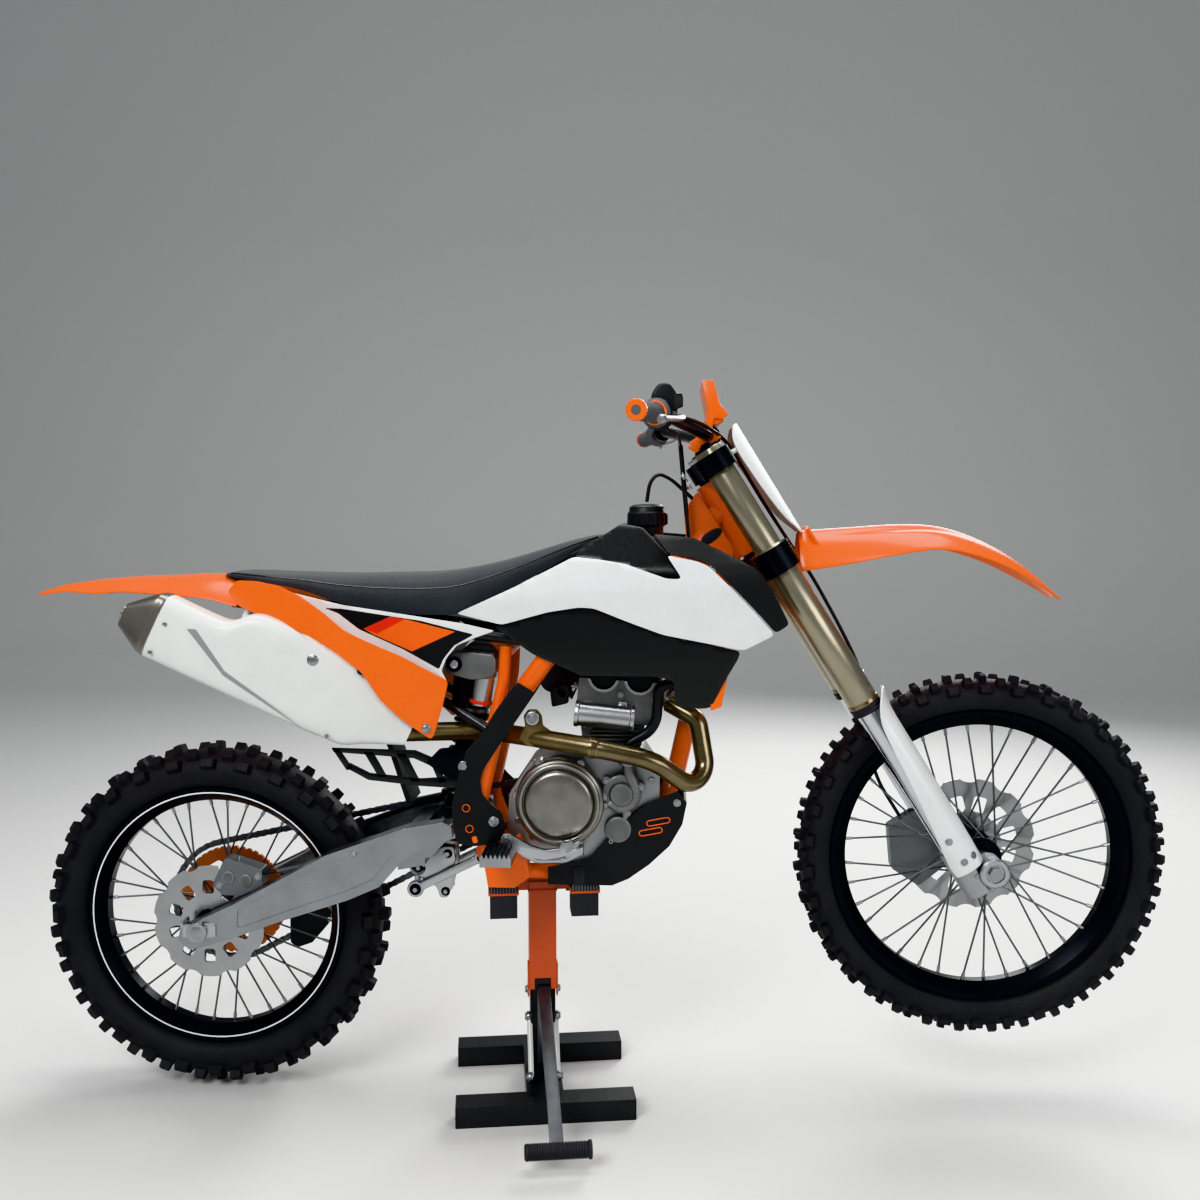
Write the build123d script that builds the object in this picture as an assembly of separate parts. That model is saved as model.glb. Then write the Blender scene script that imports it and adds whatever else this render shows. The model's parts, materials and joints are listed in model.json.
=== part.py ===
"""A motocross bike on its paddock lift stand, one STEP file for each sub-part.

Millimetres. X runs forward, Y to the rider's left, Z up, and Z = 0 is the floor. The bike is drawn
with X counted from the rear axle, and moved at the end so that the origin is the centre of the
stand's foot.
"""
from build123d import *
from math import atan2, cos, degrees, hypot, pi, radians, sin, tan
import os

# ------------------------------------------------------------------ wheels and chassis lines
REAR_AXLE_Z = 347.0
FRONT_AXLE_X = 1480.0
FRONT_AXLE_Z = 488.0
RAKE = 32.0  # fork's lean from the vertical as the bike sits on its stand, degrees
AXLE_LEAD = 38.0  # front axle ahead of the fork legs
CLAMP_OFFSET = 22.0  # fork legs ahead of the steering axis
LEG_Y = 105.0  # fork leg from the middle plane

# ------------------------------------------------------------------ tyres and rims
REAR_TYRE_R = 342.5
REAR_LUG_H = 16.0
REAR_TYRE_HALF = 52.0
REAR_RIM_R = 257.0
REAR_RIM_HALF = 29.0
REAR_PITCHES = 22
FRONT_TYRE_R = 349.5
FRONT_LUG_H = 13.0
FRONT_TYRE_HALF = 43.0
FRONT_RIM_R = 280.0
FRONT_RIM_HALF = 23.0
FRONT_PITCHES = 30
CROWN_SHARE = 0.35  # the tread's flat middle, as a share of the tyre's half width
SHOULDER_SHARE = 0.78
SHOULDER_DROP = 12.0
LUG_SHARE = 0.34  # a lug's length in its pitch
LUG_ROOT = 3.0  # how far a lug is let into the carcass
TYRE_WALL = 9.0
RIM_DEPTH = 30.0
BEAD_DEPTH = 12.0  # how far the tyre's bead sits inside the rim's flange
SPOKES = 36
SPOKE_R = 2.0

# ------------------------------------------------------------------ hubs, discs and axles
AXLE_R = 12.5
RUNNING_GAP = 0.1
HUB_R = 24.0
HUB_FLANGE_R = 38.0
HUB_FLANGE_Y = 33.0
REAR_DISC_R = 110.0
FRONT_DISC_R = 130.0
DISC_Y = 62.0
DISC_T = 4.0
PAD_GAP = 5.0  # calliper to disc

# ------------------------------------------------------------------ chain drive
CHAIN_PITCH = 15.875
CHAIN_Y = 69.0
CHAIN_W = 15.0
CHAIN_H = 12.0
LINK_WAIST = 2.5
REAR_TEETH = 48
FRONT_TEETH = 14
SPROCKET_T = 7.0
SPROCKET_GAP = 4.5  # tooth tips inside the fixed chain
COUNTERSHAFT_X = 598.0
COUNTERSHAFT_Z = 566.0

# ------------------------------------------------------------------ swingarm and linkage
PIVOT_X = 521.0
PIVOT_Z = 555.0
PIVOT_R = 12.0
ARM_OUT_Y = 116.0
ARM_IN_Y = 79.0
EAR_IN_Y = 46.0  # inner face of the ears that run to the pivot
EAR_R = 22.0
GROOVE_DEPTH = 2.0

# ------------------------------------------------------------------ fork
OUTER_TUBE_R = 29.0
UPPER_TUBE_R = 26.0
INNER_TUBE_R = 24.0
OUTER_LOW_S = 382.0  # distances up the fork from the front axle
LOWER_CLAMP_S = 691.0
UPPER_CLAMP_S = 898.0
FORK_TOP_S = 926.0
LOWER_CLAMP_H = 48.0
UPPER_CLAMP_H = 36.0
HEAD_TUBE_R = 30.0
CLEARANCE = 0.3
CABLE_R = 3.5
ARC_SHARE = 0.45  # how much of its shorter run a held hose's corner takes

# ------------------------------------------------------------------ handlebar
GRIP_END_Y = 402.0
GRIP_LENGTH = 118.0
GRIP_R = 16.5
BAR_R = 11.0
BAR_CENTRE = (962.0, 1278.0)
BAR_BEND = (880.0, 1306.0)
BAR_END = (836.0, 1300.0)

# ------------------------------------------------------------------ stand
STAND_X = 643.0
STAND_YAW = 8.7
PAN_Z = 441.0  # underside of the bike's skid plate
FOOT_LENGTH = 334.0
FOOT_DEPTH = 294.0
FOOT_W = 50.0
FOOT_H = 40.0
PAD_W = 51.0
PAD_SPACING = 153.0
PAD_OUT_Y = 100.0
PAD_LENGTH = 50.0
PAD_DROP = 44.0
BRACKET_T = 3.0
HEAD_TOP_Z = 427.0
POST_W = 40.0
POST_H = 190.0
COLUMN_LOW_Z = 210.0
LINK_R = 5.0
LEVER_R = 9.0
LEVER_PIVOT_Y = POST_W / 2 + LEVER_R + CLEARANCE
LEVER_PIVOT_Z = COLUMN_LOW_Z - LEVER_R - 1

# ------------------------------------------------------------------ bodywork
SKIN = 4.0
PANEL_Y = 118.0


# ================================================================== shared shapes
def side_face(points, round_by=0.0):
    """A closed face from (x, z) corners, with its corners rounded."""
    face = make_face(Polyline(*points, close=True))
    return fillet(face.vertices(), round_by) if round_by else face


def slab(face, y_low, y_high):
    """A side-view face made solid between two distances from the middle plane."""
    plane = Plane((0, y_high, 0), x_dir=(1, 0, 0), z_dir=(0, -1, 0))
    return extrude(plane * face, amount=y_high - y_low)


def plate(points, y_low, y_high, round_by=0.0):
    """A slab straight from corner points."""
    return slab(side_face(points, round_by), y_low, y_high)


def rod(start, end, radius):
    """A round bar between two points."""
    line = Vector(*end) - Vector(*start)
    return extrude(Plane(start, z_dir=line) * Circle(radius), amount=line.length)


def cross_rod(x, z, y_low, y_high, radius):
    """A round bar across the bike."""
    return rod((x, y_low, z), (x, y_high, z), radius)


def bent_rod(points, radius, bends):
    """A round bar along straight runs joined by tangent arcs."""
    path = FilletPolyline(*points, radius=bends)
    return sweep(Plane(path @ 0, z_dir=path % 0) * Circle(radius), path=path)


def other_side(solid):
    """The same piece on the bike's other side."""
    return mirror(solid, about=Plane.XZ)


def both(solid):
    """A right-hand piece with its left-hand twin."""
    return [solid, other_side(solid)]


def turned(profile):
    """A (y, r) profile turned about the Y axis."""
    return revolve(Plane.YZ * make_face(Polyline(*profile, close=True)), Axis.Y)


def ring_of(shape, count, start=0.0):
    """Copies of a shape about the Y axis."""
    return [Rot(0, start + i * 360.0 / count, 0) * shape for i in range(count)]


# ================================================================== fork frame
UP = Vector(-sin(radians(RAKE)), 0, cos(radians(RAKE)))
AHEAD = Vector(cos(radians(RAKE)), 0, sin(radians(RAKE)))
REAR_AXLE = Vector(0, 0, REAR_AXLE_Z)
FRONT_AXLE = Vector(FRONT_AXLE_X, 0, FRONT_AXLE_Z)
LEG_O = -AXLE_LEAD
STEER_O = LEG_O - CLAMP_OFFSET


def fork_point(s, o, y=0.0):
    """A point s up the fork and o ahead of the axle's own line."""
    return FRONT_AXLE + UP * s + AHEAD * o + Vector(0, y, 0)


def fork_rod(s_low, s_high, o, y, radius):
    """A round bar along the fork."""
    return rod(fork_point(s_low, o, y), fork_point(s_high, o, y), radius)


def fork_plane(s, o=0.0, y=0.0):
    """A plane across the fork, with its X ahead and its Z up the legs."""
    return Plane(fork_point(s, o, y), x_dir=AHEAD, z_dir=UP)


# ================================================================== wheels
def tyre(radius, half, lug_h, rim_r, rim_half, pitches):
    """A knobbly tyre: a flat-sided stretch to each pitch bears a crown lug, with shoulder lugs where they meet."""
    crown = radius - lug_h
    bead = rim_r - BEAD_DEPTH + CLEARANCE
    flange = rim_half - CLEARANCE
    shoulder = (half * SHOULDER_SHARE, crown - SHOULDER_DROP)
    edge = (half * CROWN_SHARE, crown)
    outside = [(flange, bead), (flange, rim_r + CLEARANCE), (half * 0.93, (crown + rim_r) / 2), shoulder, edge]
    inside = [(half * 0.6, crown - SHOULDER_DROP - TYRE_WALL), (flange - TYRE_WALL, bead)]
    profile = outside + [(-y, r) for y, r in reversed(outside)]
    profile += [(-y, r) for y, r in reversed(inside)] + inside
    half_turn = radians(180.0 / pitches)
    reach = 1.1 * radius * tan(half_turn)
    bar = extrude(Plane.YZ * make_face(Polyline(*profile, close=True)), amount=reach, both=True)
    wedge = side_face([(0, 0), (-reach, reach / tan(half_turn)), (reach, reach / tan(half_turn))])
    stretch = bar & slab(wedge, -half * 2, half * 2)
    length = 2 * pi * radius / pitches * LUG_SHARE
    height = lug_h + LUG_ROOT
    rise = (lug_h - LUG_ROOT) / 2
    crown_lug = Pos(0, 0, crown + rise) * Box(length, 2 * edge[0], height)
    flank = Vector(0, edge[0] - shoulder[0], edge[1] - shoulder[1])
    slope = degrees(atan2(flank.Z, -flank.Y))
    side_lug = Rot(-slope, 0, 0) * Pos(0, 0, rise) * Box(length, flank.length, height)
    side_lug = Pos(0, (edge[0] + shoulder[0]) / 2, (edge[1] + shoulder[1]) / 2) * side_lug
    sides = ring_of(side_lug, pitches, 180.0 / pitches)
    pieces_of_tyre = ring_of(stretch + crown_lug, pitches) + sides + [other_side(lug) for lug in sides]
    return pieces_of_tyre[0] + pieces_of_tyre[1:]


def rim(radius, half):
    """A rim's channel, its flanges outward and its well inward."""
    web = 4.0
    profile = [
        (-half, radius), (-half - web, radius), (-half - web, radius - 14), (-half * 0.45, radius - RIM_DEPTH),
        (half * 0.45, radius - RIM_DEPTH), (half + web, radius - 14), (half + web, radius), (half, radius),
        (half, radius - BEAD_DEPTH), (half * 0.35, radius - RIM_DEPTH + web),
        (-half * 0.35, radius - RIM_DEPTH + web), (-half, radius - BEAD_DEPTH),
    ]
    return turned(profile)


def spoke(inner_r, outer_r, y_hub, y_rim, angle_hub, angle_rim):
    """One spoke, leaning from its hub flange to the rim's well."""
    start = (inner_r * sin(radians(angle_hub)), y_hub, inner_r * cos(radians(angle_hub)))
    end = (outer_r * sin(radians(angle_rim)), y_rim, outer_r * cos(radians(angle_rim)))
    line = Vector(*end) - Vector(*start)
    return extrude(Plane(start, z_dir=line) * RegularPolygon(SPOKE_R, 5), amount=line.length)


def hub(rim_r, rim_half, right_y, left_y):
    """A hub, with its spokes and the bosses that reach out to disc or sprocket, bored for its axle."""
    bore = AXLE_R + RUNNING_GAP
    bosses = [turned([(HUB_FLANGE_Y, bore), (HUB_FLANGE_Y, HUB_R), (left_y, HUB_R), (left_y, bore)]),
              turned([(-HUB_FLANGE_Y, bore), (-HUB_FLANGE_Y, HUB_R), (-right_y, HUB_R), (-right_y, bore)])]
    profile = [
        (-HUB_FLANGE_Y - 4, bore), (-HUB_FLANGE_Y - 4, HUB_FLANGE_R), (-HUB_FLANGE_Y, HUB_FLANGE_R),
        (-HUB_FLANGE_Y + 8, HUB_R), (HUB_FLANGE_Y - 8, HUB_R), (HUB_FLANGE_Y, HUB_FLANGE_R),
        (HUB_FLANGE_Y + 4, HUB_FLANGE_R), (HUB_FLANGE_Y + 4, bore),
    ]
    body = turned(profile)
    well = rim_r - RIM_DEPTH - 2 * CLEARANCE
    spokes = []
    for i in range(SPOKES // 4):
        turn = i * 1440.0 / SPOKES
        step = 360.0 / SPOKES
        for side, lead, lean in ((1, 0, 1), (1, 1, -1), (-1, 2, 1), (-1, 3, -1)):
            at_rim = turn + lead * step
            spokes.append(spoke(HUB_FLANGE_R - 6, well, side * HUB_FLANGE_Y, side * rim_half * 0.2,
                                at_rim - lean * 62, at_rim))
    return body + bosses + spokes


def wave_disc(radius, y, waves):
    """A brake disc with a waved edge and open windows, round its hub's boss."""
    outline = Circle(radius)
    depth = radius * 0.06
    for i in range(waves):
        turn = radians(i * 360.0 / waves)
        reach = radius * 1.16
        outline -= Pos(reach * cos(turn), reach * sin(turn)) * Circle(reach - radius + depth)
    outline -= Circle(HUB_R + CLEARANCE)
    for i in range(waves):
        turn = (i + 0.5) * 360.0 / waves
        outline -= Rot(0, 0, turn) * Pos(radius * 0.62, 0) * RectangleRounded(radius * 0.24, radius * 0.2, 6)
    return slab(outline, y - DISC_T / 2, y + DISC_T / 2)


# ================================================================== chain drive
REAR_PITCH_R = CHAIN_PITCH / 2 / sin(pi / REAR_TEETH)
FRONT_PITCH_R = CHAIN_PITCH / 2 / sin(pi / FRONT_TEETH)
COUNTERSHAFT = Vector(COUNTERSHAFT_X, 0, COUNTERSHAFT_Z)


def chain_loop(spread):
    """The chain's path as a face, grown by a spread on each side of the rollers."""
    span = COUNTERSHAFT - REAR_AXLE
    lean = atan2(span.Z, span.X)
    taper = (REAR_PITCH_R - FRONT_PITCH_R) / span.length
    face = None
    rear = REAR_PITCH_R + spread
    front = FRONT_PITCH_R + spread
    open_by = pi / 2 - taper
    top, low = lean + open_by, lean - open_by

    def on(centre, radius, turn):
        return (centre.X + radius * cos(turn), centre.Z + radius * sin(turn))

    path = [
        Line(on(REAR_AXLE, rear, top), on(COUNTERSHAFT, front, top)),
        ThreePointArc(on(COUNTERSHAFT, front, top), on(COUNTERSHAFT, front, lean),
                      on(COUNTERSHAFT, front, low)),
        Line(on(COUNTERSHAFT, front, low), on(REAR_AXLE, rear, low)),
        ThreePointArc(on(REAR_AXLE, rear, low), on(REAR_AXLE, rear, lean + pi), on(REAR_AXLE, rear, top)),
    ]
    return make_face(path)


def chain():
    """The chain as one closed loop, its outer edge waisted between the pins."""
    middle = chain_loop(0).faces()[0].outer_wire()
    links = round(middle.length / CHAIN_PITCH)
    edge = []
    for i in range(2 * links):
        at, along = middle.position_at(i / 2 / links), middle.tangent_at(i / 2 / links)
        out = Vector(-along.Y, along.X, 0)
        height = CHAIN_H / 2 if i % 2 == 0 else CHAIN_H / 2 - LINK_WAIST
        edge.append((at + out * height, at - out * height))
    grown = [make_face(Polyline(*[pair[k] for pair in edge], close=True)) for k in (0, 1)]
    outline = max(grown, key=lambda face: face.area)
    return slab(outline - chain_loop(-CHAIN_H / 2), CHAIN_Y - CHAIN_W / 2, CHAIN_Y + CHAIN_W / 2)


def sprocket(tip_r, teeth):
    """A sprocket's plate, its tips inside the chain."""
    outline = Circle(tip_r)
    for i in range(teeth):
        turn = i * 360.0 / teeth
        outline -= Rot(0, 0, turn) * Pos(tip_r + 1.0, 0) * RegularPolygon(5.0, 4)
    return outline


def rear_sprocket():
    """The rear sprocket, windowed, on the hub's left flange."""
    outline = sprocket(REAR_PITCH_R - CHAIN_H / 2 - SPROCKET_GAP, REAR_TEETH)
    outline -= Circle(HUB_R + CLEARANCE)
    for i in range(6):
        outline -= Rot(0, 0, i * 60.0) * Pos(72, 0) * RectangleRounded(26, 40, 8)
    return slab(outline, CHAIN_Y - SPROCKET_T / 2, CHAIN_Y + SPROCKET_T / 2)


def front_sprocket():
    """The small sprocket on the countershaft, with the shaft's end."""
    tip = FRONT_PITCH_R - CHAIN_H / 2 - CLEARANCE
    outline = Pos(COUNTERSHAFT_X, COUNTERSHAFT_Z) * sprocket(tip, FRONT_TEETH)
    shaft = cross_rod(COUNTERSHAFT_X, COUNTERSHAFT_Z, CASE_Y - 1, CHAIN_Y + 14, 11)
    return slab(outline, CHAIN_Y - SPROCKET_T / 2, CHAIN_Y + SPROCKET_T / 2) + shaft


# ================================================================== swingarm and suspension
def swingarm():
    """Two tapered beams, the cross member inside the chain's loop, and the ears on the pivot."""
    beam = plate([(-40, 328), (-36, 350), (69, 400), (247, 497), (395, 550), (470, 563), (486, 556), (488, 532),
                  (426, 509), (385, 480), (348, 438), (287, 411), (161, 369), (67, 334), (-18, 309)],
                 -ARM_OUT_Y, -ARM_IN_Y, 8)
    beam -= cross_rod(0, REAR_AXLE_Z, -ARM_OUT_Y - 1, -ARM_IN_Y + 1, AXLE_R + RUNNING_GAP)
    groove = [(74, 352), (76, 388), (240, 480), (372, 526), (380, 508), (336, 452), (284, 428), (160, 384)]
    beam -= plate(groove, -ARM_OUT_Y - 1, -ARM_OUT_Y + GROOVE_DEPTH, 6)
    ear = plate([(396, 476), (396, 542), (460, 552), (PIVOT_X, PIVOT_Z + EAR_R), (PIVOT_X, PIVOT_Z - EAR_R),
                 (470, 518), (440, 486)], -ARM_IN_Y, -EAR_IN_Y)
    ear += cross_rod(PIVOT_X, PIVOT_Z, -ARM_IN_Y, -EAR_IN_Y, EAR_R)
    ear -= cross_rod(PIVOT_X, PIVOT_Z, -ARM_IN_Y - 1, -EAR_IN_Y + 1, PIVOT_R + RUNNING_GAP)
    cross = plate([(376, 460), (372, 520), (396, 542), (428, 547), (428, 470)], -ARM_IN_Y, ARM_IN_Y)
    return cross + both(beam) + both(ear)


def rear_axle():
    """The rear axle with its spacers and heads."""
    shaft = cross_rod(0, REAR_AXLE_Z, -ARM_OUT_Y - 10, ARM_OUT_Y + 10, AXLE_R)
    right = cross_rod(0, REAR_AXLE_Z, -ARM_IN_Y + CLEARANCE, -DISC_Y - 4 - CLEARANCE, AXLE_R + 5)
    left = cross_rod(0, REAR_AXLE_Z, CHAIN_Y + 4 + CLEARANCE, ARM_IN_Y - CLEARANCE, AXLE_R + 5)
    head = cross_rod(0, REAR_AXLE_Z, -ARM_OUT_Y - 12, -ARM_OUT_Y - CLEARANCE, 19)
    return shaft + [right, left, head, other_side(head)]


def pivot_bolt():
    """The swingarm's pivot shaft, through frame, arm and engine."""
    return cross_rod(PIVOT_X, PIVOT_Z, -FRAME_Y - SPAR_R - 1, FRAME_Y + SPAR_R + 1, PIVOT_R)


SHOCK_TOP = (532.0, 874.0)
SHOCK_FOOT = (459.0, 476.0)
SHOCK_PIN_R = 6.0
EYE_HALF = 13.0


def shock():
    """The shock absorber: damper, spring and eyes, with the gas reservoir cast onto its head."""
    top = (SHOCK_TOP[0], 0, SHOCK_TOP[1])
    foot = (SHOCK_FOOT[0], 0, SHOCK_FOOT[1])
    line = Vector(*top) - Vector(*foot)

    def along(t):
        return (Vector(*foot) + line * t)

    can = rod((535, -62, 774), (547, -62, 866), 22)
    arm = plate([(512, 818), (515, 850), (562, 850), (568, 818)], -80, -EYE_HALF, 6)
    eyes = [cross_rod(x, z, -EYE_HALF, EYE_HALF, 16) for x, z in (SHOCK_TOP, SHOCK_FOOT)]
    spring = [rod(along(0.14 + 0.062 * i), along(0.14 + 0.062 * i + 0.036), 34) for i in range(10)]
    collars = [rod(along(0.12), along(0.15), 36), rod(along(0.73), along(0.77), 37)]
    body = rod(along(0.05), along(0.93), 25) + rod(foot, along(0.1), 11)
    whole = body + spring + collars + [can, arm] + eyes
    return whole - [cross_rod(x, z, -90, 90, SHOCK_PIN_R + RUNNING_GAP) for x, z in (SHOCK_TOP, SHOCK_FOOT)]


PULL_PIN = (484.0, 434.0)
PULL_FRAME = (532.0, 490.0)


def linkage():
    """The bell crank under the swingarm, forked round the shock's eye, its pins and its pull rods."""
    crank = plate([(392, 432), (386, 458), (424, 460), (472, 487), (496, 446), (494, 425), (455, 412)], -26, 26, 5)
    crank -= plate([(432, 400), (432, 500), (500, 500), (500, 400)], -EYE_HALF - CLEARANCE, EYE_HALF + CLEARANCE)
    pins = [cross_rod(x, z, -34, 34, SHOCK_PIN_R) for x, z in (SHOCK_FOOT, PULL_PIN)]
    pull = plate([(478, 424), (472, 440), (522, 498), (540, 500), (544, 484), (494, 426)], -34, -26 - CLEARANCE, 6)
    stub = cross_rod(*PULL_FRAME, -FRAME_PULL_Y + CLEARANCE, -30, SHOCK_PIN_R)
    return [crank + pins] + both(pull - cross_rod(*PULL_PIN, -40, 0, SHOCK_PIN_R + RUNNING_GAP) + stub)


# ================================================================== frame
SPAR_R = 18.0
RAIL_R = 14.0
BRACE_R = 11.5
BRACE_TOP_Z = 890.0
FRAME_PULL_Y = 44.0  # inner face of the lug that takes the pull rod's pin
RADIATOR_IN_Y = 62.0
FRAME_Y = 98.0
DOWN_FOOT = Vector(905, 0, 640)
BEARING_H = 6.0
HEAD_LOW_S = LOWER_CLAMP_S + LOWER_CLAMP_H / 2 + BEARING_H
HEAD_HIGH_S = UPPER_CLAMP_S - UPPER_CLAMP_H / 2 - BEARING_H


def spar(radius):
    """The right-hand spar, from the head tube back and down past the pivot to the cradle."""
    top = fork_point(HEAD_HIGH_S - 45, STEER_O)
    return bent_rod([(top.X - 10, -14, top.Z - 20), (880, -62, 1010), (690, -92, 905), (566, -FRAME_Y, 740),
                     (PIVOT_X + 8, -FRAME_Y, PIVOT_Z + 20), (566, -FRAME_Y, 478)], radius, [60, 90, 160, 70])


def frame_brace(radius):
    """The right-hand tube that stands on the spar and holds the shock's upper bracket."""
    return bent_rod([(584, -70, BRACE_TOP_Z), (580, -72, 822), (560, -92, 736)], radius, [120])


def frame():
    """The main frame: head tube, spars, braces, down tube, cradle rails, peg hangers and their ties."""
    low = fork_point(HEAD_LOW_S + 25, STEER_O)
    top = fork_point(HEAD_HIGH_S - 45, STEER_O)
    head = fork_rod(HEAD_LOW_S, HEAD_HIGH_S, STEER_O, 0, HEAD_TUBE_R)
    down = bent_rod([(low.X - 14, 0, low.Z + 5), (975, 0, 960), tuple(DOWN_FOOT)], SPAR_R, [200])
    foot_z = PAN_Z + SKIN + RAIL_R + CLEARANCE
    rail = bent_rod([(DOWN_FOOT.X, -8, DOWN_FOOT.Z + 12), (880, -55, 565), (775, -66, foot_z), (644, -68, foot_z),
                     (570, -FRAME_Y, foot_z + 14)], RAIL_R, [30, 60, 100])
    hanger = plate([(556, foot_z - RAIL_R), (546, 508), (574, 513), (612, 540), (624, 520), (634, 466),
                    (606, foot_z - RAIL_R)], -FRAME_Y - 30, -FRAME_Y + 6, 5)
    gusset = plate([(top.X + 10, top.Z - 20), (low.X, low.Z), (930, 1010), (905, 1075)], -12, 12, 6)
    boss = cross_rod(PIVOT_X, PIVOT_Z, -FRAME_Y - SPAR_R, -ARM_IN_Y - 2, 26)
    pull_lug = plate([(522, 500), (540, 504), (612, 476), (616, 456), (600, 452), (524, 480)], -FRAME_PULL_Y - 10,
                     -FRAME_PULL_Y, 5)
    tie = cross_rod(606, 464, -80, 80, 9)
    stay = [cross_rod(x, z, -RADIATOR_IN_Y + CLEARANCE, -10, 6) for x, z in ((960, 945), (946, 838))]
    half = [spar(SPAR_R), frame_brace(BRACE_R), rail, hanger, boss, pull_lug] + stay
    cross = cross_rod(586, BRACE_TOP_Z - BRACE_R, -72, 72, BRACE_R)
    clevis = plate([(592, 890), (592, 868), (534, 858), (518, 868), (520, 886), (540, 890)], -EYE_HALF - 8,
                   -EYE_HALF - CLEARANCE, 5)
    half += [clevis]
    bolt = cross_rod(*SHOCK_TOP, -EYE_HALF - 8, EYE_HALF + 8, SHOCK_PIN_R)
    whole = head + [down, gusset, cross, tie, bolt] + half + [other_side(piece) for piece in half]
    return whole - cross_rod(PIVOT_X, PIVOT_Z, -ARM_OUT_Y - 9, ARM_OUT_Y + 9, PIVOT_R + RUNNING_GAP)


def frame_guard():
    """The right-hand plastic guard over the frame."""
    outline = [(622, 800), (650, 780), (600, 700), (560, 646), (560, 604), (579, 586), (587, 559), (574, 528),
               (529, 515), (501, 517), (490, 542), (490, 608), (515, 660)]
    feet = [cross_rod(x, z, -122, -FRAME_Y - SPAR_R - CLEARANCE, 9) for x, z in ((537, 602), (583, 745))]
    return plate(outline, -126, -120, 8) + feet


CASE_Y = 38.0
HEAD_FRONT_X = 880.0
HEAD_HALF = 75.0
CAMS = ((768.0, 834.0), (836.0, 829.0))
CAM_RECESS_R = 24.0
CLUTCH = (688.0, 602.0)
CLUTCH_R = 82.0
PUMP = (803.0, 618.0)
PUMP_R = 36.0
IGNITION = (740.0, 600.0)
CASE_OUT_Y = -80.0


def engine_cases():
    """The crankcase halves with the gearbox behind."""
    outline = [(585, 540), (590, 610), (630, 670), (700, 700), (840, 700), (874, 650), (873, 590), (838, 546),
               (771, 482), (640, 482)]
    return plate(outline, -78, CASE_Y, 14)


def cylinder():
    """The barrel between the cases and the head."""
    return plate([(728, 698), (722, 752), (846, 745), (838, 698)], -52, 62)


def cylinder_head():
    """The twin-cam head: its cam recesses have raised rims, and bolt bosses stand on its sides."""
    block = side_face([(714, 750), (722, 832), (876, 822), (HEAD_FRONT_X, 780), (852, 742)], 5)
    rims = None
    outline = block
    for x, z in CAMS:
        outline -= Pos(x, z) * Circle(CAM_RECESS_R)
        rim_ring = block & Pos(x, z) * (Circle(CAM_RECESS_R + 6) - Circle(CAM_RECESS_R))
        rims = rim_ring if rims is None else rims + rim_ring
    bolts = ((730, 762), (864, 790), (800, 800))
    bosses = [cross_rod(x, z, -HEAD_HALF - 5, HEAD_HALF + 5, 7) for x, z in bolts]
    return slab(outline, -HEAD_HALF, HEAD_HALF) + slab(rims, -HEAD_HALF - 4, HEAD_HALF + 4) + bosses


def engine():
    """The engine's castings as one block, with the sprocket that it turns."""
    return engine_cases() + [cylinder(), cylinder_head(), starter(), front_sprocket()]


def valve_cover():
    """The black cover over the cams, its plugs filling the head's recesses."""
    outline = side_face([(722, 833), (730, 858), (862, 850), (876, 823)], 5)
    for x, z in CAMS:
        outline += Pos(x, z) * Circle(CAM_RECESS_R - 2)
    return slab(outline, -HEAD_HALF + 5, HEAD_HALF - 5)


def starter():
    """The ribbed cylinder-shaped housing on the head's right side, with its two feet."""
    start, end = Vector(716, -98, 769), Vector(826, -98, 758)
    line = end - start
    bands = [rod(start + line * t, start + line * (t + 0.05), 24) for t in (0.0, 0.95)]
    feet = [plate([(x, 746), (x, 776), (x + 20, 776), (x + 20, 746)], -98, -HEAD_HALF + 1)
            for x in (732, 794)]
    return rod(start, end, 22) + bands + feet


def cover_bosses(centre, reach, turns):
    """The bolt bosses round a cover's edge, at turns in degrees from straight ahead."""
    x, z = centre
    return [cross_rod(x + reach * cos(radians(t)), z + reach * sin(radians(t)), CASE_OUT_Y - 26, CASE_OUT_Y, 8)
            for t in turns]


def clutch_cover():
    """The round clutch cover, stepped to a domed inner face inside a raised ring."""
    x, z = CLUTCH
    outer = cross_rod(x, z, CASE_OUT_Y - 34, CASE_OUT_Y, CLUTCH_R)
    outer += cross_rod(x, z, CASE_OUT_Y - 42, CASE_OUT_Y - 34, CLUTCH_R - 8)
    outer -= cross_rod(x, z, CASE_OUT_Y - 43, CASE_OUT_Y - 38, CLUTCH_R - 15)
    floor_y = CASE_OUT_Y - 38
    dome = [cross_rod(x, z, floor_y - 4 * (i + 1), floor_y, CLUTCH_R - 18 - 9 * i) for i in range(3)]
    return outer + dome + cover_bosses(CLUTCH, CLUTCH_R - 1, (8, 62, 118, 172, 232, 304))


def pump_cover():
    """The water pump's cover ahead of the clutch, with its outlet neck."""
    x, z = PUMP
    disc = cross_rod(x, z, CASE_OUT_Y - 24, CASE_OUT_Y, PUMP_R)
    disc += cross_rod(x, z, CASE_OUT_Y - 32, CASE_OUT_Y - 24, 22)
    root = Vector(x + 6, -96, z + 20)
    neck = rod(root, HOSE_LOW[0], 12) + rod(root + (HOSE_LOW[0] - root) * 0.7, HOSE_LOW[0], 14)
    return disc + [neck] + cover_bosses(PUMP, PUMP_R, (20, 140, 215, 285))


def ignition_cover():
    """The left-hand cover over the ignition, stepped towards its middle."""
    x, z = IGNITION
    steps = [cross_rod(x, z, CASE_Y, CASE_Y + 30 + 10 * i, 70 - 12 * i) for i in range(3)]
    return steps[0] + steps[1:]


HOSE_R = 9.5
HOSE_LOW = [Vector(815, -96, 700), Vector(816.2, -96, 712), Vector(866, -98, 742), Vector(872, -100, 825),
            Vector(916.5, -100, 825)]


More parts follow.
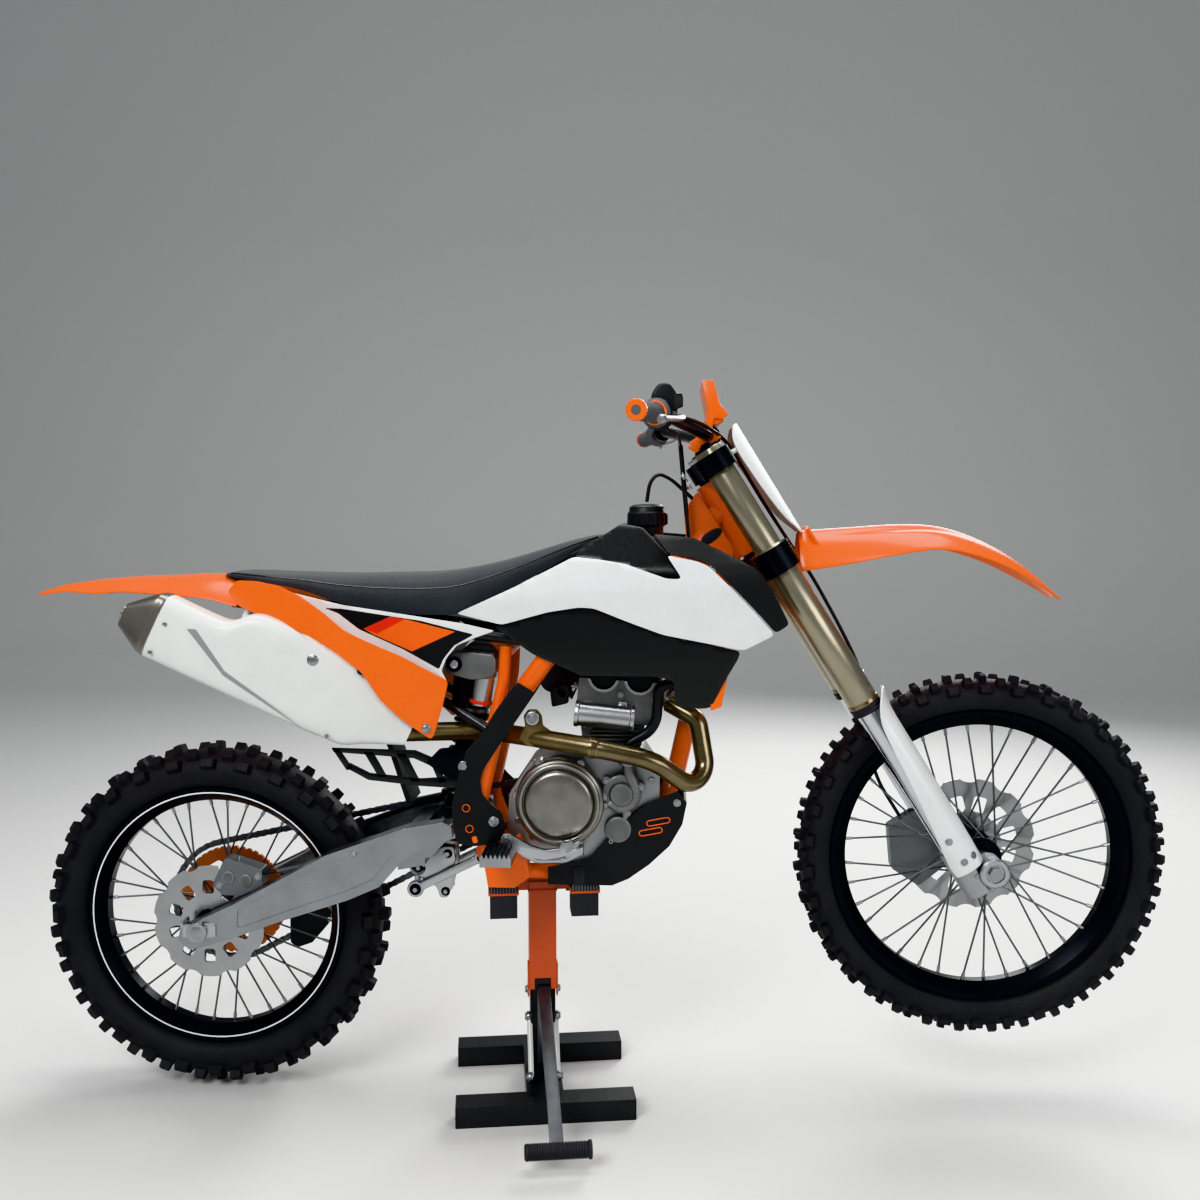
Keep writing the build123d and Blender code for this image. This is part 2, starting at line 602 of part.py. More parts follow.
def held_hose(points, radius):
    """A hose held at both ends: straight runs with an arc at each corner as large as the runs allow."""
    spots = [Vector(*point) for point in points]
    bends = []
    for before, at, after in zip(spots, spots[1:], spots[2:]):
        turn = radians((at - before).get_angle(after - at))
        bends.append(ARC_SHARE * min((at - before).length, (after - at).length) / tan(turn / 2))
    return bent_rod([tuple(spot) for spot in spots], radius, bends)


def coolant_hoses():
    """The pump's hose to the right-hand radiator."""
    line = (HOSE_LOW[1] - HOSE_LOW[0]).normalized()
    route = [HOSE_LOW[0] + line * CLEARANCE] + HOSE_LOW[1:]
    return held_hose(route, HOSE_R)


def header_pipe():
    """The exhaust pipe, from the head's front round the down tube and back."""
    points = [(868, -28, 790), (944, -60, 752), (970, -88, 600), (862, -136, 690), (752, -136, 712),
              (655, -100, 720), (568, -52, 722), (500, -62, 726), (392, -101, 730)]
    inlet = silencer_section(-CONE_LENGTH - CLEARANCE, 90, 90, CONE_RISE, CONE_INWARD)
    pipe = bent_rod(points, PIPE_R, [30, 38, 110, 150, 150, 70, 60]) - extrude(inlet, amount=60)
    port = HEAD_FRONT_X + CLEARANCE
    return pipe - plate([(840, 700), (840, 900), (port, 900), (port, 700)], -90, 0)


SILENCER_FRONT = Vector(310, -113, 764)  # centre of the body's front end
SILENCER_REAR = Vector(-48, -150, 936)
SILENCER_W = 74.0
SILENCER_H = 120.0
SILENCER_ROUND = 24.0
CONE_LENGTH = 104.0
CONE_RISE = 10.0
CONE_INWARD = 6.0
PIPE_R = 17.5


def silencer_section(reach, width, height, rise=0.0, inward=0.0):
    """A rounded section across the silencer, a reach back from the body's front end."""
    line = (SILENCER_REAR - SILENCER_FRONT).normalized()
    centre = SILENCER_FRONT + line * reach + Vector(0, inward, rise)
    across = line.cross(Vector(0, 0, 1))
    corner = SILENCER_ROUND * height / SILENCER_H
    return Plane(centre, x_dir=across, z_dir=line) * RectangleRounded(width, height, corner)


def silencer():
    """The silencer's body, with the cone that takes the pipe in at its front."""
    length = (SILENCER_REAR - SILENCER_FRONT).length
    body = extrude(silencer_section(0, SILENCER_W, SILENCER_H), amount=length)
    cone = loft([silencer_section(-CONE_LENGTH, 40, 44, CONE_RISE, CONE_INWARD),
                 silencer_section(0, SILENCER_W, SILENCER_H)])
    lug = plate([(80, 925), (150, 895), (128, 966), (108, 966)], -104, -98, 4)
    return body + [cone, lug]


def silencer_cap():
    """The silencer's rear cap, lower at its outlet."""
    length = (SILENCER_REAR - SILENCER_FRONT).length + CLEARANCE
    return loft([silencer_section(length, SILENCER_W, SILENCER_H),
                 silencer_section(length + 70, SILENCER_W - 22, SILENCER_H - 24, -16, 4)])


def radiators():
    """Two radiators beside the down tube."""
    core = plate([(915, 800), (940, 1000), (985, 995), (965, 795)], -140, -RADIATOR_IN_Y, 4)
    bosses = [cross_rod(950, 960, -200, -139, 8) & inboard(SHROUD_STRIP),
              cross_rod(945, 862, -200, -139, 8) & inboard(SHROUD_STRIP, LOWER_INSET)]
    return both(core + bosses)


def radiator_brace():
    """The orange brace below each radiator."""
    return both(plate([(964, 782), (975.1, 893), (1002, 884), (984, 790)], -142, -70, 3))


def tank():
    """The fuel tank under seat and shrouds."""
    outline = [(620, 905), (612, 985), (715, 1055), (785, 1100), (850, 1110), (868, 1050), (866, 905),
               (730, 885)]
    return plate(outline, -TANK_HALF, TANK_HALF, 8) + fuel_cap()


def fuel_cap():
    """The filler cap."""
    return rod((848, 0, 1100), (846, 0, 1158), 36)


TANK_HALF = 45.6
LOWER_INSET = 16.0  # how far the lower shroud lies inside the white one
SHROUD_STRIP = [(500, -100), (640, -124), (760, -152), (900, -168), (1110, -160)]
PANEL_STRIP = [(60, -109), (140, -132), (200, -154), (290, -162), (390, -148), (485, -116)]


def curved_panel(outline, strip, inset=0.0):
    """A right-hand body panel: a side outline cut from a wall that follows a curve seen from above."""
    outer_points = [(x, y + inset) for x, y in strip]
    inner_points = [(x, y + inset + SKIN) for x, y in strip]
    ends = [Line(outer_points[0], inner_points[0]), Line(outer_points[-1], inner_points[-1])]
    band = make_face([Spline(*outer_points), Spline(*inner_points)] + ends)
    wall = extrude(Pos(0, 0, PAN_Z) * band, amount=700)
    whole = wall & slab(outline, -260, 0)
    return max(whole.solids(), key=lambda solid: solid.volume)


def inboard(strip, inset=0.0):
    """The room inside a curved panel, out to a clearance from its inner face."""
    edge = [(x, y + inset + SKIN + CLEARANCE) for x, y in strip]
    rest = Polyline(edge[0], (edge[0][0], 0), (edge[-1][0], 0), edge[-1])
    return extrude(Pos(0, 0, PAN_Z) * make_face([Spline(*edge), rest]), amount=700)


def shroud_white_face():
    """The white shroud's outline, seen from the side."""
    return side_face([(500, 953), (717, 1060), (810, 1048), (886, 1022), (909, 1022), (884, 1064), (940, 1053),
                      (960, 1044), (999, 1004), (1076, 923), (1022, 895), (878, 922), (755, 970), (673, 962),
                      (585, 935)], 3)


def shroud_white():
    """The right-hand white shroud."""
    return curved_panel(shroud_white_face(), SHROUD_STRIP)


def shroud_black():
    """The black front of the right-hand shroud, up to the white one's edge."""
    outline = side_face([(870, 1060), (864, 1103), (931, 1094), (998, 1062), (1043, 1040), (1070, 1004),
                         (1102, 941), (1070, 915), (980, 980), (930, 1040)], 3)
    return curved_panel(outline - offset(shroud_white_face(), CLEARANCE), SHROUD_STRIP)


def shroud_lower():
    """The black lower cover beside tank and radiator."""
    outline = [(583, 935), (591, 937), (673, 960), (755, 968), (878, 920), (1014, 893), (1010, 864), (974, 798),
               (954, 789), (904, 797), (892, 835), (863, 838), (730, 842)]
    return curved_panel(side_face(outline, 2), SHROUD_STRIP, LOWER_INSET)


def tank_cover():
    """The black cover between seat and shrouds."""
    outline = [(717, 1064), (785, 1109), (813, 1120), (887, 1066), (908, 1026), (886, 1024), (810, 1051)]
    return both(plate(outline, -118, -62, 6) - spar(SPAR_R + CLEARANCE))


def seat():
    """The seat: a low slab that climbs onto the tank."""
    side = side_face([(22, 1022), (35, 1026), (294, 1026), (469, 1030), (568, 1048), (667, 1077), (784, 1110),
                      (713, 1064), (595, 1003), (533, 971), (495, 953), (438, 950), (368, 955), (282, 972),
                      (197, 997), (126, 1008), (24, 1020)])
    plan = make_face(Polyline((8, -60), (8, 60), (120, 88), (430, 92), (600, 70), (790, 45), (790, -45),
                              (600, -70), (430, -92), (120, -88), close=True))
    return slab(side, -100, 100) & extrude(Pos(0, 0, 940) * plan, amount=200)


def rear_fender():
    """The rear fender: an arched shell that narrows to its tip."""
    stations = [(-337, 984, 36, 4), (-200, 1011, 76, 20), (-60, 1018, 96, 28), (20, 1014, 102, 30),
                (84, 1004, 104, 30)]
    return loft([arch(x, z, half, drop) for x, z, half, drop in stations])


def arch(x, z, half, drop):
    """An arched section of a fender, across the bike."""
    outer = ThreePointArc((-half, -drop), (0, 0), (half, -drop))
    inner = ThreePointArc((-half, -drop - SKIN), (0, -SKIN), (half, -drop - SKIN))
    sides = [Line((-half, -drop), (-half, -drop - SKIN)), Line((half, -drop), (half, -drop - SKIN))]
    return Plane((x, 0, z), x_dir=(0, 1, 0), z_dir=(1, 0, 0)) * make_face([outer, inner] + sides)


def side_panel_upper():
    """The right-hand white side panel."""
    outline = [(206, 992), (430, 946), (571, 920), (533, 909), (494, 888), (474, 864), (466, 847), (482, 829),
               (393, 883), (306, 922), (268, 957)]
    return plate(outline, -PANEL_Y, -PANEL_Y + 8)


def side_panel_lower():
    """The right-hand orange panel below it."""
    outline = [(76, 972), (80, 998), (126, 1000), (204, 990), (266, 955), (306, 920), (393, 881), (480, 827),
               (458, 737), (451, 718), (393, 757), (349, 819), (314, 847), (264, 882), (214, 912), (138, 942)]
    return curved_panel(side_face(outline, 2), PANEL_STRIP)


AIRBOX_HALF = 50.8


def airbox():
    """The airbox under the seat."""
    outline = [(300, 770), (320, 930), (490, 925), (480, 890), (455, 860), (430, 740), (360, 700)]
    return plate(outline, -AIRBOX_HALF, AIRBOX_HALF, 12)


def subframe():
    """The rails that carry seat and fender, each side's pair meeting at the back."""
    upper = bent_rod([(690, -78, 893), (430, -76, 925), (66, -70, 971)], 11, [400])
    perch = [rod((76, -66, 970), (76, -66, 986.2), 8), rod((400, -76, 929), (400, -76, 952.3), 8)]
    perch.append(cross_rod(440, 925, -PANEL_Y + 8 + CLEARANCE, -80, 7))
    perch.append(cross_rod(330, 852, -200, -62, 7) & inboard(PANEL_STRIP))
    boss = cross_rod(118, 957, -98 + CLEARANCE, -68, 8)
    lower = bent_rod([(552, -92, 735), (470, -62, 780), (120, -60, 960)], 10, [120])
    side = (upper + [lower, boss] + perch) - [spar(SPAR_R + CLEARANCE), frame_brace(BRACE_R + CLEARANCE)]
    return both(max(side.solids(), key=lambda solid: solid.volume))


def mud_flap():
    """The flap that keeps mud off the shock."""
    return plate([(329.8, 734.8), (351.8, 709.2), (361, 690), (396, 580), (386, 580), (351, 688), (344.2, 702.7),
                  (322.2, 728.3)], -42, 42)


def skid_plate():
    """The plastic pan under the cradle, with its turned-up sides."""
    under = [(664, PAN_Z), (785, PAN_Z), (815, 454), (854, 482), (892, 518), (916, 560), (924, 600)]
    over = [(x - rise * SKIN, z + (1 - rise * 0.5) * SKIN) for (x, z), rise in
            zip(under, (0, 0, 0.5, 0.7, 0.9, 1.1, 1.1))]
    floor = plate(under + over[::-1], -92, 92)
    wall = plate(under + [(906, 622), (850, 598), (800, 560), (740, 490), (664, 474)], -92, -92 + SKIN)
    for x, z in ((871, 564), (857, 545)):
        slot = Plane((x, -92, z), x_dir=(0.98, 0, 0.19), z_dir=(0, -1, 0)) * SlotOverall(42, 9)
        wall -= extrude(slot, amount=SKIN + 1, both=True)
    return floor + both(wall)


PEG_TOOTH = 8.0


def footpegs():
    """Two pegs on the frame's hangers."""
    inner = FRAME_Y + 30 + CLEARANCE
    teeth = [(556 + PEG_TOOTH * i / 2, 538 if i % 2 else 529) for i in range(int(2 * 56 / PEG_TOOTH) + 1)]
    tread = plate([(556, 514)] + teeth + [(612, 514)], -inner - 100, -inner)
    return both(tread - plate([(566, 500), (566, 526), (602, 526), (602, 500)], -inner - 92, -inner - 26))


def brake_pedal():
    """The brake pedal, swept forward under the clutch cover to its toe plate."""
    seat_y = -FRAME_Y - 30 - 7 - CLEARANCE
    arm = bent_rod([(621, seat_y, 514), (650, seat_y, 501), (700, seat_y - 2, 503), (732, -142, 521)], 7, [30, 30])
    toe = plate([(704, 516), (704, 524), (736, 536), (736, 526)], -172, -142)
    return arm + toe


def gear_lever():
    """The gear lever on the left."""
    arm = rod((650, 96, 560), (770, 122, 560), 6)
    toe = rod((770, 118, 560), (770, 150, 560), 8)
    boss = cross_rod(650, 560, CASE_Y, 102, 9)
    return arm + [toe, boss]


def chain_guide():
    """The guide round the chain's lower run, on the swingarm."""
    block = plate([(120, 314), (202, 338), (198, 300), (165, 262), (132, 250), (120, 262)],
                  CHAIN_Y - CHAIN_W / 2 - 3, ARM_IN_Y - CLEARANCE, 5)
    way = chain_loop(CHAIN_H / 2 + 2) - chain_loop(-CHAIN_H / 2 - 2)
    return block - slab(way, CHAIN_Y - CHAIN_W / 2 - 0.5, CHAIN_Y + CHAIN_W / 2 + 0.5)


def rear_calliper():
    """The rear calliper, over its disc."""
    block = plate([(14, 425), (40, 478), (112, 456), (112, 424), (70, 404), (34, 404)], -ARM_IN_Y + CLEARANCE, -44, 6)
    return block - at_rear(disc_room(REAR_DISC_R, -DISC_Y))


def disc_room(radius, y):
    """The space that a disc sweeps, with its gap to the calliper."""
    return cross_rod(0, 0, y - DISC_T / 2 - PAD_GAP, y + DISC_T / 2 + PAD_GAP, radius + PAD_GAP)


# ================================================================== steering
def clamps():
    """The two triple clamps, each split round its legs, and the stem between them."""
    pieces = []
    for s, height in ((LOWER_CLAMP_S, LOWER_CLAMP_H), (UPPER_CLAMP_S, UPPER_CLAMP_H)):
        grip_r = OUTER_TUBE_R if s == LOWER_CLAMP_S else UPPER_TUBE_R
        base = Circle(HEAD_TUBE_R - 2)
        base += make_face(Polyline((-18, -30), (-18, 30), (4, 78), (4, 92), (29, 92), (29, -92), (4, -92), (4, -78),
                                   close=True))
        base += Pos(CLAMP_OFFSET, LEG_Y) * Circle(grip_r + 9)
        base += Pos(CLAMP_OFFSET, -LEG_Y) * Circle(grip_r + 9)
        base -= Pos(CLAMP_OFFSET, LEG_Y) * Circle(grip_r)
        base -= Pos(CLAMP_OFFSET, -LEG_Y) * Circle(grip_r)
        clamp = extrude(fork_plane(s - height / 2, STEER_O) * base, amount=height)
        inner = 1 if s == LOWER_CLAMP_S else -1
        seat_s = s + inner * height / 2
        ends = sorted((seat_s, seat_s + inner * (BEARING_H - CLEARANCE)))
        bearing = fork_rod(*ends, STEER_O, 0, HEAD_TUBE_R - 9)
        pieces.append(clamp + bearing)
    return pieces


def fork_outers():
    """The outer tubes, wider below the lower clamp."""
    top = LOWER_CLAMP_S + LOWER_CLAMP_H / 2
    tube = fork_rod(OUTER_LOW_S, top, LEG_O, -LEG_Y, OUTER_TUBE_R) + fork_rod(top, FORK_TOP_S, LEG_O, -LEG_Y,
                                                                              UPPER_TUBE_R)
    return both(tube)


def fork_inners():
    """The sliding tubes."""
    return both(fork_rod(70, OUTER_LOW_S, LEG_O, -LEG_Y, INNER_TUBE_R))


def fork_lugs():
    """The two legs' feet, round the axle."""
    body = fork_rod(-24, 70, LEG_O, -LEG_Y, INNER_TUBE_R + 4)
    body += cross_rod(FRONT_AXLE_X, FRONT_AXLE_Z, -LEG_Y - 24, -LEG_Y + 24, AXLE_R + 12)
    return both(body)


def axle_lugs():
    """The lugs at the fork's feet with the axle and its spacers between them."""
    shaft = cross_rod(FRONT_AXLE_X, FRONT_AXLE_Z, -LEG_Y - 26, LEG_Y + 26, AXLE_R)
    right = HUB_FLANGE_Y + 6 + CLEARANCE
    left = DISC_Y + 4 + CLEARANCE
    spacers = [cross_rod(FRONT_AXLE_X, FRONT_AXLE_Z, -LEG_Y + 24, -right, AXLE_R + 5),
               cross_rod(FRONT_AXLE_X, FRONT_AXLE_Z, left, LEG_Y - 24, AXLE_R + 5)]
    return shaft + spacers + fork_lugs()


def fork_guards():
    """The white guards before the sliding tubes."""
    half = INNER_TUBE_R + 12
    outer = fork_plane(32, LEG_O, -LEG_Y) * Circle(half)
    inner = fork_plane(32, LEG_O, -LEG_Y) * Circle(half - SKIN)
    shell = extrude(outer, amount=OUTER_LOW_S - 20) - extrude(inner, amount=OUTER_LOW_S - 20)
    foot = fork_plane(40, LEG_O, -LEG_Y) * (Circle(half - SKIN) - Circle(INNER_TUBE_R + 4 + CLEARANCE))
    keep = fork_plane(32, LEG_O + half + 2, -LEG_Y - 12) * Rectangle(2 * half, 2 * half)
    return both((shell + extrude(foot, amount=20)) & extrude(keep, amount=OUTER_LOW_S - 10))


def front_fender():
    """The front fender, arched and rising from the lower clamp."""
    stations = [(1136, 1094, 62, 40), (1221, 1112, 72, 50), (1313, 1118, 80, 44), (1400, 1112, 84, 34),
                (1507, 1069, 74, 18), (1617, 984, 30, 4)]
    shell = loft([arch(x, z, half, drop) for x, z, half, drop in stations])
    top = LOWER_CLAMP_S - LOWER_CLAMP_H / 2 - CLEARANCE
    tongue = extrude(fork_plane(top - 8, -2) * Rectangle(92, 84), amount=8)
    riser = extrude(fork_plane(top - 8, 42) * Rectangle(6, 84), amount=46)
    return shell + [tongue, riser]


def number_plate():
    """The front number plate, bowed round its middle."""
    stations = [(704, 76, 52, 6), (790, 78, 88, 24), (890, 76, 98, 30), (938, 72, 66, 16)]
    shell = loft([plate_section(s, LEG_O + o, half, bow) for s, o, half, bow in stations])
    peg = rod(fork_point(UPPER_CLAMP_S, -4.6, -88), fork_point(UPPER_CLAMP_S, 11, -88), 5)
    return shell + both(peg)


def plate_section(s, o, half, bow):
    """A bowed section of the number plate, across the fork."""
    outer = ThreePointArc((-bow, -half), (0, 0), (-bow, half))
    inner = ThreePointArc((-bow - SKIN, -half), (-SKIN, 0), (-bow - SKIN, half))
    sides = [Line((-bow, -half), (-bow - SKIN, -half)), Line((-bow, half), (-bow - SKIN, half))]
    return fork_plane(s, o) * make_face([outer, inner] + sides)


def handlebar():
    """The bar, bent up and swept back."""
    bx, bz = BAR_CENTRE
    kx, kz = BAR_BEND
    ex, ez = BAR_END
    end_y = GRIP_END_Y - 6
    points = [(ex, -end_y, ez), (kx, -225, kz), (bx, -75, bz), (bx, 75, bz), (kx, 225, kz), (ex, end_y, ez)]
    return bent_rod(points, BAR_R, [70, 70, 70, 70])


def bar_mounts():
    """The mounts between top clamp and bar."""
    bx, bz = BAR_CENTRE
    foot = fork_point(UPPER_CLAMP_S + UPPER_CLAMP_H / 2, STEER_O + 14)
    mount = rod((foot.X, -46, foot.Z), (bx, -46, bz - BAR_R - 6), 12)
    cap = cross_rod(bx, bz, -62, -30, BAR_R + 10) - cross_rod(bx, bz, -70, -20, BAR_R + CLEARANCE)
    return both(cap + (mount - cross_rod(bx, bz, -70, -20, BAR_R + CLEARANCE)))


def bar_pad():
    """The pad over the bar's middle."""
    return plate([(947, 1379), (968, 1379), (981, 1333), (992, 1326), (984, 1306), (976, 1299.3), (955, 1299.3),
                  (958, 1325)], -75, 75, 4)


def fillet_box(length, width, height, round_by):
    """A box with its upright edges rounded."""
    box = Box(length, width, height)
    return fillet(box.edges().filter_by(Axis.Z), round_by)


def bar_line():
    """The right-hand bar end's centre, and the way from it towards the middle."""
    ex, ez = BAR_END
    kx, kz = BAR_BEND
    end = Vector(ex, -GRIP_END_Y + 6, ez)
    return end, (Vector(kx, -225, kz) - end).normalized()


def grips():
    """The two grips."""
    end, line = bar_line()
    far = end + line * GRIP_LENGTH
    grip = rod((end - line * 6), far, GRIP_R) + rod((far - line * 4), far, 25)
    return both(grip - rod(end, (far + line * 5), BAR_R + CLEARANCE))


def brake_hose():
    """The front brake's hose: round the clamps behind the number plate, then down inside the left leg."""
    end, line = bar_line()
    start = end + line * (GRIP_LENGTH + 54.5) + Vector(0.97, -0.25, 0) * (BAR_R + 2 * CLEARANCE + CABLE_R)
    route = [start, Vector(936, -150, 1301), fork_point(927, 4, -52), fork_point(800, 8, 40),
             fork_point(690, 14, 84), fork_point(609, 17.5, 86), fork_point(494, 12, 84), fork_point(400, 0, 62),
             fork_point(215, -85, 60), fork_point(116.5, -85, 60)]
    return held_hose(route, CABLE_R)


def bar_cables():
    """The two throttle cables, from the housing in and down behind the clamps."""
    end, line = bar_line()
    start = end + line * (GRIP_LENGTH + 31.2) + Vector(0, 0, -24)
    across = Vector(line.Y, -line.X, 0)
    cables = []
    for step in (0.0, 8.0):
        route = [start - across * step, Vector(902, -205 - step, 1276), Vector(909, -60 - step, 1262),
                 Vector(914, -60 - step, 1190), Vector(921, -60 - step, 1135)]
        cables.append(held_hose(route, CABLE_R - 0.5))
    return cables


def breather_hose():
    """The tank's breather, looped from the cap into the steering stem's back."""
    route = [Vector(846.5, 0, 1159.2), Vector(852, 0, 1196), Vector(868, 0, 1214), Vector(892, 0, 1203),
             Vector(958.5, 0, 1143)]
    return held_hose(route, CABLE_R)


def controls():
    """Throttle housing, master cylinder and clutch perch."""
    end, line = bar_line()
    start = end + line * (GRIP_LENGTH + 1)
    housing = rod(start, (start + line * 28), 27)
    perch = rod((start + line * 30), (start + line * 52), 18)
    bore = rod(end, (start + line * 80), BAR_R + CLEARANCE)
    reservoir = Pos(*(start + line * 41 + Vector(14, 0, 18))) * Rot(0, 0, 14) * fillet_box(30, 40, 20, 4)
    return [(housing + [perch, reservoir]) - bore, other_side(perch - bore)]


def levers():
    """Brake and clutch levers ahead of the grips."""
    arm = bent_rod([(900.5, -241, 1301), (909, -290, 1296), (907, -318, 1292), (874, -397, 1286)], 6, [30, 20])
    return both(arm)


def front_calliper():
    """The front calliper behind the left leg."""
    outer_y = LEG_Y - INNER_TUBE_R - 4 - CLEARANCE
    block = plate([(1330, 440), (1322, 523), (1372, 556), (1420, 510), (1436, 450), (1383, 406)], 44, outer_y, 8)
    return block - at_front(disc_room(FRONT_DISC_R, DISC_Y))


# ================================================================== stand
def stand_turn():
    """The stand's own frame, turned a little from the bike."""
    return Pos(STAND_X, 0, 0) * Rot(0, 0, STAND_YAW)


def stand_base():
    """Two foot bars on a spine, with the mast's socket."""
    bar_y = (FOOT_DEPTH - FOOT_W) / 2
    base = Pos(0, 0, FOOT_H / 2) * Box(70, FOOT_DEPTH - 2 * FOOT_W, FOOT_H)
    for y in (-bar_y, bar_y):
        base += Pos(0, y, FOOT_H / 2) * Box(FOOT_LENGTH, FOOT_W, FOOT_H)
    post = Pos(0, 0, FOOT_H + POST_H / 2) * Box(POST_W, POST_W, POST_H)
    return stand_turn() * (base + post)


def stand_mast():
    """The orange column with its head bar, and the two brackets that bear the pads."""
    top = HEAD_TOP_Z - BRACKET_T
    column = Pos(0, 0, (COLUMN_LOW_Z + top) / 2) * Box(53, 53, top - COLUMN_LOW_Z)
    socket = POST_W + 2 * CLEARANCE
    column -= Pos(0, 0, COLUMN_LOW_Z) * Box(socket, socket, 2 * (FOOT_H + POST_H + 1 - COLUMN_LOW_Z))
    notch = Pos(0, 0, COLUMN_LOW_Z) * Box(POST_W - 8, 80, 44)
    head = Pos(0, 0, HEAD_TOP_Z - 10) * Box(PAD_SPACING, 40, 20)
    pieces_of_head = [head]
    for x in (-PAD_SPACING / 2, PAD_SPACING / 2):
        shelf = Pos(x, 0, HEAD_TOP_Z - BRACKET_T / 2) * Box(PAD_W + 2 * BRACKET_T, 2 * PAD_OUT_Y, BRACKET_T)
        rail = Pos(x, 0, HEAD_TOP_Z - 10) * Box(30, 2 * (PAD_OUT_Y - PAD_LENGTH) - 2 * CLEARANCE, 20)
        pieces_of_head += [shelf, rail]
    return stand_turn() * ((column - notch) + pieces_of_head)


def stand_pads():
    """Rubber at the head's four ends: a pad on each shelf and a block below it."""
    pads = []
    for side_x, top in ((-1, PAN_Z + SKIN), (1, PAN_Z - CLEARANCE)):
        low = HEAD_TOP_Z + CLEARANCE
        for side_y in (-1, 1):
            x, y = side_x * PAD_SPACING / 2, side_y * (PAD_OUT_Y - PAD_LENGTH / 2)
            pads.append(stand_turn() * Pos(x, y, (low + top) / 2) * Box(PAD_W, PAD_LENGTH, top - low))
            under = HEAD_TOP_Z - BRACKET_T - CLEARANCE
            pads.append(stand_turn() * Pos(x, y, under - PAD_DROP / 2) * Box(PAD_W, PAD_LENGTH, PAD_DROP))
    return pads


def stand_lever():
    """The foot lever with its roller pedal."""
    arm = rod((0, -LEVER_PIVOT_Y, LEVER_PIVOT_Z), (40, -300, 42), 9)
    pivot = rod((-34, -LEVER_PIVOT_Y, LEVER_PIVOT_Z), (34, -LEVER_PIVOT_Y, LEVER_PIVOT_Z), 9)
    roller = rod((-15, -306, 38), (98, -306, 38), 13)
    return stand_turn() * (arm + [pivot, roller])


def stand_links():
    """The two links beside the lever."""
    beside = POST_W / 2 + CLEARANCE + LINK_R
    low = FOOT_H + CLEARANCE + LINK_R
    return [stand_turn() * rod((x, -12, 150), (x, -80, low), LINK_R) for x in (-beside, beside)]


# ================================================================== assembly
def at_rear(shape):
    """Places a wheel piece on the rear axle."""
    return Pos(REAR_AXLE.X, 0, REAR_AXLE.Z) * shape


def at_front(shape):
    """Places a wheel piece on the front axle."""
    return Pos(FRONT_AXLE.X, 0, FRONT_AXLE.Z) * shape


def pieces():
    """Every sub-part by name."""
    return {
        "stand_base": stand_base(),
        "stand_mast": stand_mast(),
        "stand_pads": stand_pads(),
        "stand_lever": [stand_lever()] + stand_links(),
        "frame": frame(),
        "frame_guards": both(frame_guard()),
        "subframe": subframe(),
        "engine": engine(),
        "engine_covers": [clutch_cover(), pump_cover(), ignition_cover()],
        "valve_cover": valve_cover(),
        "header_pipe": header_pipe(),
        "silencer": silencer(),
        "silencer_cap": silencer_cap(),
        "radiators": radiators(),
        "coolant_hoses": coolant_hoses(),
        "radiator_brace": radiator_brace(),
        "tank": tank(),
        "breather_hose": breather_hose(),
        "shrouds_white": both(shroud_white()),
        "shrouds_black": both(shroud_black()) + both(shroud_lower()) + tank_cover(),
        "seat": seat(),
        "rear_fender": rear_fender(),
        "side_panels": both(side_panel_upper()),
        "side_panels_lower": both(side_panel_lower()),
        "airbox": [airbox(), mud_flap()],
        "skid_plate": skid_plate(),
        "footpegs": footpegs(),
        "foot_controls": [brake_pedal(), gear_lever()],
        "swingarm": swingarm(),
        "rear_axle": [rear_axle(), pivot_bolt()],
        "shock": shock(),
        "linkage": linkage(),
        "chain": chain(),
        "chain_guide": chain_guide(),
        "rear_calliper": rear_calliper(),
        "clamps": clamps() + bar_mounts(),
        "fork_outers": fork_outers(),
        "fork_inners": fork_inners(),
        "axle_lugs": axle_lugs(),
        "fork_guards": fork_guards(),
        "front_fender": front_fender(),
        "number_plate": number_plate(),
        "handlebar": handlebar(),
        "bar_pad": bar_pad(),
        "grips": grips(),
        "controls": controls() + levers(),
        "brake_hose": brake_hose(),
        "bar_cables": bar_cables(),
        "front_calliper": front_calliper(),
        "front_tyre": at_front(tyre(FRONT_TYRE_R, FRONT_TYRE_HALF, FRONT_LUG_H, FRONT_RIM_R, FRONT_RIM_HALF,
                                    FRONT_PITCHES)),
        "front_rim": at_front(rim(FRONT_RIM_R, FRONT_RIM_HALF)),
        "front_hub": at_front(hub(FRONT_RIM_R, FRONT_RIM_HALF, HUB_FLANGE_Y + 6, DISC_Y + 4)),
        "front_disc": at_front(wave_disc(FRONT_DISC_R, DISC_Y, 12)),
        "rear_tyre": at_rear(tyre(REAR_TYRE_R, REAR_TYRE_HALF, REAR_LUG_H, REAR_RIM_R, REAR_RIM_HALF,
                                  REAR_PITCHES)),
        "rear_rim": at_rear(rim(REAR_RIM_R, REAR_RIM_HALF)),
        "rear_hub": at_rear(hub(REAR_RIM_R, REAR_RIM_HALF, DISC_Y + 4, CHAIN_Y + 4)),
        "rear_disc": at_rear(wave_disc(REAR_DISC_R, -DISC_Y, 10)),
        "rear_sprocket": at_rear(rear_sprocket()),
    }


def solids_of(shape):
    """A shape's solids, whether it came as one shape or a list."""
    parts = shape if isinstance(shape, list) else [shape]
    return [solid for part in parts for solid in part.solids()]


def main():
    """Builds every sub-part and writes its STEP file."""
    os.makedirs("parts", exist_ok=True)
    for name, shape in pieces().items():
        moved = [Pos(-STAND_X, 0, 0) * solid for solid in solids_of(shape)]
        whole = moved[0] if len(moved) == 1 else Compound(children=moved)
        export_step(whole, f"parts/{name}.step")


if __name__ == "__main__":
    main()
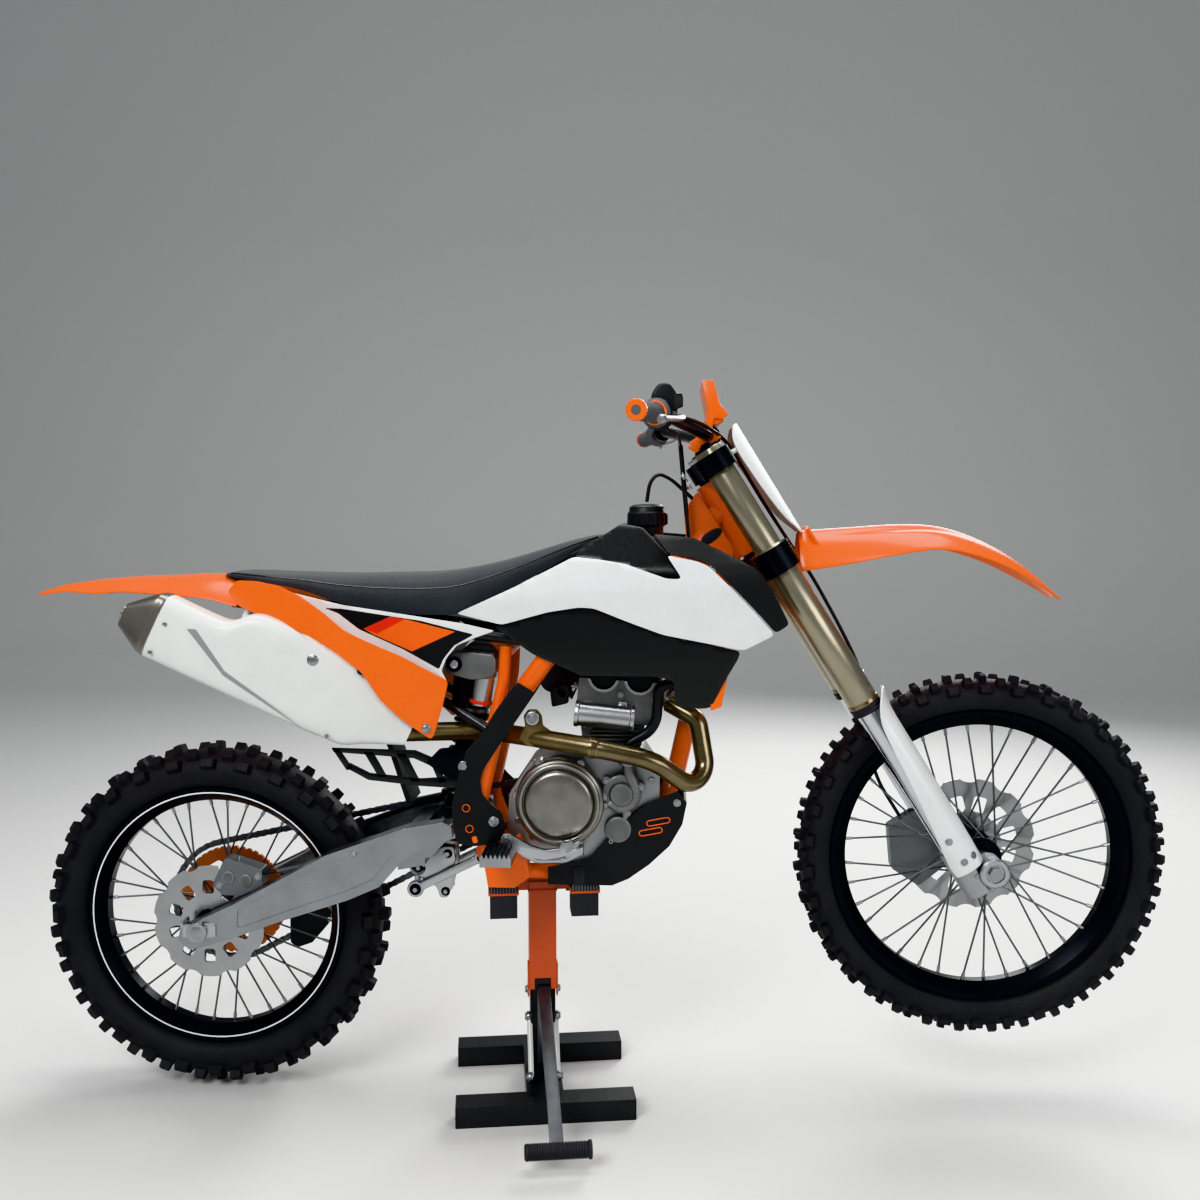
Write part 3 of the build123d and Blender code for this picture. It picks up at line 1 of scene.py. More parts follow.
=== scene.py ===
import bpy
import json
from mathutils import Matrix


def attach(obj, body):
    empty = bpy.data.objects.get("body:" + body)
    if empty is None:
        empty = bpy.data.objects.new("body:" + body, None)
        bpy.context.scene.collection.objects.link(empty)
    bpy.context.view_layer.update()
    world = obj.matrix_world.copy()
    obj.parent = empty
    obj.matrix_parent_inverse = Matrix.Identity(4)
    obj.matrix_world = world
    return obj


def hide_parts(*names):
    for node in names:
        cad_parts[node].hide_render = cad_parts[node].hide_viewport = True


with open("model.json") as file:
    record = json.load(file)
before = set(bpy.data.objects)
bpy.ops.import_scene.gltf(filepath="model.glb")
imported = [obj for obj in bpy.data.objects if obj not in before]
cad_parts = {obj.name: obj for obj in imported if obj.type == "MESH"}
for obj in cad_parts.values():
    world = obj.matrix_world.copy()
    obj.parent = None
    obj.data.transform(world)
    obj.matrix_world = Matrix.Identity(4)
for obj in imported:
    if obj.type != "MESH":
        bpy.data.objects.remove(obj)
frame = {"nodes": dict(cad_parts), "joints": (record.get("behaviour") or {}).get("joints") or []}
"""Dresses a motocross bike and the paddock stand under it, sub-assembly by sub-assembly."""

import json
import logging
import math
from dataclasses import dataclass
from enum import Enum
from typing import Callable, Optional, Sequence

import bmesh
import bpy
from mathutils import Matrix, Vector

LOG = logging.getLogger("bike")
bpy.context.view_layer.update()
MM = 0.001
Mesh = bmesh.types.BMesh
Point = tuple[float, float]
Point3 = tuple[float, float, float]


class Body(Enum):
    """The bodies that a piece can ride on."""

    CHASSIS = "chassis"
    STEERING = "steering"
    FRONT_WHEEL = "front_wheel"
    REAR_WHEEL = "rear_wheel"


class Side(Enum):
    """Which side of the bike a piece is on."""

    RIGHT = -1
    LEFT = 1


SIDES = tuple(side.value for side in Side)


def joint_origin(name: str) -> Vector:
    """Finds where a joint's axis passes, in metres.

    Args:
        name: The joint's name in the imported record.

    Returns:
        The joint's origin at rest.
    """
    found = next(joint for joint in frame["joints"] if joint["name"] == name)
    return Vector(found["pos_m"])


def joint_axis(name: str) -> Vector:
    """Gives the direction of a joint's axis."""
    found = next(joint for joint in frame["joints"] if joint["name"] == name)
    return Vector(found["axis"]).normalized()


REAR_AXLE = joint_origin("rear_wheel_spin")
FRONT_AXLE = joint_origin("front_wheel_spin")
FORK_UP = joint_axis("steering_head")
FORK_AHEAD = Vector((FORK_UP.z, 0, -FORK_UP.x))
LEG_Y = 105.0  # a fork leg's place left of middle
LEG_O = -38.0  # and ahead of the axle, square to the leg
STEER_O = -60.0  # the steering axis, ahead of the axle
AXLE_HEIGHT = REAR_AXLE.z / MM
DOWN, UP, ACROSS = Vector((0, 0, -1)), Vector((0, 0, 1)), Vector((0, 1, 0))


def spot(x: float, y: float, z: float) -> Vector:
    """Turns millimetres ahead of the rear axle, left of middle and above the floor into metres."""
    return Vector((REAR_AXLE.x + x * MM, y * MM, z * MM))


def outward(side: int) -> Vector:
    """Gives the direction away from the middle on a side."""
    return Vector((0, side, 0))


def span(side: int, near: float, far: float) -> tuple[float, float]:
    """Gives the lower and upper ends of a stretch across the bike on a side."""
    low, high = sorted((side * near, side * far))
    return low, high


def swing(centre: Point, radius: float, degrees: float) -> Point:
    """Gives the place at a radius and a turn round a centre, seen from the side."""
    turn = math.radians(degrees)
    return centre[0] + radius * math.cos(turn), centre[1] + radius * math.sin(turn)


def reach_along(table: Sequence[Point], part: float) -> float:
    """Gives the place a share of the way along a table of stations."""
    return table[0][0] + part * (table[-1][0] - table[0][0])


def fork_spot(along: float, ahead: float, y: float) -> Vector:
    """Turns millimetres up the fork from the axle, ahead of it and left of middle into metres."""
    base = Vector((FRONT_AXLE.x, 0, FRONT_AXLE.z))
    return base + FORK_UP * along * MM + FORK_AHEAD * ahead * MM + Vector((0, y * MM, 0))


# ------------------------------------------------------------------ finishes
def linear(code: str) -> tuple[float, float, float, float]:
    """Turns an sRGB hex colour into linear RGBA.

    Args:
        code: Six hex digits, with or without a hash.

    Returns:
        Linear red, green, blue and an alpha of one.
    """
    code = code.lstrip("#")
    values = [int(code[i:i + 2], 16) / 255 for i in (0, 2, 4)]
    red, green, blue = [v / 12.92 if v <= 0.04045 else ((v + 0.055) / 1.055) ** 2.4 for v in values]
    return red, green, blue, 1.0


def add_node(tree: bpy.types.NodeTree, kind: str, settings: Optional[dict] = None,
             inputs: Optional[dict] = None) -> bpy.types.Node:
    """Adds a shader node with its settings and links.

    Args:
        tree: The material's node tree.
        kind: The node's type name.
        settings: Attributes to set on the node.
        inputs: Socket values, or (node, output name) pairs to link from.

    Returns:
        The new node.
    """
    node = tree.nodes.new(kind)
    for key, value in (settings or {}).items():
        setattr(node, key, value)
    for key, value in (inputs or {}).items():
        if isinstance(value, tuple) and len(value) == 2 and isinstance(value[0], bpy.types.Node):
            tree.links.new(value[0].outputs[value[1]], node.inputs[key])
        else:
            node.inputs[key].default_value = value
    return node


@dataclass(frozen=True)
class Finish:
    """A surface finish: its material slot in the record, its colours, gloss and grain.

    The grain and cloud sizes are real ones in millimetres. Stretch lengthens the grain along X, Y and Z.
    """

    name: str
    slot: str
    colour: str
    shade: str
    metallic: float = 0.0
    roughness: float = 0.4
    rough_spread: float = 0.12
    grain_mm: float = 1.2
    grain_depth: float = 0.15
    cloud_mm: float = 55.0
    clouding: float = 0.35
    coat: float = 0.0
    coat_roughness: float = 0.1
    sheen: float = 0.0
    stretch: Point3 = (1.0, 1.0, 1.0)
    wear: str = ""
    edge_mm: float = 0.0

    def build(self) -> bpy.types.Material:
        """Makes the material, or returns it where it has been made."""
        found = bpy.data.materials.get(self.name)
        if found is not None:
            return found
        material = bpy.data.materials.new(self.name)
        material.use_nodes = True
        tree = material.node_tree
        tree.nodes.clear()
        coordinates = add_node(tree, "ShaderNodeTexCoord")
        scale = [1.0 / side for side in self.stretch]
        mapping = add_node(tree, "ShaderNodeMapping", {}, {"Vector": (coordinates, "Object"), "Scale": scale})
        grain = add_node(tree, "ShaderNodeTexNoise", {},
                         {"Vector": (mapping, "Vector"), "Scale": 1.0 / (self.grain_mm * MM) / 2,
                          "Detail": 4.0, "Roughness": 0.55})
        cloud = add_node(tree, "ShaderNodeTexNoise", {},
                         {"Vector": (coordinates, "Object"), "Scale": 1.0 / (self.cloud_mm * MM),
                          "Detail": 3.0})
        amount = add_node(tree, "ShaderNodeMapRange", {},
                          {"Value": (cloud, "Fac"), "From Min": 0.35, "From Max": 0.7, "To Min": 0.0,
                           "To Max": self.clouding})
        tint = add_node(tree, "ShaderNodeMix", {"data_type": "RGBA"},
                        {"Factor": (amount, "Result"), "A": linear(self.colour), "B": linear(self.shade)})
        colour = (tint, "Result")
        if self.wear:
            geometry = add_node(tree, "ShaderNodeNewGeometry")
            rubbed = add_node(tree, "ShaderNodeMapRange", {},
                              {"Value": (geometry, "Pointiness"), "From Min": 0.53, "From Max": 0.6,
                               "To Min": 0.0, "To Max": 0.55})
            worn = add_node(tree, "ShaderNodeMix", {"data_type": "RGBA"},
                            {"Factor": (rubbed, "Result"), "A": colour, "B": linear(self.wear)})
            colour = (worn, "Result")
        rough = add_node(tree, "ShaderNodeMapRange", {},
                         {"Value": (grain, "Fac"), "From Min": 0.3, "From Max": 0.7,
                          "To Min": max(0.02, self.roughness - self.rough_spread),
                          "To Max": min(1.0, self.roughness + self.rough_spread)})
        relief = {"Height": (grain, "Fac"), "Strength": self.grain_depth, "Distance": self.grain_mm * MM}
        if self.edge_mm:
            edge = add_node(tree, "ShaderNodeBevel", {"samples": 4}, {"Radius": self.edge_mm * MM})
            relief["Normal"] = (edge, "Normal")
        bump = add_node(tree, "ShaderNodeBump", {}, relief)
        shader = add_node(tree, "ShaderNodeBsdfPrincipled", {},
                          {"Base Color": colour, "Metallic": self.metallic, "Roughness": (rough, "Result"),
                           "Coat Weight": self.coat, "Coat Roughness": self.coat_roughness,
                           "Sheen Weight": self.sheen, "Normal": (bump, "Normal")})
        add_node(tree, "ShaderNodeOutputMaterial", {}, {"Surface": (shader, "BSDF")})
        return material


# Injection-moulded polypropylene: smooth with a soft gloss, the faintest ripple and no metal flake.
ORANGE_PLASTIC = Finish("moulded_polypropylene_orange", "orange_plastic", "F26A0C", "E65C05", roughness=0.3,
                        rough_spread=0.06, grain_mm=2.2, grain_depth=0.03, clouding=0.25, coat=0.25,
                        coat_roughness=0.12)
WHITE_PLASTIC = Finish("moulded_polypropylene_white", "white_plastic", "DFE1E0", "D2D5D4", roughness=0.3,
                       rough_spread=0.06, grain_mm=2.2, grain_depth=0.03, clouding=0.4, coat=0.25,
                       coat_roughness=0.12)
BLACK_PLASTIC = Finish("moulded_nylon_black", "black_plastic", "111214", "17181A", roughness=0.48,
                       grain_mm=0.7, grain_depth=0.1, clouding=0.4)
GLOSS_BLACK = Finish("moulded_polypropylene_black", "black_plastic", "0C0D0E", "111214", roughness=0.32,
                     rough_spread=0.05, grain_mm=2.0, grain_depth=0.01, clouding=0.3, coat=0.2)
# In-mould film: thin, printed and glossier than the plastic that it covers. The grey one below is no print but
# painted shade, laid along the silencer's crease.
RED_FILM = Finish("in_mould_film_red", "orange_plastic", "D8290F", "C8220D", roughness=0.26, grain_depth=0.02,
                  clouding=0.3, coat=0.3)
CREASE_SHADE_FILM = Finish("painted_crease_shade", "aluminium", "8E9494", "858B8A", roughness=0.35, grain_depth=0.02,
                   clouding=0.3)
ORANGE_FILM = Finish("in_mould_film_orange", "orange_plastic", "F0620A", "E85905", roughness=0.26,
                     grain_depth=0.02, clouding=0.3, coat=0.3)
WHITE_FILM = Finish("in_mould_film_white", "white_plastic", "EEF0F0", "E6E8E8", roughness=0.28,
                    grain_depth=0.02, clouding=0.3)
# Powder coat on steel: even colour with a fine orange-peel that softens the highlights.
ORANGE_COAT = Finish("powder_coat_orange", "orange_paint", "EC6209", "D95706", roughness=0.33, grain_mm=1.6,
                     grain_depth=0.12, clouding=0.35, coat=0.3, edge_mm=1.0)
BLACK_COAT = Finish("powder_coat_black", "black_metal", "141517", "1C1D20", roughness=0.38, grain_mm=1.4,
                    grain_depth=0.15, clouding=0.5, coat=0.2, edge_mm=1.0)
# Powder coat in a redder orange than the bike's, thick on the stand's square tube.
STAND_COAT = Finish("stand_powder_coat", "orange_paint", "C24C1E", "B4451A", roughness=0.36, grain_mm=1.6,
                    grain_depth=0.1, clouding=0.4, coat=0.25, edge_mm=1.0)
# Anodised aluminium: metal lustre under a thin dyed skin.
BLACK_ANODISE = Finish("anodised_aluminium_black", "black_metal", "16171A", "222327", metallic=0.85,
                       roughness=0.32, grain_mm=0.6, grain_depth=0.06, clouding=0.5, edge_mm=1.0)
RUST_ANODISE = Finish("anodised_aluminium_copper", "sprocket_orange", "B4623A", "8E4526", metallic=0.85,
                      roughness=0.4, grain_mm=0.8, grain_depth=0.08, clouding=0.6)
CHAMPAGNE_ANODISE = Finish("anodised_aluminium_champagne", "fork_gold", "A39C88", "999280", metallic=0.9,
                           roughness=0.3, rough_spread=0.04, grain_mm=0.5, grain_depth=0.015, clouding=0.25)
# Die-cast aluminium, bead blasted: a close grey pebble with brighter rubbed edges.
CAST_ALUMINIUM = Finish("die_cast_aluminium", "aluminium", "7A7B7A", "636464", metallic=0.85, roughness=0.46,
                        grain_mm=0.9, grain_depth=0.35, cloud_mm=35, clouding=0.6, wear="C8CACC", edge_mm=1.0)
DARK_CASTING = Finish("die_cast_magnesium", "aluminium", "55585B", "45484B", metallic=0.8, roughness=0.5,
                      grain_mm=0.9, grain_depth=0.35, cloud_mm=35, clouding=0.6, wear="94979A", edge_mm=1.0)
# Polished and handled cover metal: the clutch cover's machined rim and dome.
POLISHED_COVER = Finish("polished_cover_aluminium", "aluminium", "93918B", "7D7C77", metallic=0.95,
                        roughness=0.32, grain_mm=0.6, grain_depth=0.08, cloud_mm=40, clouding=0.8,
                        wear="D2D3D2")
MACHINED_ALUMINIUM = Finish("machined_aluminium", "aluminium", "B9BBBD", "A5A8AB", metallic=1.0,
                            roughness=0.3, grain_mm=0.35, grain_depth=0.08, clouding=0.4, edge_mm=1.0)
# Brushed aluminium: fine lines drawn along the beam.
BRUSHED_ALUMINIUM = Finish("brushed_aluminium", "aluminium", "9DA0A3", "878A8E", metallic=0.95,
                           roughness=0.34, grain_mm=0.4, grain_depth=0.12, clouding=0.5,
                           stretch=(18.0, 1.0, 1.0), edge_mm=1.0)
STAINLESS = Finish("brushed_stainless_steel", "steel", "A9ABAC", "8F9193", metallic=1.0, roughness=0.26,
                   grain_mm=0.4, grain_depth=0.08, clouding=0.5, edge_mm=1.0)
HARD_CHROME = Finish("hard_chrome", "chrome", "C9CCD0", "B9BCC1", metallic=1.0, roughness=0.1,
                     rough_spread=0.03, grain_mm=0.4, grain_depth=0.01, clouding=0.3)
ZINC_BOLT = Finish("zinc_plated_steel", "steel", "A8AAAD", "8D9094", metallic=1.0, roughness=0.33,
                   grain_mm=0.5, grain_depth=0.08, clouding=0.5)
DARK_STEEL = Finish("blued_chain_steel", "steel", "3A3B3D", "2A2B2D", metallic=0.9, roughness=0.38,
                    grain_mm=0.6, grain_depth=0.12, clouding=0.6, wear="85878A")
# Weathered bar stock: dark steel scratched to a grey sheen by boots.
SCUFFED_STEEL = Finish("scuffed_bar_steel", "black_metal", "54565A", "3C3E41", metallic=0.8, roughness=0.42,
                       grain_mm=0.7, grain_depth=0.2, cloud_mm=22, clouding=1.0, stretch=(1.0, 1.0, 0.2),
                       wear="9A9DA0")
# Heated stainless exhaust: straw and bronze tempering colours over bright metal.
BRONZED_STEEL = Finish("heat_tempered_stainless", "exhaust_steel", "8C7F66", "756B57", metallic=1.0,
                       roughness=0.24, grain_mm=0.5, grain_depth=0.05, cloud_mm=80, clouding=1.0)
# Cooler stretch of the exhaust, further from the head: the temper colour turns to a dull olive brown.
OLIVE_STEEL = Finish("olive_tempered_stainless", "exhaust_steel", "7D6E52", "655C4B", metallic=0.95,
                     roughness=0.34, grain_mm=0.5, grain_depth=0.08, cloud_mm=60, clouding=1.0)
# Bead-blasted titanium: an even grey with a soft glow.
TITANIUM_GREY = Finish("bead_blasted_titanium", "titanium", "8A8680", "76736E", metallic=0.9, roughness=0.36,
                       grain_mm=0.6, grain_depth=0.12, clouding=0.5)
# Tyre rubber: dull black with a dusty bloom and mould texture.
TYRE_RUBBER = Finish("vulcanised_rubber", "tyre", "17171A", "232326", roughness=0.68, rough_spread=0.14,
                     grain_mm=1.1, grain_depth=0.3, cloud_mm=70, clouding=0.8)
SOFT_RUBBER = Finish("moulded_soft_rubber", "rubber_black", "26272A", "303135", roughness=0.6, grain_mm=0.9,
                     grain_depth=0.25, clouding=0.6)
HOSE_RUBBER = Finish("hose_rubber", "rubber_black", "131416", "1B1C1F", roughness=0.42, grain_mm=0.8,
                     grain_depth=0.12, clouding=0.5)
CLEAR_HOSE = Finish("smoked_pvc_hose", "rubber_black", "5B5F63", "4B4F53", roughness=0.2, grain_depth=0.02,
                    clouding=0.3, coat=0.4)
GREY_RUBBER = Finish("grey_rubber", "rubber_black", "5C5F62", "4E5154", roughness=0.7, grain_mm=1.2,
                     grain_depth=0.3)
# Grip vinyl over foam: matt charcoal with a fine raised pebble that the knees hold.
SEAT_VINYL = Finish("pebbled_grip_vinyl", "seat_cover", "2B3034", "22262A", roughness=0.62, rough_spread=0.1,
                    grain_mm=1.5, grain_depth=0.55, cloud_mm=90, clouding=0.7, sheen=0.15)
# Baked enamel over the silencer's aluminium sleeve: an even white with a low sheen.
WHITE_ENAMEL = Finish("white_enamel", "silencer_white", "DDDEDB", "D0D2D0", roughness=0.34, rough_spread=0.08,
                      grain_mm=1.8, grain_depth=0.05, clouding=0.5, coat=0.15)
# Matt emulsion on a smooth floor.
FLOOR_PAINT = Finish("studio_floor", "", "D8D8D6", "D3D3D1", roughness=0.75, grain_depth=0.0, clouding=0.2)


# ------------------------------------------------------------------ mesh tools
def dress(shape: Mesh | list[Mesh], name: str, finish: Finish, stands_for: str = "",
          sharp: float = 34.0, body: Body = Body.CHASSIS) -> bpy.types.Object:
    """Turns a mesh, or several joined, into a finished piece at the origin.

    Args:
        shape: The mesh or meshes, in metres in the bike's frame. They are freed.
        name: The piece's name.
        finish: Its finish.
        stands_for: The CAD node that it replaces, if any.
        sharp: Edges turned by more than this many degrees stay sharp.
        body: The body that it rides on.

    Returns:
        The new object.
    """
    bm = join(shape) if isinstance(shape, list) else shape
    mesh = bpy.data.meshes.new(name)
    bm.normal_update()
    for face in bm.faces:
        face.smooth = True
    limit = math.radians(sharp)
    for edge in bm.edges:
        edge.smooth = not (len(edge.link_faces) == 2 and edge.calc_face_angle(0.0) > limit)
    bm.to_mesh(mesh)
    bm.free()
    mesh.materials.append(finish.build())
    piece = bpy.data.objects.new(name, mesh)
    bpy.context.scene.collection.objects.link(piece)
    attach(piece, body.value)
    if stands_for:
        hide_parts(stands_for)
    LOG.info("%s: %d faces on %s", name, len(mesh.polygons), body.value)
    return piece


def paint_node(node: str, finish: Finish) -> None:
    """Gives a CAD node a finish."""
    slots = frame["nodes"][node].data.materials
    for index in range(len(slots)):
        slots[index] = finish.build()


def copy_into(bm: Mesh, part: Mesh, matrix: Optional[Matrix] = None) -> None:
    """Adds a copy of one bmesh to another.

    Args:
        bm: The mesh that grows.
        part: The mesh that is copied.
        matrix: Where the copy goes.
    """
    mesh = bpy.data.meshes.new("part")
    part.to_mesh(mesh)
    if matrix is not None:
        mesh.transform(matrix)
        if matrix.determinant() < 0:
            mesh.flip_normals()
    bm.from_mesh(mesh)
    bpy.data.meshes.remove(mesh)


def mirrored(bm: Mesh) -> Mesh:
    """Adds the left-hand twin of a right-hand mesh."""
    twin = bm.copy()
    copy_into(bm, twin, Matrix.Scale(-1, 4, ACROSS))
    twin.free()
    return bm


def soften(bm: Mesh, width: float, segments: int = 2, above: float = 38.0) -> Mesh:
    """Bevels a mesh's sharp edges.

    Args:
        bm: The mesh.
        width: The bevel's width in millimetres.
        segments: Its segments.
        above: Only edges turned by more than this many degrees are bevelled.

    Returns:
        The same mesh.
    """
    bm.normal_update()
    limit = math.radians(above)
    edges = [e for e in bm.edges if len(e.link_faces) == 2 and e.calc_face_angle(0.0) > limit]
    if edges:
        bmesh.ops.bevel(bm, geom=edges, offset=width * MM, offset_type="OFFSET", segments=segments,
                        profile=0.5, affect="EDGES", clamp_overlap=True, material=-1)
    return bm


def axis_matrix(start: Vector, end: Vector) -> Matrix:
    """Gives the turn and place that lays local Z from start towards end."""
    turn = (end - start).to_track_quat("Z", "Y").to_matrix().to_4x4()
    return Matrix.Translation(start) @ turn


def turned(profile: Sequence[Point], start: Vector, end: Vector, steps: int = 32) -> Mesh:
    """Spins a profile round the line from start to end.

    Args:
        profile: Radius and distance along the line in millimetres, in order.
        start: A point on the axis.
        end: The point that the axis runs towards.
        steps: Segments round the axis.

    Returns:
        The turned mesh.
    """
    bm = bmesh.new()
    verts = [bm.verts.new((max(radius, 0.0) * MM, 0, along * MM)) for radius, along in profile]
    edges = [bm.edges.new(pair) for pair in zip(verts, verts[1:])]
    bmesh.ops.spin(bm, geom=verts + edges, cent=(0, 0, 0), axis=(0, 0, 1), angle=math.tau, steps=steps,
                   use_merge=True, use_duplicate=False)
    bmesh.ops.remove_doubles(bm, verts=bm.verts[:], dist=1e-6)
    bmesh.ops.recalc_face_normals(bm, faces=bm.faces[:])
    bm.transform(axis_matrix(start, end))
    return bm


def ring(profile: Sequence[Point], centre: Vector, steps: int = 96) -> Mesh:
    """Spins a closed profile round a wheel's axle, which lies across the bike.

    Args:
        profile: Place across the bike and radius in millimetres, in order round the section.
        centre: The wheel's centre.
        steps: Segments round the wheel.

    Returns:
        The ring's mesh.
    """
    closed = [(radius, y) for y, radius in profile]
    return turned(closed + closed[:1], centre, centre + ACROSS, steps)


def prism(outline: Sequence[Point], low: float, high: float, matrix: Optional[Matrix] = None,
          bevel: float = 0.0, segments: int = 2) -> Mesh:
    """Extrudes a side outline across the bike.

    Args:
        outline: X and Z in millimetres, in order.
        low: Where it starts across the bike.
        high: Where it ends.
        matrix: A further turn and move, or None for the bike's own frame.
        bevel: Edge bevel in millimetres.
        segments: The bevel's segments.

    Returns:
        The prism's mesh.
    """
    bm = bmesh.new()
    if matrix is None:
        verts = [bm.verts.new(spot(x, low, z)) for x, z in outline]
    else:
        verts = [bm.verts.new(Vector((x, low, z)) * MM) for x, z in outline]
    face = bm.faces.new(verts)
    grown = bmesh.ops.extrude_face_region(bm, geom=[face])
    moved = [v for v in grown["geom"] if isinstance(v, bmesh.types.BMVert)]
    bmesh.ops.translate(bm, verts=moved, vec=(0, (high - low) * MM, 0))
    bmesh.ops.recalc_face_normals(bm, faces=bm.faces[:])
    if bevel:
        soften(bm, bevel, segments)
    if matrix is not None:
        bm.transform(matrix)
    return bm


def rounded(outline: Sequence[Point], cut: float, steps: int = 4) -> list[Point]:
    """Rounds an outline's corners.

    Args:
        outline: X and Z in millimetres, in order round.
        cut: How far from a corner its rounding starts, at most 0.45 of the edge.
        steps: Points along each rounding.

    Returns:
        The rounded outline.
    """
    result: list[Point] = []
    count = len(outline)
    for i in range(count):
        corner = Vector(outline[i])
        before = Vector(outline[i - 1]) - corner
        after = Vector(outline[(i + 1) % count]) - corner
        a = corner + before.normalized() * min(cut, before.length * 0.45)
        b = corner + after.normalized() * min(cut, after.length * 0.45)
        for k in range(steps + 1):
            t = k / steps
            point = a * (1 - t) ** 2 + corner * 2 * t * (1 - t) + b * t ** 2
            result.append((point.x, point.y))
    return result


def along(table: Sequence[Point], value: float) -> float:
    """Reads a smooth curve through a short table of stations.

    Args:
        table: Pairs of place and value, in rising order of place.
        value: Where to read.

    Returns:
        The value there, held flat past the ends.
    """
    if value <= table[0][0]:
        return table[0][1]
    if value >= table[-1][0]:
        return table[-1][1]
    for i in range(len(table) - 1):
        x0, y0 = table[i]
        x1, y1 = table[i + 1]
        if value <= x1:
            before = table[max(i - 1, 0)]
            beyond = table[min(i + 2, len(table) - 1)]
            t = (value - x0) / (x1 - x0)
            m0 = (y1 - before[1]) / (x1 - before[0]) * (x1 - x0)
            m1 = (beyond[1] - y0) / (beyond[0] - x0) * (x1 - x0)
            return ((2 * t ** 3 - 3 * t ** 2 + 1) * y0 + (t ** 3 - 2 * t ** 2 + t) * m0
                    + (3 * t ** 2 - 2 * t ** 3) * y1 + (t ** 3 - t ** 2) * m1)
    return table[-1][1]


def panel(outline: Sequence[Point], surface: Callable[[float, float], float], wall: float = 3.0,
          cell: float = 16.0, edge: float = 1.0) -> Mesh:
    """Makes a moulded body panel on the bike's right.

    Args:
        outline: X and Z in millimetres, in order round.
        surface: Gives how far right of middle the outer skin lies at X and Z.
        wall: The wall's thickness in millimetres.
        cell: The spacing of the cuts that let the skin curve.
        edge: The edge bevel in millimetres.

    Returns:
        The panel's mesh.
    """
    bm = bmesh.new()
    bm.faces.new([bm.verts.new((x, 0, z)) for x, z in outline])
    for axis in (0, 2):
        values = [v.co[axis] for v in bm.verts]
        low, high = min(values), max(values)
        cuts = int((high - low) / cell)
        for k in range(1, cuts + 1):
            place = Vector((0, 0, 0))
            place[axis] = low + (high - low) * k / (cuts + 1)
            normal = Vector((0, 0, 0))
            normal[axis] = 1.0
            bmesh.ops.bisect_plane(bm, geom=bm.verts[:] + bm.edges[:] + bm.faces[:], dist=1e-4,
                                   plane_co=place, plane_no=normal)
    for vert in bm.verts:
        vert.co = spot(vert.co.x, -surface(vert.co.x, vert.co.z), vert.co.z)
    bmesh.ops.recalc_face_normals(bm, faces=bm.faces[:])
    if sum(face.normal.y * face.calc_area() for face in bm.faces) > 0:
        bmesh.ops.reverse_faces(bm, faces=bm.faces[:])
    bmesh.ops.solidify(bm, geom=bm.faces[:], thickness=wall * MM)
    bmesh.ops.recalc_face_normals(bm, faces=bm.faces[:])
    if edge:
        soften(bm, edge, 2, above=55.0)
    return bm


def skin(across: Callable[[float, float], Point3], rows: int, columns: int, wall: float,
         edge: float = 0.8) -> Mesh:
    """Makes a curved shell from a grid laid on a surface.

    Args:
        across: Gives X, Y and Z in millimetres for u and v, each from 0 to 1.
        rows: Faces along u.
        columns: Faces along v.
        wall: The wall's thickness in millimetres, grown inwards.
        edge: The edge bevel in millimetres.

    Returns:
        The shell's mesh.
    """
    bm = bmesh.new()
    bmesh.ops.create_grid(bm, x_segments=rows, y_segments=columns, size=0.5)
    for vert in bm.verts:
        vert.co = spot(*across(min(max(vert.co.x + 0.5, 0.0), 1.0), min(max(vert.co.y + 0.5, 0.0), 1.0)))
    bm.normal_update()
    if sum(face.normal.z * face.calc_area() for face in bm.faces) < 0:
        bmesh.ops.reverse_faces(bm, faces=bm.faces[:])
    bmesh.ops.solidify(bm, geom=bm.faces[:], thickness=wall * MM)
    bmesh.ops.recalc_face_normals(bm, faces=bm.faces[:])
    if edge:
        soften(bm, edge, 2, above=60.0)
    return bm


def tube(points: Sequence[Vector], radius: float, straight: bool = False, sides: int = 4) -> Mesh:
    """Draws a round tube along a route.

    Args:
        points: The route in metres.
        radius: The tube's radius in millimetres.
        straight: True for straight runs between the points.
        sides: The round section's resolution.

    Returns:
        The tube's mesh, closed at both ends.
    """
    curve = bpy.data.curves.new("route", "CURVE")
    curve.dimensions = "3D"
    curve.bevel_depth = radius * MM
    curve.bevel_resolution = sides
    curve.use_fill_caps = True
    curve.resolution_u = 8
    spline = curve.splines.new("POLY" if straight else "NURBS")
    spline.points.add(len(points) - 1)
    for item, point in zip(spline.points, points):
        item.co = (*point, 1.0)
    if not straight:
        spline.order_u = 3
        spline.use_endpoint_u = True
    holder = bpy.data.objects.new("route", curve)
    mesh = bpy.data.meshes.new_from_object(holder)
    bpy.data.objects.remove(holder)
    bpy.data.curves.remove(curve)
    bm = bmesh.new()
    bm.from_mesh(mesh)
    bpy.data.meshes.remove(mesh)
    bmesh.ops.remove_doubles(bm, verts=bm.verts[:], dist=1e-6)
    bmesh.ops.recalc_face_normals(bm, faces=bm.faces[:])
    return bm


def cuboid(size: Point3, matrix: Matrix, bevel: float, segments: int = 2, above: float = 38.0) -> Mesh:
    """Makes a bevelled box.

    Args:
        size: Its length, breadth and height in millimetres.
        matrix: The place and turn of its middle.
        bevel: The edge bevel in millimetres.
        segments: The bevel's segments.
        above: Only edges turned by more than this many degrees are bevelled.

    Returns:
        The box's mesh.
    """
    bm = bmesh.new()
    bmesh.ops.create_cube(bm, size=1.0, matrix=matrix @ Matrix.Diagonal((*[side * MM for side in size], 1)))
    return soften(bm, bevel, segments, above)


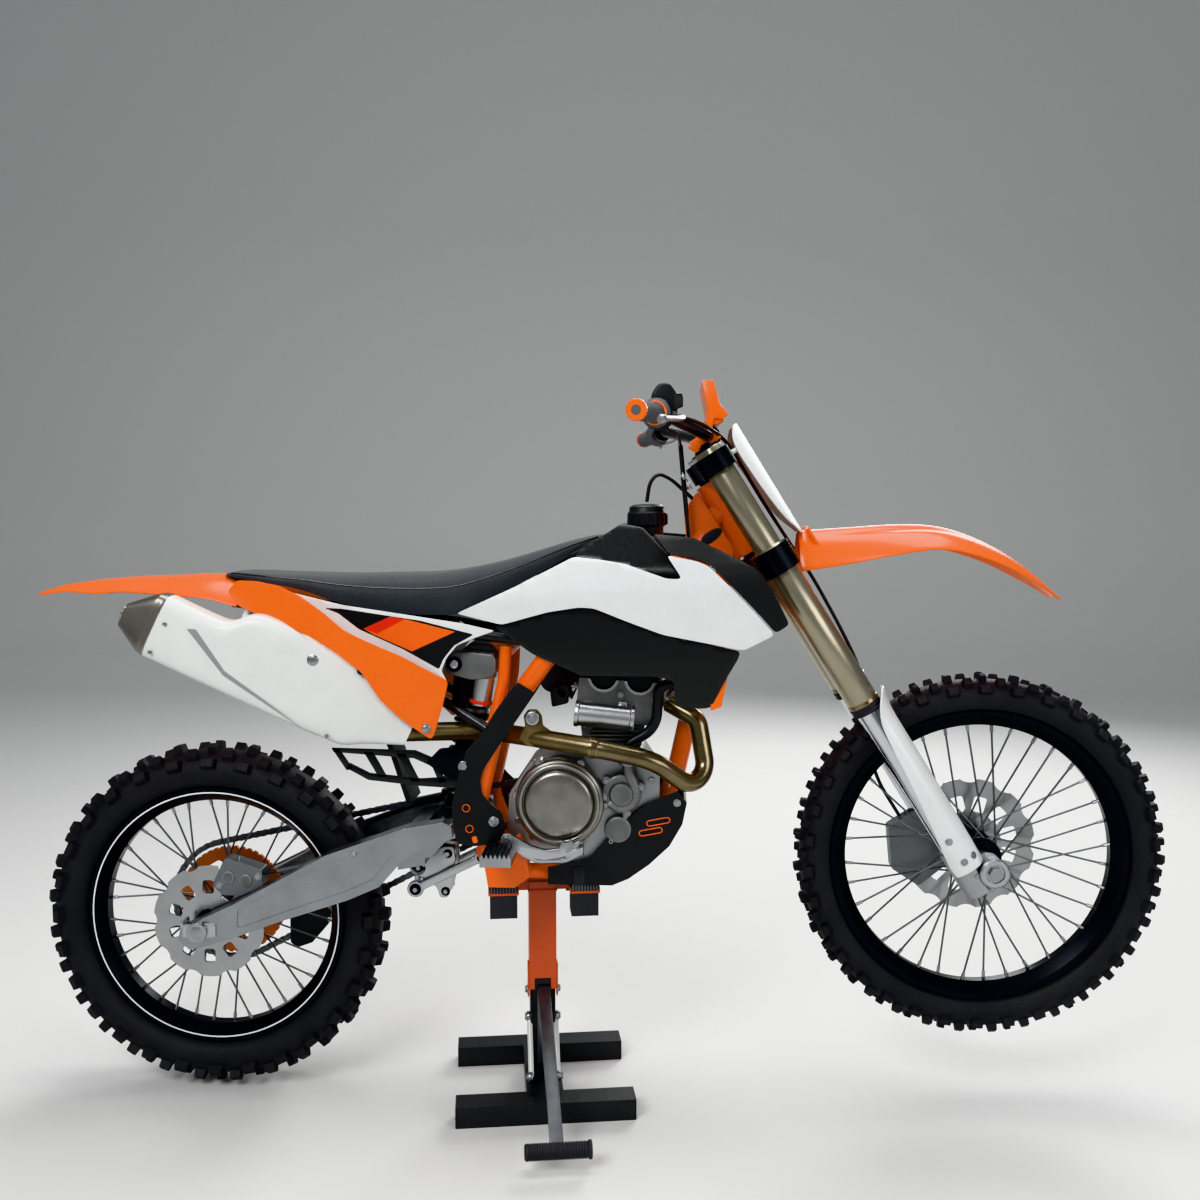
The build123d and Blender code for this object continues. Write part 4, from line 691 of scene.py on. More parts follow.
def rod(start: Vector, end: Vector, radius: float, bevel: float = 0.8, steps: int = 24,
        end_radius: Optional[float] = None) -> Mesh:
    """Turns a plain rod or taper between two points, with its ends bevelled.

    Args:
        start: One end in metres.
        end: The other end.
        radius: The radius at the start in millimetres.
        bevel: The bevel at both ends.
        steps: Segments round it.
        end_radius: The radius at the end, or None for the same.

    Returns:
        The rod's mesh.
    """
    length = (end - start).length / MM
    far = radius if end_radius is None else end_radius
    profile = [(0, 0), (radius - bevel, 0), (radius, bevel), (far, length - bevel), (far - bevel, length),
               (0, length)]
    return turned(profile, start, end, steps)


def bolt(place: Vector, out: Vector, radius: float = 5.0, height: float = 4.0, washer: bool = True,
         sunk: bool = False) -> Mesh:
    """Makes a flanged hex or socket bolt's head.

    Args:
        place: Where the head sits.
        out: The direction that it faces.
        radius: The head's radius in millimetres.
        height: The head's height.
        washer: True for a flange under it.
        sunk: True for a socket in its top.

    Returns:
        The head's mesh.
    """
    sides = 16 if sunk else 6
    profile = [(0, height * 0.45), (radius * 0.5, height * 0.45),
               (radius * 0.5, height)] if sunk else [(0, height)]
    profile += [(radius * 0.86, height), (radius, height * 0.85), (radius, 0)]
    bm = turned(profile, place, place + out, sides)
    if washer:
        plate = turned([(0, 0.9), (radius * 1.35, 0.9), (radius * 1.5, 0.2), (radius * 1.5, -1)], place,
                       place + out, 20)
        copy_into(bm, plate)
        plate.free()
    return bm


def join(parts: Sequence[Mesh]) -> Mesh:
    """Joins several meshes into one and frees them."""
    bm = bmesh.new()
    for part in parts:
        copy_into(bm, part)
        part.free()
    return bm


# ------------------------------------------------------------------ wheels
@dataclass
class Wheel:
    """A laced wheel with its knobbly tyre, sizes in millimetres.

    A spoke runs from the flange, at a radius and a place across, to its seat in the rim, at a depth and a
    place across, and crosses its neighbours by some degrees. The rows are the tread's angles off the crown.
    """

    prefix: str
    body: Body
    centre: Vector
    tip_radius: float
    lug_height: float
    half_width: float
    rim_radius: float
    rim_half: float
    pitches: int
    hub_right: float
    hub_left: float
    block_length: float
    striped: bool = False
    spokes: int = 36
    flange: Point = (34.0, 32.0)
    seat: Point = (28.0, 5.0)
    cross: float = 52.0
    rows: Point3 = (16.0, 37.0, 62.0)
    steps: int = 120

    def carcass_point(self, angle: float, lift: float = 0.0) -> Point:
        """Gives a place on the tyre's section.

        Args:
            angle: Degrees round the section from the crown.
            lift: How far outside the carcass.

        Returns:
            Place across the bike and radius in millimetres.
        """
        crown = self.tip_radius - self.lug_height
        middle = self.rim_radius + (crown - self.rim_radius) * 0.44
        turn = math.radians(angle)
        y = (self.half_width - 1.5) * math.sin(turn) ** 0.88 if angle > 0 else 0.0
        r = middle + (crown - middle) * math.cos(turn)
        return y + lift * math.sin(turn), r + lift * math.cos(turn)

    def carcass(self) -> Mesh:
        """Spins the tyre's carcass, its beads tucked into the rim."""
        half = [self.carcass_point(angle) for angle in (0, 12, 24, 36, 48, 60, 72, 84, 96, 108, 120, 132)]
        bead = [(self.rim_half - 0.5, self.rim_radius + 0.8), (self.rim_half - 1.0, self.rim_radius - 8)]
        right = half + bead
        left = [(-y, r) for y, r in right[:0:-1]]
        return ring(right + left, self.centre, self.steps)

    def block(self, length: float, width: float, height: float) -> Mesh:
        """Makes one tapered, bevelled tread block standing on the carcass."""
        bm = bmesh.new()
        bmesh.ops.create_cube(bm, size=1.0)
        for vert in bm.verts:
            taper = 0.88 if vert.co.z > 0 else 1.06
            vert.co = Vector((vert.co.x * length * taper, vert.co.y * width * taper,
                              (vert.co.z + 0.5) * (height + 4) - 4)) * MM
        top = [e for e in bm.edges if all(v.co.z > 0 for v in e.verts)]
        bmesh.ops.bevel(bm, geom=top, offset=1.3 * MM, offset_type="OFFSET", segments=1, profile=0.5,
                        affect="EDGES", material=-1)
        return bm

    def knob(self, bm: Mesh, part: Mesh, section: float, turn: float, side: int) -> None:
        """Sets a block at a section angle and a turn round the wheel, both in degrees."""
        y, r = self.carcass_point(section)
        lean = Matrix.Rotation(-side * math.radians(section), 4, "X")
        place = Matrix.Translation(Vector((0, side * y, r)) * MM) @ lean
        spin = Matrix.Rotation(math.radians(turn), 4, "Y")
        copy_into(bm, part, Matrix.Translation(self.centre) @ spin @ place)

    def tread(self) -> Mesh:
        """Sets the crown, middle and shoulder blocks round the tyre."""
        bm = bmesh.new()
        step = 360.0 / self.pitches
        reach = self.lug_height
        long, wide = self.block_length, self.half_width
        pair_at, middle_at, shoulder_at = self.rows
        crown = self.block(long, wide * 0.5, reach - 0.6)
        pair = self.block(long * 0.86, wide * 0.33, reach - 0.8)
        middle = self.block(long * 1.12, wide * 0.4, reach * 0.92)
        shoulder = self.block(long * 1.5, wide * 0.36, reach * 0.8)
        for i in range(self.pitches):
            if i % 2:
                self.knob(bm, crown, 0.0, i * step, 1)
            else:
                for side in SIDES:
                    self.knob(bm, pair, pair_at, i * step, side)
            for side in SIDES:
                self.knob(bm, middle, middle_at, (i + 0.5) * step, side)
                self.knob(bm, shoulder, shoulder_at, i * step, side)
        for part in (crown, pair, middle, shoulder):
            part.free()
        return bm

    def rim(self) -> Mesh:
        """Spins the rim's hollow-walled channel."""
        h, r = self.rim_half, self.rim_radius
        profile = [(-h, r), (-h - 1.2, r + 0.6), (-h - 3.6, r - 0.6), (-h - 4, r - 3), (-h - 2.5, r - 7),
                   (-h - 3.2, r - 13), (-h * 0.55, r - 27), (-h * 0.4, r - 30), (h * 0.4, r - 30),
                   (h * 0.55, r - 27), (h + 3.2, r - 13), (h + 2.5, r - 7), (h + 4, r - 3),
                   (h + 3.6, r - 0.6), (h + 1.2, r + 0.6), (h, r), (h, r - 11), (h * 0.35, r - 25),
                   (-h * 0.35, r - 25), (-h, r - 11)]
        return ring(profile, self.centre, self.steps)

    def polar(self, radius: float, y: float, degrees: float) -> Vector:
        """Gives a place round the wheel in metres."""
        turn = math.radians(degrees)
        return self.centre + Vector((math.cos(turn) * radius, y, math.sin(turn) * radius)) * MM

    def spoke_ends(self) -> list[tuple[Vector, Vector]]:
        """Lists each spoke's hub end and rim end, laced in crossing pairs."""
        ends = []
        for i in range(self.spokes):
            side = 1 if i % 2 else -1
            lead = 1 if (i // 2) % 2 else -1
            rim_turn = 360.0 / self.spokes * (i + 0.5)
            hub_turn = rim_turn + lead * self.cross
            ends.append((self.polar(self.flange[0], side * self.flange[1], hub_turn),
                         self.polar(self.rim_radius - self.seat[0], side * self.seat[1], rim_turn)))
        return ends

    def lacing(self) -> Mesh:
        """Makes the spokes."""
        return join([rod(hub, rim, 1.9, 0.3, 8) for hub, rim in self.spoke_ends()])

    def nipples(self) -> Mesh:
        """Makes the bright nipples where the spokes enter the rim."""
        parts = []
        for hub, rim in self.spoke_ends():
            back = (hub - rim).normalized()
            parts.append(rod(rim + back * 0.002, rim + back * 0.016, 3.3, 0.6, 8))
        return join(parts)

    def hub(self) -> Mesh:
        """Turns the hub with its two spoke flanges and bearing bosses."""
        right, left = -self.hub_right, self.hub_left
        profile = [(0, right), (17, right), (18, right + 1), (21, -42), (38, -38), (39, -36), (39, -31),
                   (37, -29), (27, -26), (20, -14), (19, 0), (20, 14), (27, 26), (37, 29), (39, 31), (39, 36),
                   (38, 38), (23, 42), (22, left - 1), (21, left), (0, left)]
        return turned(profile, self.centre, self.centre + ACROSS, 40)

    def pinstripe(self) -> Mesh:
        """Lays a thin film stripe on each side of the rim."""
        parts = []
        for side in SIDES:
            h, r = self.rim_half, self.rim_radius
            profile = [(side * (h + 3.3), r - 9.6), (side * (h + 3.6), r - 12.2),
                       (side * (h + 2.9), r - 12.6), (side * (h + 2.6), r - 9.8)]
            parts.append(ring(profile, self.centre, 96))
        return join(parts)

    def build(self) -> None:
        """Builds the wheel and dresses its disc."""
        dress([self.carcass(), self.tread()], self.prefix + "_knobbly_tyre", TYRE_RUBBER,
              self.prefix + "_tyre", 30, body=self.body)
        if self.striped:
            dress(self.pinstripe(), self.prefix + "_rim_stripe", WHITE_FILM, body=self.body)
        dress(self.rim(), self.prefix + "_anodised_rim", BLACK_ANODISE, self.prefix + "_rim", body=self.body)
        dress(self.lacing(), self.prefix + "_spokes", DARK_STEEL, body=self.body)
        dress(self.nipples(), self.prefix + "_nipples", ZINC_BOLT, body=self.body)
        dress(self.hub(), self.prefix + "_hub_shell", BLACK_ANODISE, self.prefix + "_hub", body=self.body)
        paint_node(self.prefix + "_disc", STAINLESS)


@dataclass
class FinalDrive:
    """The chain, laid link by link round both sprockets, and the fastenings of the rear sprocket."""

    pitch: float = 15.875
    y: float = 69.0
    teeth: int = 48
    front_teeth: int = 14
    front: Point = (598.0, 566.0)
    plate_height: float = 12.0
    bolts: int = 6
    bolt_circle: float = 60.0

    def route(self) -> list[Vector]:
        """Lists the chain's pin places round the loop, in millimetres of X and Z."""
        rear = Vector((0.0, AXLE_HEIGHT))
        front = Vector(self.front)
        rear_r = self.pitch / 2 / math.sin(math.pi / self.teeth)
        front_r = self.pitch / 2 / math.sin(math.pi / self.front_teeth)
        line = front - rear
        lean = math.atan2(line.y, line.x)
        tilt = math.acos((rear_r - front_r) / line.length)
        upper, lower = lean + tilt, lean - tilt
        length = line.length * math.sin(tilt)
        round_rear = rear_r * (math.tau - (upper - lower))
        round_front = front_r * (upper - lower)
        total = 2 * length + round_rear + round_front
        count = int(total / self.pitch / 2) * 2

        def on(centre: Vector, radius: float, turn: float) -> Vector:
            """Gives a place on a sprocket's pitch circle."""
            return centre + Vector((math.cos(turn), math.sin(turn))) * radius

        places = []
        for i in range(count):
            s = i * (total / count)
            if s < length:
                places.append(on(rear, rear_r, upper).lerp(on(front, front_r, upper), s / length))
            elif s < length + round_front:
                places.append(on(front, front_r, upper - (s - length) / front_r))
            elif s < 2 * length + round_front:
                part = (s - length - round_front) / length
                places.append(on(front, front_r, lower).lerp(on(rear, rear_r, lower), part))
            else:
                places.append(on(rear, rear_r, lower - (s - 2 * length - round_front) / rear_r))
        return places

    def link_plate(self, height: float) -> list[Point]:
        """Outlines one link plate, waisted between its pins."""
        half, r = self.pitch / 2, height / 2
        outline = []
        for start, end in ((-75, 1), (105, -1)):
            for k in range(7):
                turn = math.radians(start + k * 25)
                outline.append((end * half + math.cos(turn) * r, math.sin(turn) * r))
            outline.append((0, end * r * 0.78))
        return outline

    def chain(self) -> Mesh:
        """Builds the roller chain."""
        bm = bmesh.new()
        places = self.route()
        plate = self.link_plate(self.plate_height)
        inner, outer = [join([prism(plate, y, y + 1.8, Matrix.Identity(4)) for y in pair])
                        for pair in ((3.0, -4.8), (5.0, -6.8))]
        pin = turned([(0, -7.3), (2.2, -7.3), (2.2, -3.0), (4.6, -3.0), (4.6, 3.0), (2.2, 3.0), (2.2, 7.3),
                      (0, 7.3)], Vector((0, 0, 0)), ACROSS, 10)
        for i, place in enumerate(places):
            beyond = places[(i + 1) % len(places)]
            middle = (place + beyond) / 2
            turn = math.atan2(beyond.y - place.y, beyond.x - place.x)
            home = Matrix.Translation(spot(middle.x, self.y, middle.y)) @ Matrix.Rotation(-turn, 4, "Y")
            copy_into(bm, outer if i % 2 else inner, home)
            copy_into(bm, pin, Matrix.Translation(spot(place.x, self.y, place.y)))
        for part in (inner, outer, pin):
            part.free()
        return bm

    def build(self) -> None:
        """Builds the chain and dresses the sprocket."""
        dress(self.chain(), "roller_chain", DARK_STEEL, "chain")
        paint_node("rear_sprocket", RUST_ANODISE)
        bolts = []
        for k in range(self.bolts):
            x, z = swing((0.0, AXLE_HEIGHT), self.bolt_circle, 360 / self.bolts * k + 15)
            bolts.append(bolt(spot(x, self.y + 3.5, z), ACROSS, 6, 4, False))
        dress(bolts, "sprocket_bolts", ZINC_BOLT, body=Body.REAR_WHEEL)


# ------------------------------------------------------------------ bodywork
def closed_loft(across: Callable[[float, float], Point3], rows: int, columns: int) -> Mesh:
    """Lofts a closed form through sections that run round it.

    Args:
        across: Gives X, Y and Z in millimetres for u along the form and v once round its section.
        rows: Faces along it.
        columns: Faces round it.

    Returns:
        The closed mesh.
    """
    bm = bmesh.new()
    bmesh.ops.create_grid(bm, x_segments=rows, y_segments=columns, size=0.5)
    for vert in bm.verts:
        vert.co = spot(*across(min(max(vert.co.x + 0.5, 0.0), 1.0), min(max(vert.co.y + 0.5, 0.0), 1.0)))
    bmesh.ops.remove_doubles(bm, verts=bm.verts[:], dist=2e-5)
    bmesh.ops.holes_fill(bm, edges=[e for e in bm.edges if e.is_boundary])
    bmesh.ops.recalc_face_normals(bm, faces=bm.faces[:])
    return bm


@dataclass
class Seat:
    """The long flat seat, a crowned foam form under pebbled grip vinyl.

    The crown is the share of the section's round that its top takes, and the seams run at two more such shares.
    """

    top: Sequence[Point] = ((35, 1024), (61, 1028), (135, 1026), (294, 1024), (369, 1026), (469, 1030),
                            (568, 1048), (667, 1077), (716, 1091), (778, 1104))
    low: Sequence[Point] = ((35, 1019), (70, 1015), (126, 1008), (197, 996), (282, 969), (368, 953),
                            (438, 949), (495, 952), (533, 968), (595, 998), (657, 1031), (713, 1062),
                            (778, 1094))
    half: Sequence[Point] = ((35, 44), (70, 62), (135, 82), (300, 90), (500, 87), (640, 70), (716, 54),
                             (778, 28))
    crown: float = 0.8
    seams: Point = (0.10, 0.70)

    def place(self, u: float, v: float) -> Point3:
        """Gives a place on the seat's cover for u along it and v round its section."""
        x = reach_along(self.top, u)
        top, low, half = along(self.top, x), along(self.low, x), along(self.half, x)
        end = min(1.0, (u / 0.02) ** 0.5 if u < 0.02 else 1.0, ((1.0 - u) / 0.03) ** 0.5 if u > 0.97 else 1.0)
        if v <= self.crown:
            t = v / self.crown * 2.0 - 1.0
            turn = t * math.pi / 2
            y = half * math.copysign(abs(math.sin(turn)) ** 0.72, t)
            rise = max(math.cos(turn), 0.0) ** 0.5
            hollow = 1.6 * math.cos(turn) ** 4
            return x, y * (0.55 + 0.45 * end), low + (top - low) * rise * (0.4 + 0.6 * end) - hollow
        t = 1.0 - (v - self.crown) / (1.0 - self.crown) * 2.0
        return x, half * t * (0.55 + 0.45 * end), low

    def build(self) -> None:
        """Builds the seat and its welted seams."""
        bm = closed_loft(self.place, 90, 46)
        cover = dress(bm, "seat_cover_padded", SEAT_VINYL, "seat", 60)
        seams = []
        for v in self.seams:
            route = [spot(*self.place(0.03 + 0.94 * k / 30, v)) + Vector((0, 0, 0.0006)) for k in range(31)]
            seams.append(tube(route, 1.1, sides=2))
        dress(seams, "seat_seam_welts", GLOSS_BLACK)


@dataclass
class Bodywork:
    """The plastics: fenders, shrouds, side panels, tank cover and number plate, sizes in millimetres."""

    shroud_line: Sequence[Point] = ((480, 98), (500, 101), (640, 126), (760, 150), (900, 164), (1110, 158))
    side_line: Sequence[Point] = ((60, 109), (140, 132), (200, 152), (290, 160), (390, 147), (485, 117))

    def shroud(self, x: float, z: float) -> float:
        """Says how far out the shroud's skin lies, creased along its middle."""
        crease = 985.0 + (x - 700.0) * 0.08
        return along(self.shroud_line, x) + 3.5 - abs(z - crease) * (0.16 if z > crease else 0.07)

    def shroud_below(self, x: float, z: float) -> float:
        """Says how far out the lower shroud lies, turning in towards the radiator's foot."""
        return self.shroud(x, z) - 7.0 - max(0.0, 880.0 - z) * 0.04

    def side(self, x: float, z: float) -> float:
        """Says how far out the lower side panel lies."""
        return along(self.side_line, x) - abs(z - 870.0) * 0.04 - 1.0

    def upper_side(self, x: float, z: float) -> float:
        """Says how far out the number panel under the seat lies."""
        return 117.5 - abs(z - 930.0) * 0.03

    def film(self, outline: Sequence[Point], surface: Callable[[float, float], float],
             lift: float = 0.45) -> Mesh:
        """Lays a thin film over a panel, a little proud of its skin."""
        return panel(outline, lambda x, z: surface(x, z) + lift, wall=0.6, cell=14.0, edge=0.0)

    def shrouds(self) -> None:
        """Builds the white shrouds, the black ones round them and the tank cover."""
        white = rounded([(496, 953), (610, 1005), (717, 1060), (765, 1055), (810, 1048), (886, 1022),
                         (912, 1022), (884, 1064), (940, 1053), (960, 1044), (1002, 1003), (1045, 958),
                         (1077, 922), (1022, 894), (946, 909), (878, 922), (819, 943), (754, 968), (726, 969),
                         (669, 959), (583, 934)], 9.0, 3)
        dress(mirrored(panel(white, self.shroud, 3.2, 15.0, 1.2)), "shroud_white_skin", WHITE_PLASTIC,
              "shrouds_white", 40)
        front = rounded([(858, 1101), (931, 1095), (999, 1063), (1044, 1040), (1071, 1004), (1103, 941),
                         (1079, 925), (1047, 961), (1003, 1006), (961, 1048), (940, 1056), (887, 1067),
                         (874, 1084)], 8.0, 3)

        def front_skin(x: float, z: float) -> float:
            """Rolls the shroud's front inwards as it rises."""
            return self.shroud(x, z) - 1.5 - max(0.0, z - 1040.0) * 0.55

        dress(mirrored(panel(front, front_skin, 3.0, 13.0, 1.2)), "shroud_black_front", BLACK_PLASTIC,
              "shrouds_black", 40)
        lower = rounded([(566, 930), (600, 938), (669, 957), (726, 967), (754, 966), (819, 941), (878, 920),
                         (946, 907), (1016, 892), (1014, 880), (990, 838), (966, 789), (950, 786), (902, 790),
                         (897, 838), (863, 845), (729, 843), (640, 880)], 7.0, 3)
        dress(mirrored(panel(lower, self.shroud_below, 3.0, 13.0, 1.0)), "shroud_black_lower", GLOSS_BLACK,
              sharp=40)

        def cover_skin(x: float, z: float) -> float:
            """Lays the tank's side cover, leaning in towards the filler."""
            return 121.0 - max(0.0, z - 1035.0) * 0.62 + (x - 800.0) * 0.06

        cover = rounded([(716, 1060), (748, 1085), (785, 1109), (800, 1119), (840, 1112), (888, 1064),
                         (914, 1020), (886, 1020), (810, 1046), (765, 1053)], 6.0, 3)
        dress(mirrored(panel(cover, cover_skin, 3.0, 11.0, 1.2)), "tank_side_cover", GLOSS_BLACK, sharp=45)

    def tank_top(self) -> None:
        """Builds the black tank between the covers, with its ribbed filler cap."""
        crown = ((640, 1035), (716, 1079), (785, 1100), (830, 1107), (876, 1096))
        flanks = ((640, 40), (716, 60), (790, 74), (876, 66))

        def place(u: float, v: float) -> Point3:
            """Gives a place on the tank's crown."""
            x = reach_along(crown, u)
            top, half = along(crown, x), along(flanks, x)
            turn = v * math.tau
            y = half * math.copysign(abs(math.cos(turn)) ** 0.6, math.cos(turn))
            rise = math.sin(turn)
            depth = 16.0 if rise > 0 else 120.0
            z = top - 16.0 + depth * math.copysign(abs(rise) ** 0.7, rise)
            return x, y, z

        dress(closed_loft(place, 16, 28), "tank_shell", GLOSS_BLACK, "tank", 50)
        foot, head = spot(848, 0, 1100), spot(846.4, 0, 1157)
        cap = turned([(0, -6), (30, -6), (31, 12), (37, 15), (37.5, 38), (34, 42), (33, 50), (27, 54),
                      (12, 55.5), (0, 55.5)], foot, head, 40)
        ribs = []
        for k in range(20):
            turn = math.radians(18 * k)
            out = Vector((math.cos(turn), math.sin(turn), 0))
            ribs.append(rod(foot + out * 0.0372 + Vector((0, 0, 0.017)),
                            foot + out * 0.0368 + Vector((0, 0, 0.036)), 1.6, 0.4, 8))
        dress([cap] + ribs, "filler_cap", BLACK_PLASTIC, sharp=35)

    def side_panels(self) -> None:
        """Builds the panels under the seat with their stripes."""
        upper = rounded([(192, 992), (288, 969), (432, 948), (512, 936), (570, 923), (534, 910), (500, 896),
                         (480, 872), (470, 848), (480, 829), (386, 866), (297, 905), (252, 938)], 5.0, 3)
        dress(mirrored(panel(upper, self.upper_side, 3.2, 13.0, 1.0)), "side_panel_white", WHITE_PLASTIC,
              "side_panels", 40)
        black = [(254, 964), (289, 962), (432, 941), (531, 916), (494, 895), (474, 870), (466, 851),
                 (400, 888), (318, 925), (280, 954)]
        stripe = [(327, 926), (378, 949), (404, 944), (497, 921), (416, 884), (345, 915)]
        red = [(327, 926), (378, 949), (404, 944), (352, 917)]
        dress(mirrored(self.film(rounded(black, 4.0, 2), self.upper_side)), "side_panel_black_film",
              GLOSS_BLACK, sharp=40)
        dress(mirrored(self.film(stripe, self.upper_side, 0.8)), "side_panel_orange_film", ORANGE_FILM,
              sharp=40)
        dress(mirrored(self.film(red, self.upper_side, 1.15)), "side_panel_red_film", RED_FILM, sharp=40)
        lower = rounded([(68, 992), (88, 1014), (130, 1013), (176, 1005), (218, 988), (262, 958), (300, 926),
                         (340, 906), (402, 878), (483, 829), (472, 782), (459, 738), (452, 720), (425, 741),
                         (399, 762), (364, 797), (331, 850), (284, 887), (235, 916), (154, 943), (92, 966)],
                        8.0, 3)
        dress(mirrored(panel(lower, self.side, 3.2, 14.0, 1.2)), "side_panel_orange", ORANGE_PLASTIC,
              "side_panels_lower", 40)
        x, z = 441, 742
        bolts = [bolt(spot(x, side * (self.side(x, z) + 0.3), z), outward(side), 6.5, 3.5) for side in SIDES]
        dress(bolts, "side_panel_bolts", ZINC_BOLT)

    def rear_fender(self) -> None:
        """Builds the rear fender, flat on top with a skirt that deepens forwards."""
        top = ((-336, 984), (-266, 1003), (-169, 1014), (-78, 1018), (20, 1021), (84, 1010))
        half = ((-336, 30), (-300, 48), (-200, 78), (-60, 97), (20, 103), (84, 104))
        drop = ((-336, 3), (-266, 13), (-200, 24), (-143, 24), (-76, 30), (0, 38), (84, 44))

        def place(u: float, v: float) -> Point3:
            """Gives a place on the fender's skin."""
            x = reach_along(top, u)
            t = v * 2.0 - 1.0
            fall = along(drop, x) * abs(t) ** 3.0
            ridge = 2.5 * math.exp(-((abs(t) - 0.62) / 0.12) ** 2)
            return x, along(half, x) * t, along(top, x) - fall + ridge - 1.0

        dress(skin(place, 44, 30, 3.4, 1.0), "rear_fender_shell", ORANGE_PLASTIC, "rear_fender", 42)

    def front_fender(self) -> None:
        """Builds the front fender: a deep neck at the clamp that spreads and thins to its tip."""
        top = ((1132, 1105), (1221, 1111), (1313, 1117), (1381, 1115), (1438, 1101), (1507, 1069),
               (1565, 1029), (1616, 985))
        half = ((1132, 60), (1221, 66), (1313, 78), (1400, 84), (1507, 72), (1565, 54), (1616, 30))
        drop = ((1132, 74), (1212, 66), (1300, 54), (1388, 40), (1450, 34), (1544, 22), (1616, 6))

        def place(u: float, v: float) -> Point3:
            """Gives a place on the fender's skin."""
            x = reach_along(top, u)
            t = v * 2.0 - 1.0
            valley = 5.0 * math.exp(-((abs(t) - 0.38) / 0.13) ** 2) * math.sin(math.pi * min(u * 1.2, 1.0))
            fall = along(drop, x) * abs(t) ** 2.4
            return x, along(half, x) * t, along(top, x) - fall - valley - 0.5

        shell = skin(place, 46, 32, 3.4, 1.0)
        turn = Matrix((FORK_AHEAD, (0, 1, 0), FORK_UP)).transposed().to_4x4()
        own = Matrix.Translation(fork_spot(0, 0, 0)) @ turn
        neck = prism(rounded([(-48, 655), (-48, 663), (44, 663), (44, 702), (50, 708), (50, 655)], 3), -42,
                     42, own, 1.2)
        dress([shell, neck], "front_fender_shell", ORANGE_PLASTIC, "front_fender", 42, body=Body.STEERING)

    def number_plate(self) -> None:
        """Builds the bowed number plate ahead of the fork."""
        half = ((704, 44), (740, 74), (790, 88), (860, 96), (900, 96), (925, 84), (940, 58))

        def place(u: float, v: float) -> Point3:
            """Gives a place on the plate's skin."""
            s = reach_along(half, u)
            t = v * 2.0 - 1.0
            y = along(half, s) * t
            ahead = LEG_O + 77.0 - 31.0 * (abs(y) / 98.0) ** 2.2
            point = fork_spot(s, ahead, y)
            return (point.x - REAR_AXLE.x) / MM, y, point.z / MM

        pegs = [rod(fork_spot(898, -4.6, y), fork_spot(898, 11, y), 5) for y in (-88, 88)]
        dress([skin(place, 26, 26, 3.0, 1.0)] + pegs, "number_plate_shell", WHITE_PLASTIC, "number_plate", 42,
              body=Body.STEERING)

    def radiators(self) -> None:
        """Builds the radiators' cores and louvres and paints the braces."""
        cores, fins = [], []
        for side in SIDES:
            low, high = span(side, 66.0, 136.0)
            cores.append(prism([(918, 802), (942, 998), (984, 993), (963, 797)], low, high, None, 3.0))
            for k in range(34):
                z = 812 + k * 5.2
                x = 966 + (z - 800) * 0.103
                fins.append(prism([(x - 4, z), (x, z + 2.4), (x + 1.6, z + 2.0), (x - 2, z)], low + 6,
                                  high - 6))
        dress(cores, "radiator_cores", MACHINED_ALUMINIUM, "radiators")
        dress(fins, "radiator_louvres", GLOSS_BLACK)
        paint_node("radiator_brace", ORANGE_PLASTIC)

    def build(self) -> None:
        """Builds every panel."""
        self.shrouds()
        self.tank_top()
        self.side_panels()
        self.rear_fender()
        self.front_fender()
        self.number_plate()
        self.radiators()


